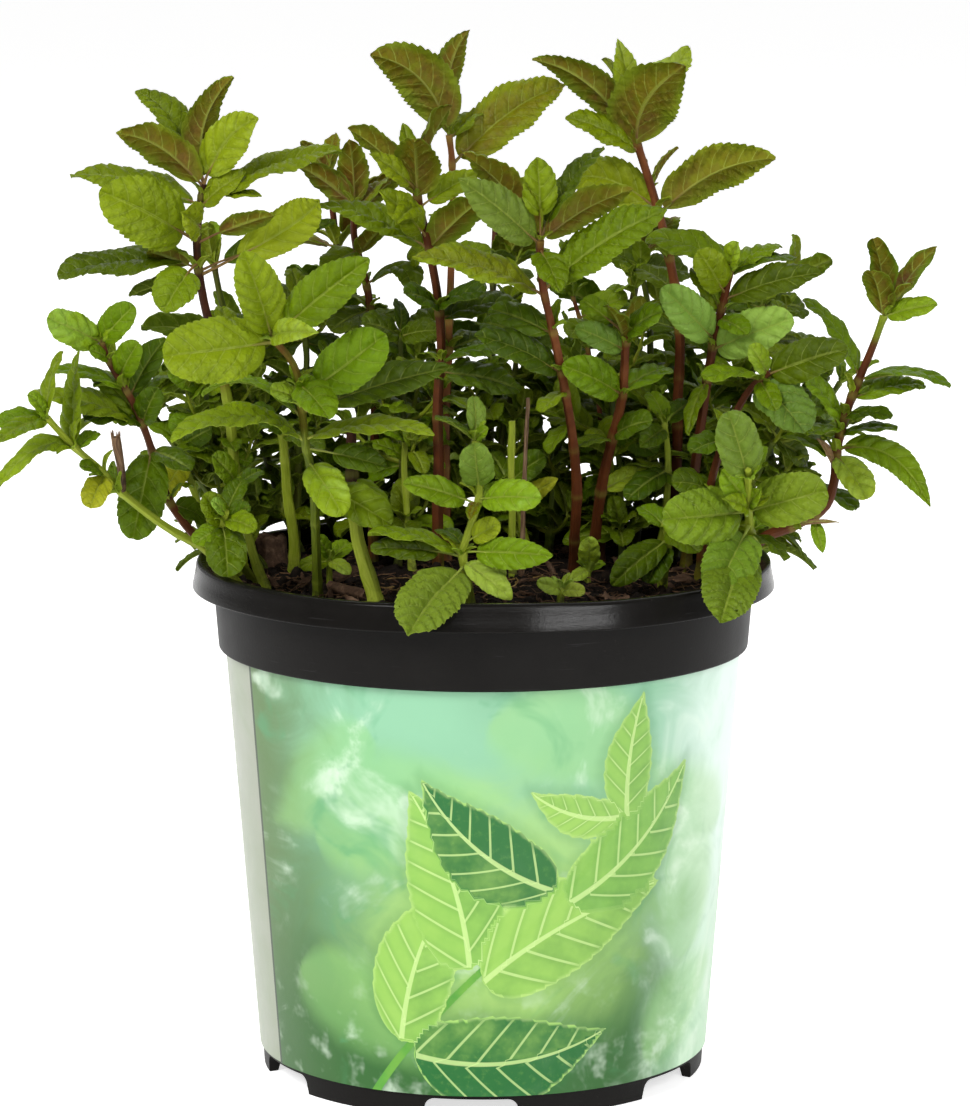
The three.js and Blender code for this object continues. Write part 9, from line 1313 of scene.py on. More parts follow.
def print_fields(X, Y):
    """How the printed leaves lie: for each point, distance out of the near and far leaves, to a vein, to a stem, and two shades."""
    near, far = np.full(X.shape, 50.0), np.full(X.shape, 50.0)
    rib, middle = np.full(X.shape, 0.5), np.full(X.shape, 9.0)
    shade, side = np.zeros(X.shape), np.zeros(X.shape)

    def local(row):
        x0, y0, deg, L, W, bend, _ = row
        w = math.radians(deg)
        a = ((X - x0) * math.cos(w) + (Y - y0) * math.sin(w)) / L
        c = -(X - x0) * math.sin(w) + (Y - y0) * math.cos(w)
        return a, c - bend * L * 4 * a * (1 - a)

    for row in PRINT_FAR:
        a, c = local(row)
        d = np.where((a > 0) & (a < 1), np.abs(c) - row[4] / 2 * half_width(np.clip(a, 0, 1)), np.maximum(np.abs(c), row[3] * np.maximum(-a, a - 1)) + 1)
        far = np.minimum(far, d)
    for row in PRINT_NEAR:
        a, c = local(row)
        L, W = row[3], row[4]
        inside = (a > 0) & (a < 1)
        ac = np.clip(a, 0, 1)
        saw = (ac * L / 3.1 - 0.12 * np.sign(c)) % 1.0
        h = W / 2 * half_width(ac) - 0.55 * (1 - saw) * smooth(0.12, 0.3, ac) * (1 - 0.6 * smooth(0.8, 1, ac))
        d = np.where(inside, (np.abs(c) - h) * 0.9, np.maximum(np.abs(c), L * np.maximum(-a, a - 1)) + 0.4)
        f = (ac * L - 0.85 * np.abs(c) - 0.012 * c * c) / (L / 6.5) + np.where(c > 0, 0.0, 0.45)
        here = d < 0
        rib = np.where(here, f, rib)
        middle = np.where(here, c / (1.3 - ac), middle)
        shade = np.where(here, row[6], shade)
        side = np.where(here, np.sign(c), side)
        near = np.minimum(near, d)
    stem = np.full(X.shape, 50.0)
    for line in PRINT_STEMS:
        Q, _ = catmull(np.array([(*p, 0) for p in line], float), 1.0)
        for i, (p, q) in enumerate(zip(Q[:-1], Q[1:])):
            t = np.clip(((X - p[0]) * (q[0] - p[0]) + (Y - p[1]) * (q[1] - p[1])) / max(np.sum((q - p) ** 2), 1e-6), 0, 1)
            r = 0.95 - 0.45 * i / len(Q)
            stem = np.minimum(stem, np.hypot(X - p[0] - t * (q[0] - p[0]), Y - p[1] - t * (q[1] - p[1])) - r)
    return dict(across=near, rib=far, vein=rib, purple=middle, rnd=shade, yellow=side, stalk=stem)


def wrap_material():
    m = Nodes("printed_wrap")
    near, far, rib, middle, shade, side, stem, under = (m.att(k) for k in ("across", "rib", "vein", "purple", "rnd", "yellow", "stalk", "under"))
    flat = m.vec("flat")
    sep = m.new("ShaderNodeSeparateXYZ")
    m.put(sep.inputs[0], flat)
    X, Y = sep.outputs[0], sep.outputs[1]
    broad = m.noise(flat, 0.022, 3.0, 0.5, distortion=0.8)
    wash = m.noise(flat, 0.045, 4.0, 0.55, distortion=1.2)
    soft = m.noise(flat, 0.12, 3.0, 0.6)
    fine = m.noise(flat, 0.6, 3.0, 0.6)
    # watery wash: sage at the left, green below, mint and nearly white at the right
    left = m.mix(m.step(Y, 8.0, 60.0), PRINT_SAGE_LOW, PRINT_SAGE)
    centre = m.mix(m.step(m.add(Y, m.mul(m.sub(broad, 0.5), 50.0)), 10.0, 88.0), PRINT_GREEN, PRINT_MINT)
    right = m.mix(m.step(Y, 5.0, 70.0), PRINT_PALE_LOW, PRINT_PALE)
    wobble = m.mul(m.sub(wash, 0.5), 34.0)
    col = m.mix(m.step(m.add(X, wobble), 0.0, 34.0), left, centre)
    col = m.mix(m.step(m.add(X, wobble), 92.0, 124.0), col, right)
    col = m.mix(m.step(m.add(X, wobble), 150.0, 190.0), col, centre)
    col = m.mix(m.step(m.add(X, wobble), 255.0, 290.0), col, left)
    # pale yellow-green glow in the middle of each sprig
    for cx, cy in ((64.0, 44.0), (222.0, 46.0)):
        dx, dy = m.mul(m.sub(X, cx), 1 / 42.0), m.mul(m.sub(Y, cy), 1 / 34.0)
        r = m.math("SQRT", m.add(m.mul(dx, dx), m.mul(dy, dy)))
        r = m.add(r, m.mul(m.sub(wash, 0.5), 0.7))
        col = m.mix(m.step(r, 1.15, 0.25, (0.0, 0.8)), col, PRINT_YELLOW)
    # far leaves, out of focus
    blur = m.add(far, m.mul(m.sub(soft, 0.5), 3.0))
    col = m.mix(m.step(blur, 3.2, -4.5, (0.0, 0.42)), col, m.mix(broad, PRINT_FAR_A, PRINT_FAR_B))
    # light spots through the wash
    spots = m.voronoi(flat, 0.16, "SMOOTH_F1", smoothness=0.6)
    spots = m.mul(m.step(m.add(spots, m.mul(m.sub(fine, 0.5), 0.5)), 0.42, 0.10), m.step(wash, 0.45, 0.75))
    col = m.mix(m.mul(spots, 0.55), col, PRINT_WHITE)
    cloud = m.mul(m.step(soft, 0.52, 0.78), m.step(Y, 42.0, 6.0))
    col = m.mix(m.mul(cloud, 0.55), col, PRINT_WHITE)
    col = m.mix(m.mul(m.step(wash, 0.53, 0.74), 0.6), col, PRINT_WHITE)
    gloom = m.mul(m.step(m.noise(flat, 0.05, 3.0, 0.55, distortion=1.5), 0.54, 0.72), m.step(X, 150.0, 20.0, (0.15, 0.55)))
    col = m.mix(gloom, col, PRINT_TEAL)
    # stem and near leaves
    col = m.mix(m.mul(m.step(m.add(stem, 0.6), 1.4, 0.0), 0.25), col, PRINT_DEEP)
    stem_col = m.mix(m.step(soft, 0.3, 0.7), PRINT_STEM, PRINT_LEAF)
    col = m.mix(m.step(stem, 0.12, -0.12), col, stem_col)
    shadow = m.mul(m.step(near, 3.0, 0.0), 0.22)
    col = m.mix(shadow, col, PRINT_DEEP)
    body = m.mix(shade, PRINT_LIGHT_LEAF, PRINT_LEAF)
    body = m.mix(m.step(shade, 0.5, 1.0), body, PRINT_DEEP)
    lit = m.add(m.mul(side, 0.16), m.mul(m.sub(soft, 0.5), 0.7))
    body = m.mix(m.step(lit, 0.0, 0.4, (0.0, 0.45)), body, PRINT_LIGHT_LEAF)
    body = m.mix(m.step(lit, 0.0, -0.4, (0.0, 0.35)), body, PRINT_DEEP)
    body = m.mix(m.step(near, -0.1, -0.9, (0.30, 0.0)), body, PRINT_LIGHT_VEIN)
    off = m.math("ABSOLUTE", m.sub(m.math("FRACT", m.add(rib, 0.5)), 0.5))  # 0 on a side vein, 0.5 between
    body = m.mix(m.mul(m.step(off, 0.34, 0.06), 0.16), body, PRINT_DEEP)
    thin = m.mul(m.step(off, 0.066, 0.036), m.step(near, -0.2, -2.4, (0.25, 0.62)))
    body = m.mix(thin, body, PRINT_LIGHT_VEIN)
    body = m.mix(m.mul(m.step(m.math("ABSOLUTE", middle), 0.62, 0.40), 0.72), body, PRINT_LIGHT_VEIN)
    body = m.mix(m.mul(m.step(fine, 0.5, 0.9), 0.25), body, PRINT_LIGHT_LEAF)
    col = m.mix(m.mul(m.step(near, 0.12, -0.12), 0.94), col, body)
    # the plain strip at the wrap's end, and a thin dark line at the seam, a painted shadow of the upper end's edge
    strip = m.math("MAXIMUM", m.step(X, 313.0, 313.6), m.step(X, -0.2, -0.6))
    col = m.mix(strip, col, m.mix(m.step(wash, 0.3, 0.7), PRINT_STRIP, PRINT_STRIP_B))
    # painted shadow: a thin dark line along the edge of the end that lies on top
    line = m.mul(m.step(X, 0.95, 0.80), m.step(X, -0.1, 0.0))
    col = m.mix(m.mul(line, 0.8), col, (0.03, 0.035, 0.03))
    col = m.mix(m.step(under, 0.4, 0.6), col, (0.62, 0.62, 0.60))
    tiny = m.noise(flat, 4.0, 2.0, 0.6)
    rough = m.add(0.36, m.mul(m.sub(m.add(soft, tiny), 1.0), 0.16))
    normal = m.bump(m.add(m.mul(soft, 0.8), m.mul(tiny, 0.04)), 0.0004, 0.25)
    face = m.principled(Base_Color=col, Roughness=rough, Normal=normal, Specular_IOR_Level=0.30)
    return m.finish(face.outputs[0])


PRINT_SAGE_LOW = srgb(54, 94, 44)
PRINT_SAGE = srgb(84, 114, 66)
PRINT_GREEN = srgb(40, 90, 34)
PRINT_MINT = srgb(128, 178, 144)
PRINT_PALE_LOW = srgb(172, 206, 172)
PRINT_PALE = srgb(212, 230, 220)
PRINT_YELLOW = srgb(158, 196, 104)
PRINT_TEAL = srgb(72, 142, 96)
PRINT_FAR_A = srgb(96, 172, 92)
PRINT_FAR_B = srgb(170, 204, 122)
PRINT_WHITE = srgb(206, 222, 202)
PRINT_DEEP = srgb(14, 92, 36)
PRINT_LEAF = srgb(72, 142, 48)
PRINT_LIGHT_LEAF = srgb(148, 188, 84)
PRINT_LIGHT_VEIN = srgb(186, 212, 136)
PRINT_STEM = srgb(98, 152, 52)
PRINT_STRIP = srgb(148, 153, 138)
PRINT_STRIP_B = srgb(140, 149, 128)

# ---------------------------------------------------------------- pot, wrap and soil
SEAM = math.radians(-90 - 62.5)  # where the wrap's ends overlap, seen at the left of the front
FOOT_R, FLOOR_Z, SOIL_Z = 49.6, 5.6, 110.3
POT_PROFILE = [  # radius, height, and how round the corner is (mm)
    (0.0, 4.4, 0), (46.4, 4.4, 0.8), (47.4, 0.0, 0.3), (49.6, 0.0, 0.35), (49.9, 4.9, 0.0), (56.95, 95.6, 0.05), (59.12, 95.7, 0.45),
    (60.2, 109.0, 0.5), (60.5, 112.2, 0.8), (63.0, 112.2, 0.6), (63.95, 109.1, 0.25), (65.0, 109.05, 0.35), (64.35, 112.2, 1.2),
    (64.0, 114.6, 0.5), (63.3, 115.0, 0.3), (61.5, 114.95, 0.45), (60.7, 114.1, 0.5), (59.35, 110.0, 0.6), (58.0, 96.4, 0.5),
    (55.9, 94.9, 0.6), (48.95, 5.6, 1.0), (0.0, 5.6, 0),
]


def rounded(profile, steps=4):
    """The profile with each corner replaced by an arc of points."""
    out = []
    pts = [np.array(p[:2], float) for p in profile]
    for i, (p, row) in enumerate(zip(pts, profile)):
        r = row[2]
        if r <= 0 or i in (0, len(pts) - 1):
            out.append(p)
            continue
        a, c = pts[i - 1], pts[i + 1]
        reach = min(r, 0.45 * np.linalg.norm(a - p), 0.45 * np.linalg.norm(c - p))
        p0, p2 = p + unit(a - p) * reach, p + unit(c - p) * reach
        for e in np.linspace(0, 1, steps + 1):
            out.append((1 - e) ** 2 * p0 + 2 * e * (1 - e) * p + e * e * p2)
    return np.array(out)


def lathe_mesh(name, outline, segments):
    """A closed body of revolution; the outline starts and ends on the axis."""
    n = len(outline) - 2
    w = np.arange(segments) * 2 * np.pi / segments
    ring = outline[1:-1]
    V = np.stack([ring[:, 0][:, None] * np.cos(w), ring[:, 0][:, None] * np.sin(w), np.broadcast_to(ring[:, 1][:, None], (n, segments))], -1).reshape(-1, 3)
    V = np.concatenate([V, [[0, 0, outline[0][1]], [0, 0, outline[-1][1]]]])
    I = np.arange(n * segments).reshape(n, segments)
    J = np.roll(I, -1, axis=1)
    faces = np.stack([I[:-1], J[:-1], J[1:], I[1:]], -1).reshape(-1, 4).tolist()
    lo, hi = n * segments, n * segments + 1
    faces += [[lo, int(b), int(a)] for a, b in zip(I[0], J[0])]
    faces += [[hi, int(a), int(b)] for a, b in zip(I[-1], J[-1])]
    me = bpy.data.meshes.new(name)
    me.from_pydata((V * MM).tolist(), [], faces)
    me.update()
    ob = bpy.data.objects.new(name, me)
    bpy.context.scene.collection.objects.link(ob)
    return ob


def prism(outline, depth, place):
    """A closed straight-sided block over a flat outline, for cutting; place maps (x, y, d) to the scene in mm."""
    n = len(outline)
    V = [place(x, y, 0) for x, y in outline] + [place(x, y, depth) for x, y in outline]
    F = [list(range(n))[::-1], list(range(n, 2 * n))] + [[i, (i + 1) % n, n + (i + 1) % n, n + i] for i in range(n)]
    return V, F


def apply_modifiers(ob):
    dg = bpy.context.evaluated_depsgraph_get()
    me = bpy.data.meshes.new_from_object(ob.evaluated_get(dg))
    old = ob.data
    ob.modifiers.clear()
    ob.data = me
    bpy.data.meshes.remove(old)


def make_pot(material):
    ob = lathe_mesh("pot_moulding", rounded(POT_PROFILE), 180)
    V, F = [], []

    def more(v, f):
        at = len(V)
        V.extend(v)
        F.extend([[at + i for i in face] for face in f])

    for k in range(6):
        w = math.radians(-93 + 60 * k)
        h, top = 10.5, 4.2
        arch = [(-h, -1), (h, -1), (h, 0.6), (h - 0.35, 2.0)]
        arch += [(h - 0.35 - 2.2 * (1 - math.cos(a)), 2.0 + 2.2 * math.sin(a)) for a in np.linspace(0.2, math.pi / 2, 6)]
        arch += [(-x, y) for x, y in arch[:1:-1]]
        cx, sx = math.cos(w), math.sin(w)
        v, f = prism(arch, 9.0, lambda x, y, d: ((44 + d) * cx - x * sx, (44 + d) * sx + x * cx, y))
        more(v, f)
    for k in range(7):
        w = math.radians(-63 + 60 * k)
        r = 0 if k == 6 else 36.0
        ring = [(4.0 * math.cos(a), 4.0 * math.sin(a)) for a in np.arange(32) * math.pi / 16]
        v, f = prism(ring, 4.0, lambda x, y, d: (r * math.cos(w) + x, r * math.sin(w) + y, 3.0 + d))
        more(v, f)
    me = bpy.data.meshes.new("pot_cutter")
    me.from_pydata((np.array(V) * MM).tolist(), [], F)
    me.update()
    import bmesh
    bm = bmesh.new()
    bm.from_mesh(me)
    bmesh.ops.recalc_face_normals(bm, faces=bm.faces)
    bm.to_mesh(me)
    bm.free()
    cutter = bpy.data.objects.new("pot_cutter", me)
    bpy.context.scene.collection.objects.link(cutter)
    mod = ob.modifiers.new("arches", "BOOLEAN")
    mod.operation, mod.solver, mod.object = "DIFFERENCE", "EXACT", cutter
    bpy.context.view_layer.update()
    apply_modifiers(ob)
    bpy.data.objects.remove(cutter)
    bpy.data.meshes.remove(me)
    # nothing moulded is perfectly round: a faint wave in the wall and a sag in the lip
    co = np.zeros(len(ob.data.vertices) * 3, np.float32)
    ob.data.vertices.foreach_get("co", co)
    co = co.reshape(-1, 3).astype(float)
    w = np.arctan2(co[:, 1], co[:, 0])
    r = np.hypot(co[:, 0], co[:, 1])
    z = co[:, 2] / MM
    k = 1 + 0.0016 * smooth(60, 112, z) * (np.sin(3 * w + 0.7) + 0.6 * np.sin(5 * w + 2.1)) * (r > 0.02)
    co[:, 0] *= k
    co[:, 1] *= k
    co[:, 2] += 0.00022 * smooth(100, 114, z) * (np.sin(4 * w + 1.3) + 0.5 * np.sin(7 * w)) * (z > 100)
    ob.data.vertices.foreach_set("co", co.astype(np.float32).ravel())
    ob.data.materials.clear()
    ob.data.materials.append(material)
    ob.data.polygons.foreach_set("use_smooth", np.ones(len(ob.data.polygons), bool))
    ob.data.set_sharp_from_angle(angle=math.radians(38))
    ob.data.update()
    return ob


def make_sleeve(material):
    """The printed wrap: one sheet round the wall whose ends overlap in a low step."""
    b = Build()
    seg, rows = 500, 95
    lap, thick = 14.0, 0.16
    z = np.concatenate([[5.05, 5.2], np.linspace(5.6, 94.8, rows - 4), [95.2, 95.35]])
    wall = 49.9 + (56.95 - 49.9) * (z - 4.9) / 90.7
    inner = wall + 0.25
    outer = inner + 0.34
    turn = np.linspace(0, 2 * np.pi, seg + 1)
    # from the seam round to the lap, which slides under the other end
    extra = lap / 54.0
    a = SEAM + np.concatenate([turn, 2 * np.pi + np.array([0.25, 0.5, 0.75, 1.0]) * extra])
    under = smooth(2 * np.pi - 0.5 * extra, 2 * np.pi + 0.05 * extra, a - SEAM)
    over = 1 - smooth(0.0, 0.6 * extra, a - SEAM)
    lift = 0.11 * over - 0.11 * under + 0.03 * np.sin(5 * a) * (1 - over)
    ro = outer[:, None] + lift[None, :]
    ri = ro - thick
    grid_o = np.stack([ro * np.cos(a), ro * np.sin(a), np.broadcast_to(z[:, None], ro.shape)], -1)
    grid_i = np.stack([ri * np.cos(a), ri * np.sin(a), np.broadcast_to(z[:, None], ro.shape)], -1)
    arc = (a - SEAM) * 54.0
    flat = np.stack(np.broadcast_arrays(arc[None, :], z[:, None], 0.0), -1)
    rr = np.broadcast_to(arc[None, :], ro.shape).ravel()
    fields = {k: v.ravel() for k, v in print_fields(flat[..., 0], flat[..., 1]).items()}
    p0 = b.points(grid_o, flat, under=0.0, reach=rr, **fields)
    p1 = b.points(grid_i, flat, under=1.0, reach=rr)
    n, m = ro.shape
    I = np.arange(n * m).reshape(n, m)
    UV = np.stack(np.broadcast_arrays(arc[None, :], z[:, None]), -1)
    for at, flip in ((p0, False), (p1, True)):
        J, U = at + I, UV
        if not flip:
            J, U = J[:, ::-1], U[:, ::-1]
        isl, lo = b.island([UV])
        b.grid(J, U, 0, isl, lo)
    loop = np.concatenate([I[0, :-1], I[:-1, -1], I[-1, :0:-1], I[:0:-1, 0]])
    loop = np.append(loop, loop[0])
    run = np.concatenate([[0], np.cumsum(np.linalg.norm(np.diff(UV.reshape(-1, 2)[loop], axis=0), axis=1))])
    J = np.stack([p0 + loop, p1 + loop])[::-1]
    UVe = np.stack([np.stack([run, np.full_like(run, 0.3)], -1), np.stack([run, np.zeros_like(run)], -1)])
    q = len(loop) // 4
    cuts = [0, q, 2 * q, 3 * q, len(loop) - 1]
    for lo_i, hi_i in zip(cuts[:-1], cuts[1:]):
        sl = slice(lo_i, hi_i + 1)
        isl, lo = b.island([UVe[:, sl]])
        b.grid(J[:, sl], UVe[:, sl], 0, isl, lo)
    return b.object("printed_wrap", [material], sharp=40)


def value_noise(rng, x, y, cell):
    """Smooth random heights on a plane, about -1 to 1, from a fixed table."""
    n = 256
    table = rng.uniform(-1, 1, (n, n))
    gx, gy = x / cell + 97.3, y / cell + 41.7
    ix, iy = np.floor(gx).astype(int), np.floor(gy).astype(int)
    fx, fy = gx - ix, gy - iy
    fx, fy = fx * fx * (3 - 2 * fx), fy * fy * (3 - 2 * fy)
    t = lambda i, j: table[i % n, j % n]
    return (t(ix, iy) * (1 - fx) * (1 - fy) + t(ix + 1, iy) * fx * (1 - fy) + t(ix, iy + 1) * (1 - fx) * fy + t(ix + 1, iy + 1) * fx * fy)


def soil_height(x, y):
    """The soil's surface above the pot's foot, in mm."""
    rng = np.random.RandomState(11)
    r = np.hypot(x, y)
    h = 109.9 + 0.9 * value_noise(rng, x, y, 16.0)
    h += 1.0 * value_noise(rng, x, y, 7.0)
    h += 0.75 * value_noise(rng, x, y, 3.2)
    lump = value_noise(rng, x, y, 1.7)
    h += 0.55 * lump
    h += 0.35 * np.abs(value_noise(rng, x, y, 0.9))
    crumb = value_noise(rng, x, y, 2.4)
    h += 0.9 * np.clip(crumb - 0.25, 0, 1) ** 0.6
    h -= 1.1 * smooth(52, 59, r)
    return h


def make_soil(material):
    b = Build()
    # rings, close together outside where they show, each with the same number of points
    radii = np.concatenate([[0.4], np.linspace(1.6, 58.2, 118)])
    n = 400
    w = np.arange(n) * 2 * np.pi / n
    R, Wd = np.meshgrid(radii, w, indexing="ij")
    jx = np.random.RandomState(5).uniform(-0.2, 0.2, R.shape) * (R < 58)
    x, y = (R + jx) * np.cos(Wd), (R + jx) * np.sin(Wd)
    z = soil_height(x, y)
    wall = lambda zz: np.where(zz > 96.4, 58.0 + (zz - 96.4) * 1.35 / 13.6, 48.95 + (zz - FLOOR_Z) * (55.9 - 48.95) / (94.9 - FLOOR_Z)) - 0.3
    top = np.stack([x, y, z], -1)
    scale = np.minimum(1.0, wall(z) / np.maximum(np.hypot(x, y), 1e-6))
    top[..., :2] *= scale[..., None]
    sides = []
    for zz in (108.0, 97.0, 94.4, 50.0, 6.0):
        r = np.full(n, float(wall(np.array(zz)) if zz != 97.0 else 57.6))
        sides.append(np.stack([r * np.cos(w), r * np.sin(w), np.full(n, zz)], -1))
    edge = sides[0].copy()
    edge[:, 2] = np.minimum(z[-1] - 0.2, 108.9)
    edge[:, :2] *= (float(wall(np.array(108.6))) / np.hypot(edge[:, 0], edge[:, 1]))[:, None]
    full = np.concatenate([top, np.array([edge] + sides)])
    at = b.points(full)
    I = at + np.arange(len(full) * n).reshape(len(full), n)
    I2 = np.concatenate([I, I[:, :1]], 1)
    span = np.concatenate([radii, radii[-1] + np.array([1.5, 2.5, 14, 17, 61, 105])])
    UV = np.stack(np.broadcast_arrays(np.linspace(0, 200, n + 1)[None, :], span[:, None]), -1)
    isl, lo = b.island([UV])
    b.grid(I2, UV, 0, isl, lo)
    c = b.points([[0, 0, float(soil_height(np.array([0.0]), np.array([0.0]))[0])]])
    b.fan(I[0], c, 0, r=0.4)
    c = b.points([[0, 0, 6.0]])
    b.fan(I[-1], c, 0, flip=True, r=40)
    return b.object("soil_bed", [material], sharp=None)


# ---------------------------------------------------------------- loose bits on the soil
ICO = None


def ico():
    """A small ball to make crumbs from: 42 points, 80 faces."""
    global ICO
    if ICO is None:
        import bmesh
        bm = bmesh.new()
        bmesh.ops.create_icosphere(bm, subdivisions=2, radius=1.0)
        bm.verts.ensure_lookup_table()
        ICO = np.array([v.co[:] for v in bm.verts]), np.array([[v.index for v in f.verts] for f in bm.faces])
        bm.free()
    return ICO


def spots(rng, n, r0=8.0, r1=57.0, front=0.5):
    """Random places on the soil, closer together near the wall and at the front, where it shows."""
    out = []
    while len(out) < n:
        r = math.sqrt(rng.uniform(r0 * r0, r1 * r1))
        w = rng.uniform(0, 2 * math.pi)
        x, y = r * math.cos(w), r * math.sin(w)
        keep = 0.35 + 0.4 * (r > 34) + (front if y < 0 else 0)
        if rng.uniform() < keep:
            out.append((x, y))
    return np.array(out)


def blob_object(name, material, centres, sizes, stretch, rng, lumps=0.35):
    V0, F0 = ico()
    n, k = len(centres), len(V0)
    q = rng.normal(size=(n, 4))
    q /= np.linalg.norm(q, axis=1, keepdims=True)
    w, x, y, z = q.T
    R = np.stack([1 - 2 * (y * y + z * z), 2 * (x * y - z * w), 2 * (x * z + y * w), 2 * (x * y + z * w), 1 - 2 * (x * x + z * z),
                  2 * (y * z - x * w), 2 * (x * z - y * w), 2 * (y * z + x * w), 1 - 2 * (x * x + y * y)], -1).reshape(n, 3, 3)
    dirs = rng.normal(size=(n, 5, 3))
    dirs /= np.linalg.norm(dirs, axis=2, keepdims=True)
    amp = rng.uniform(-lumps, lumps, (n, 5))
    bump_ = 1 + np.einsum("nk,nkv->nv", amp, np.maximum(np.einsum("nkd,vd->nkv", dirs, V0), 0) ** 3)
    bump_ = bump_ * (1 + rng.normal(0, 0.05, (n, k)))
    P = V0[None] * bump_[..., None] * stretch[:, None, :]
    P = np.einsum("nij,nvj->nvi", R, P) * sizes[:, None, None] + centres[:, None, :]
    V = P.reshape(-1, 3) * MM
    F = (F0[None] + (np.arange(n) * k)[:, None, None]).reshape(-1, 3)
    me = bpy.data.meshes.new(name)
    me.from_pydata(V.tolist(), [], F.tolist())
    me.polygons.foreach_set("use_smooth", np.ones(len(me.polygons), bool))
    me.materials.append(material)
    me.set_sharp_from_angle(angle=math.radians(50))
    me.update()
    ob = bpy.data.objects.new(name, me)
    bpy.context.scene.collection.objects.link(ob)
    return ob


def inside_pot(x, y, limit=58.6):
    r = np.hypot(x, y)
    k = np.minimum(1, limit / np.maximum(r, 1e-6))
    return x * k, y * k


def make_crumbs(material):
    rng = np.random.RandomState(21)
    P = spots(rng, 1750, 4.0, 57.8)
    size = rng.lognormal(-0.45, 0.45, len(P)).clip(0.25, 2.1)
    x, y = inside_pot(P[:, 0], P[:, 1], 57.6)
    size = np.minimum(size, np.maximum(58.9 - np.hypot(x, y), 0.25))
    z = soil_height(x, y) + size * rng.uniform(-0.2, 0.45, len(P))
    stretch = np.stack([rng.uniform(0.75, 1.35, len(P)), rng.uniform(0.7, 1.1, len(P)), rng.uniform(0.45, 0.95, len(P))], -1)
    return blob_object("soil_crumbs", material, np.stack([x, y, z], -1), size, stretch, rng)


def make_chips(material):
    rng = np.random.RandomState(33)
    P = spots(rng, 150, 10.0, 56.0)
    size = rng.lognormal(0.1, 0.4, len(P)).clip(0.6, 2.6)
    x, y = inside_pot(P[:, 0], P[:, 1], 56.0)
    z = soil_height(x, y) + 0.35
    stretch = np.stack([rng.uniform(1.0, 1.9, len(P)), rng.uniform(0.4, 0.8, len(P)), rng.uniform(0.12, 0.3, len(P))], -1)
    return blob_object("soil_chips", material, np.stack([x, y, z + 0.3 * size], -1), size, stretch, rng, lumps=0.2)


def make_fibres(material):
    rng = np.random.RandomState(45)
    b = Build()
    P = spots(rng, 380, 6.0, 55.0)
    for i, (x, y) in enumerate(P):
        n = rng.randint(7, 13)
        L = rng.uniform(5, 17)
        heading = rng.uniform(0, 2 * math.pi)
        turn = rng.normal(0, 0.28) + rng.normal(0, 0.22, n)
        steps = heading + np.cumsum(turn)
        dx, dy = np.cos(steps) * L / n, np.sin(steps) * L / n
        px, py = x + np.cumsum(dx), y + np.cumsum(dy)
        px, py = inside_pot(px, py, 58.2)
        h = rng.uniform(0.1, 0.5) + rng.uniform(0, 1.8) * np.sin(np.pi * np.linspace(0, 1, n)) ** 2 * (rng.uniform() < 0.4)
        pz = soil_height(px, py) * 0.6 + np.mean(soil_height(px, py)) * 0.4 + 0.3 + h
        r = rng.uniform(0.07, 0.2) * np.linspace(1.0, 0.5, n)
        tube(b, np.stack([px, py, pz], -1), r, 5, 0, caps=(True, True))
    # a tuft of fine golden rootlets near the middle of the front
    for i in range(40):
        c = rng.normal(0, 1, 2) * (4.4, 3.0) + (0.5, -17.5)
        if i % 3 == 0:
            c = rng.normal(0, 1, 2) * (5.0, 4.0) + (-13.0, -28.0)
        n, R0 = 16, rng.uniform(1.6, 4.2)
        w = np.linspace(0, rng.uniform(0.8, 2.6), n) + rng.uniform(0, 6.3) + 0.25 * np.sin(np.linspace(0, rng.uniform(4, 9), n))
        tilt = rng.uniform(-1, 1)
        px = c[0] + R0 * np.cos(w) + np.linspace(-1, 1, n) * rng.uniform(-2, 2)
        py = c[1] + R0 * np.sin(w) * 0.7 + np.linspace(-1, 1, n) * rng.uniform(-1.5, 1.5)
        pz = soil_height(px, py) * 0.3 + soil_height(c[:1], c[1:])[0] * 0.7 + 0.9 + R0 * 0.35 * (1 + np.sin(w) * tilt)
        tube(b, np.stack([px, py, pz], -1), rng.uniform(0.09, 0.17), 5, 1, caps=(True, True))
    return b


def jag(rng, n, size):
    """Uneven heights round a broken edge."""
    k = rng.uniform(-1, 1, n)
    return size * (0.6 * k + 0.4 * np.roll(k, 1))


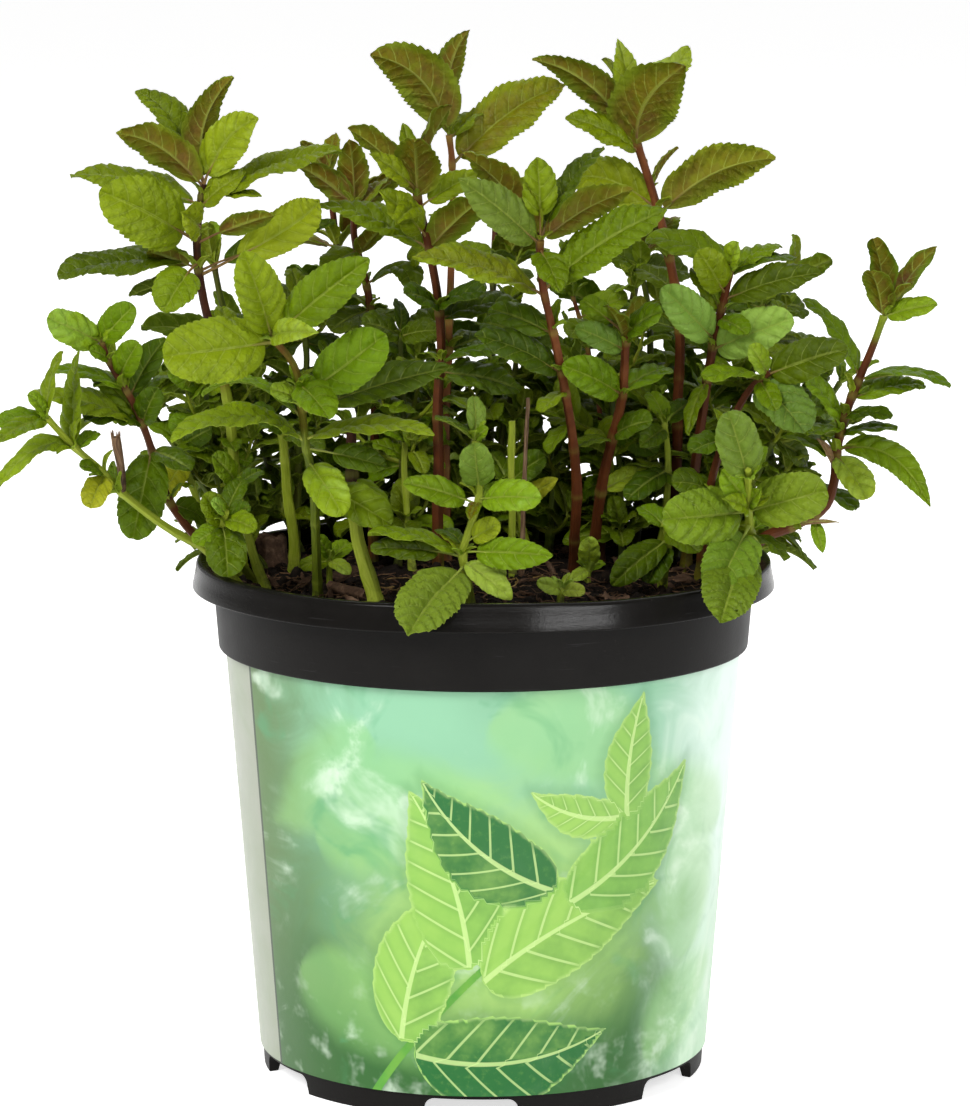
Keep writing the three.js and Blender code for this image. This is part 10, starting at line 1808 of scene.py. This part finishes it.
def make_crown(material):
    """An old cut stem, hollow and split at the top, ribbed along its length."""
    rng = np.random.RandomState(51)
    b = Build()
    cx, cy, top, r, hollow, depth = -48.6, 18.5, 117.5, 3.9, 1.7, 3.2
    sides = 40
    w = np.arange(sides) * 2 * np.pi / sides
    ribs = 1 + 0.05 * np.sin(7 * w + 1) + 0.04 * np.sin(13 * w) + rng.normal(0, 0.012, sides)
    edge = jag(rng, sides, 0.5)
    rows = []
    for z, k in ((107.5, 1.28), (109.4, 1.2), (110.6, 1.12), (112.0, 1.02), (113.6, 0.97), (115.2, 0.96), (116.6, 0.93)):
        rr = r * k * ribs * (1 + rng.normal(0, 0.008, sides))
        rows.append(np.stack([cx + rr * np.cos(w), cy + rr * np.sin(w), np.full(sides, z) + 0.15 * edge], -1))
    rr = r * 0.86 * ribs
    rows.append(np.stack([cx + rr * np.cos(w), cy + rr * np.sin(w), np.minimum(top - 0.35 + edge, top)], -1))
    rr = r * 0.70 * ribs
    rows.append(np.stack([cx + rr * np.cos(w), cy + rr * np.sin(w), np.minimum(top - 0.2 + edge, top)], -1))
    for k, z in ((0.52, top - 0.9), (0.44, top - 1.8), (0.40, top - depth)):
        rr = r * k * (1 + 0.05 * np.sin(5 * w))
        rows.append(np.stack([cx + rr * np.cos(w), cy + rr * np.sin(w), np.full(sides, z)], -1))
    V = np.array(rows)
    at = b.points(V)
    I = at + np.arange(V.shape[0] * sides).reshape(V.shape[0], sides)
    I2 = np.concatenate([I, I[:, :1]], 1)[:, ::-1]
    run = np.linspace(0, 24, sides + 1)
    drop = np.concatenate([[0], np.cumsum(np.linalg.norm(np.diff(V.mean(1) * 0 + V[:, 0], axis=0), axis=1))])
    UV = np.stack(np.broadcast_arrays(run[None, :], drop[:, None]), -1)[:, ::-1]
    isl, lo = b.island([UV])
    b.grid(I2, UV, 0, isl, lo)
    c = b.points([[cx, cy, 107.5]])
    b.fan(I[0], c, 0, flip=True, r=4)
    c = b.points([[cx, cy, top - depth - 0.1]])
    b.fan(I[-1], c, 0, r=1.7)
    return b.object("old_stump", [material], sharp=45)


def make_twig(material):
    """A short hollow piece of dead stem lying on the soil, cut at one end and torn at the other."""
    rng = np.random.RandomState(61)
    b = Build()
    a, c, r = np.array([-33.5, -22.0, 112.1]), np.array([-24.5, -34.0, 112.0]), 1.25
    sides, n = 24, 12
    w = np.arange(sides) * 2 * np.pi / sides
    ax = unit(c - a)
    u = unit(np.cross(ax, [0, 0, 1.0]))
    v = np.cross(ax, u)
    ribs = 1 + 0.06 * np.cos(4 * w) + rng.normal(0, 0.015, sides)
    rows = []
    for k, e in enumerate(np.linspace(0, 1, n)):
        rr = r * (0.94 + 0.05 * math.sin(9 * e) + 0.06 * (abs(e - 0.62) < 0.07)) * ribs
        p = a + (c - a) * e
        ring = p + rr[:, None] * (np.cos(w)[:, None] * u + np.sin(w)[:, None] * v)
        if k == n - 1:
            ring -= ax * (0.7 + jag(rng, sides, 0.6))[:, None]
        if k == 0:
            ring += ax * (0.10 + jag(rng, sides, 0.08))[:, None]
        rows.append(ring)
    inner = []
    for e, k in ((0.012, 0.78), (0.02, 0.62), (0.16, 0.55)):
        p = a + (c - a) * e
        inner.append(p + (r * k * (1 + 0.03 * np.cos(3 * w)))[:, None] * (np.cos(w)[:, None] * u + np.sin(w)[:, None] * v))
    V = np.array(inner[::-1] + rows)
    mouth = np.concatenate([[1.0, 0.9, 0.8], [0.6], np.zeros(n - 1)])
    at = b.points(V, purple=np.repeat(mouth, sides))
    I = at + np.arange(V.shape[0] * sides).reshape(V.shape[0], sides)
    I2 = np.concatenate([I, I[:, :1]], 1)[:, ::-1]
    drop = np.concatenate([[0], np.cumsum(np.linalg.norm(np.diff(V[:, 0], axis=0), axis=1))])
    UV = np.stack(np.broadcast_arrays(np.linspace(0, 7.8, sides + 1)[None, :], drop[:, None]), -1)[:, ::-1]
    isl, lo = b.island([UV])
    b.grid(I2, UV, 0, isl, lo)
    k = b.points((a + (c - a) * 0.165)[None], purple=1.0)
    b.fan(I[0], k, 0, flip=True, r=0.7)
    k = b.points((a + (c - a) * 0.93)[None])
    b.fan(I[-1], k, 0, r=1.2)
    return b.object("dead_stem_piece", [material], sharp=45)


def make_bark_chip(material):
    """A thin split flake of bark with a splintered edge."""
    rng = np.random.RandomState(71)
    b = Build()
    centre, size, turn = np.array([-30.8, -9.5, 112.9]), (7.4, 5.2, 0.9), (0.28, -0.16, 0.7)
    nu, nv = 22, 16
    gu, gv = np.meshgrid(np.linspace(-1, 1, nu), np.linspace(-1, 1, nv), indexing="ij")
    left, right = jag(rng, nv, 0.10), jag(rng, nv, 0.14)
    low, high = jag(rng, nu, 0.05), jag(rng, nu, 0.07)
    t = (gu + 1) / 2
    s = (gv + 1) / 2
    x = gu * size[0] / 2 * 0.93 + ((1 - t) * left[None, :] + t * right[None, :]) * size[0] / 2
    y = gv * size[1] / 2 * (0.92 - 0.22 * t) + ((1 - s) * low[:, None] + s * high[:, None]) * size[1] / 2
    hump = 0.28 * np.sin(2.2 * gv + 0.6) + 0.10 * np.sin(9 * gv + 2 * gu) + rng.normal(0, 0.03, gu.shape)
    th = 0.20 * (1 - 0.5 * gu ** 2) + 0.10
    top = np.stack([x, y, hump * 0.6 + th], -1)
    low_ = np.stack([x, y, hump * 0.6 - th], -1)
    rx, ry, rz = turn
    Rx = np.array([[1, 0, 0], [0, math.cos(rx), -math.sin(rx)], [0, math.sin(rx), math.cos(rx)]])
    Ry = np.array([[math.cos(ry), 0, math.sin(ry)], [0, 1, 0], [-math.sin(ry), 0, math.cos(ry)]])
    Rz = np.array([[math.cos(rz), -math.sin(rz), 0], [math.sin(rz), math.cos(rz), 0], [0, 0, 1]])
    M = Rx @ Ry @ Rz
    top, low_ = top @ M.T + centre, low_ @ M.T + centre
    p0, p1 = b.points(top), b.points(low_)
    I = np.arange(nu * nv).reshape(nu, nv)
    UV = np.stack([x, y], -1)
    isl, lo = b.island([UV])
    b.grid(p0 + I, UV, 0, isl, lo)
    isl, lo = b.island([UV])
    b.grid((p1 + I)[:, ::-1], UV[:, ::-1], 0, isl, lo)
    loop = np.concatenate([I[0, :-1], I[:-1, -1], I[-1, :0:-1], I[:0:-1, 0]])
    loop = np.append(loop, loop[0])
    run = np.concatenate([[0], np.cumsum(np.linalg.norm(np.diff(UV.reshape(-1, 2)[loop], axis=0), axis=1))])
    J = np.stack([p0 + loop, p1 + loop])
    UVe = np.stack([np.stack([run, np.zeros_like(run)], -1), np.stack([run, np.full_like(run, 0.6)], -1)])
    isl, lo = b.island([UVe])
    b.grid(J, UVe, 0, isl, lo)
    return b.object("bark_flake", [material], sharp=40)
WORLD = (0.12, 0.54)  # how bright the studio is in front of the pot and behind it
FLOOR_GLOW = 0.68
LIGHTS = [
    ("key_left", (-1.05, -1.15, 1.45), (0, 0, 0.12), 0.65, 0.85, 33.0),
    ("strip_right", (0.95, -1.35, 1.25), (0, 0, 0.1), 0.35, 0.7, 13.0),
    ("front_fill", (0.1, -2.2, 0.9), (0, 0, 0.1), 1.2, 0.8, 8.0),
    ("back_fill", (0.3, 1.5, 1.6), (0, 0, 0.12), 1.4, 1.0, 12.0),
]
GLINT = ("glint", (0.94, -1.28, 0.38), (0, 0, 0.11), 0.85, 0.16, 14.0)  # seen only as a shine, along the lip

# ---------------------------------------------------------------- the object
SLOT = {row["node"]: row["material_slot"] for row in frame["record"]["subparts"]}


def place(piece, *nodes, slot=None):
    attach(piece, "root")
    if nodes:
        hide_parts(*nodes)
    slot or SLOT[nodes[0]]
    return piece


LEAF_MAT, STEM_MAT = leaf_material(), stem_material()
for number, (node, kind, radii, stem, leaves) in enumerate(SHOOTS):
    grown = shoot(node, kind, radii, stem, leaves, 1000 + number * 7)
    place(grown.object("leafy_" + node, [LEAF_MAT, STEM_MAT], sharp=55), node)

place(make_pot(pot_material()), "pot")
place(make_sleeve(wrap_material()), "label_sleeve")
PEAT = soil_material("peat", (0.0028, 0.0018, 0.0012), (0.0085, 0.0052, 0.003), (0.029, 0.017, 0.009))
place(make_soil(PEAT), "soil")
place(make_crumbs(PEAT), slot="soil")
FIBRE = soil_material("fibre", (0.030, 0.014, 0.008), (0.10, 0.055, 0.028), (0.28, 0.18, 0.09), scale=0.6, rough=0.85)
GOLD = soil_material("golden_root", (0.12, 0.065, 0.020), (0.27, 0.17, 0.055), (0.44, 0.32, 0.13), scale=0.7, rough=0.7)
place(make_fibres(FIBRE).object("soil_fibres", [FIBRE, GOLD], sharp=None), slot="soil")
BARK = soil_material("bark", (0.020, 0.010, 0.006), (0.075, 0.042, 0.024), (0.19, 0.12, 0.075), scale=0.9, rough=0.85)
place(make_chips(BARK), slot="bark")
place(make_crown(BARK), "old_crown")
place(make_twig(BARK), "fallen_twig")
place(make_bark_chip(BARK), "bark_chip")

# ---------------------------------------------------------------- floor, light and camera
scene = bpy.context.scene
scene.view_settings.view_transform = "Standard"
scene.view_settings.look = "None"
scene.view_settings.exposure = 0.0
scene.view_settings.gamma = 1.0

floor_mesh = bpy.data.meshes.new("floor")
floor_mesh.from_pydata([(-20, -20, 0), (20, -20, 0), (20, 40, 0), (-20, 40, 0)], [], [(0, 1, 2, 3)])
floor = bpy.data.objects.new("floor", floor_mesh)
scene.collection.objects.link(floor)
pale = Nodes("pale_floor")
floor_mesh.materials.append(pale.finish(pale.principled(Base_Color=(0.84, 0.84, 0.835), Roughness=0.8, Specular_IOR_Level=0.1, Emission_Color=(1, 1, 1), Emission_Strength=FLOOR_GLOW).outputs[0]))

world = bpy.data.worlds.new("studio")
world.use_nodes = True
sky = world.node_tree
seen = sky.nodes.new("ShaderNodeTexCoord")
parts = sky.nodes.new("ShaderNodeSeparateXYZ")
sky.links.new(seen.outputs["Generated"], parts.inputs[0])
fade = sky.nodes.new("ShaderNodeMapRange")
fade.interpolation_type = "SMOOTHSTEP"
for i, value in zip((1, 2, 3, 4), (-0.85, 0.75, *WORLD)):
    fade.inputs[i].default_value = value
sky.links.new(parts.outputs[1], fade.inputs[0])
sky.nodes["Background"].inputs["Color"].default_value = (1, 1, 1, 1)
sky.links.new(fade.outputs[0], sky.nodes["Background"].inputs["Strength"])
scene.world = world


def softbox(name, at, aim, width, height, watts, colour=(1, 1, 1)):
    light = bpy.data.lights.new(name, "AREA")
    light.shape, light.size, light.size_y = "RECTANGLE", width, height
    light.energy, light.color = watts, colour
    ob = bpy.data.objects.new(name, light)
    scene.collection.objects.link(ob)
    ob.location = at
    ob.rotation_euler = (Vector(aim) - Vector(at)).to_track_quat("-Z", "Y").to_euler()
    return ob


for row in LIGHTS:
    softbox(*row)
glint = softbox(*GLINT)
glint.visible_diffuse = glint.visible_transmission = False

camera = bpy.data.cameras.new("camera")
camera.sensor_fit, camera.sensor_width = "AUTO", 36.0
camera.lens = 36.0 * 4480 / 1106
camera.shift_x = -(483 - 485) / 1106
camera.shift_y = 0.0
camera.clip_start, camera.clip_end = 0.05, 30
eye = bpy.data.objects.new("camera", camera)
scene.collection.objects.link(eye)
eye.location = (0, -0.9876, 0.275)
eye.rotation_euler = (math.pi / 2 - 0.1597, 0, 0)
scene.camera = eye
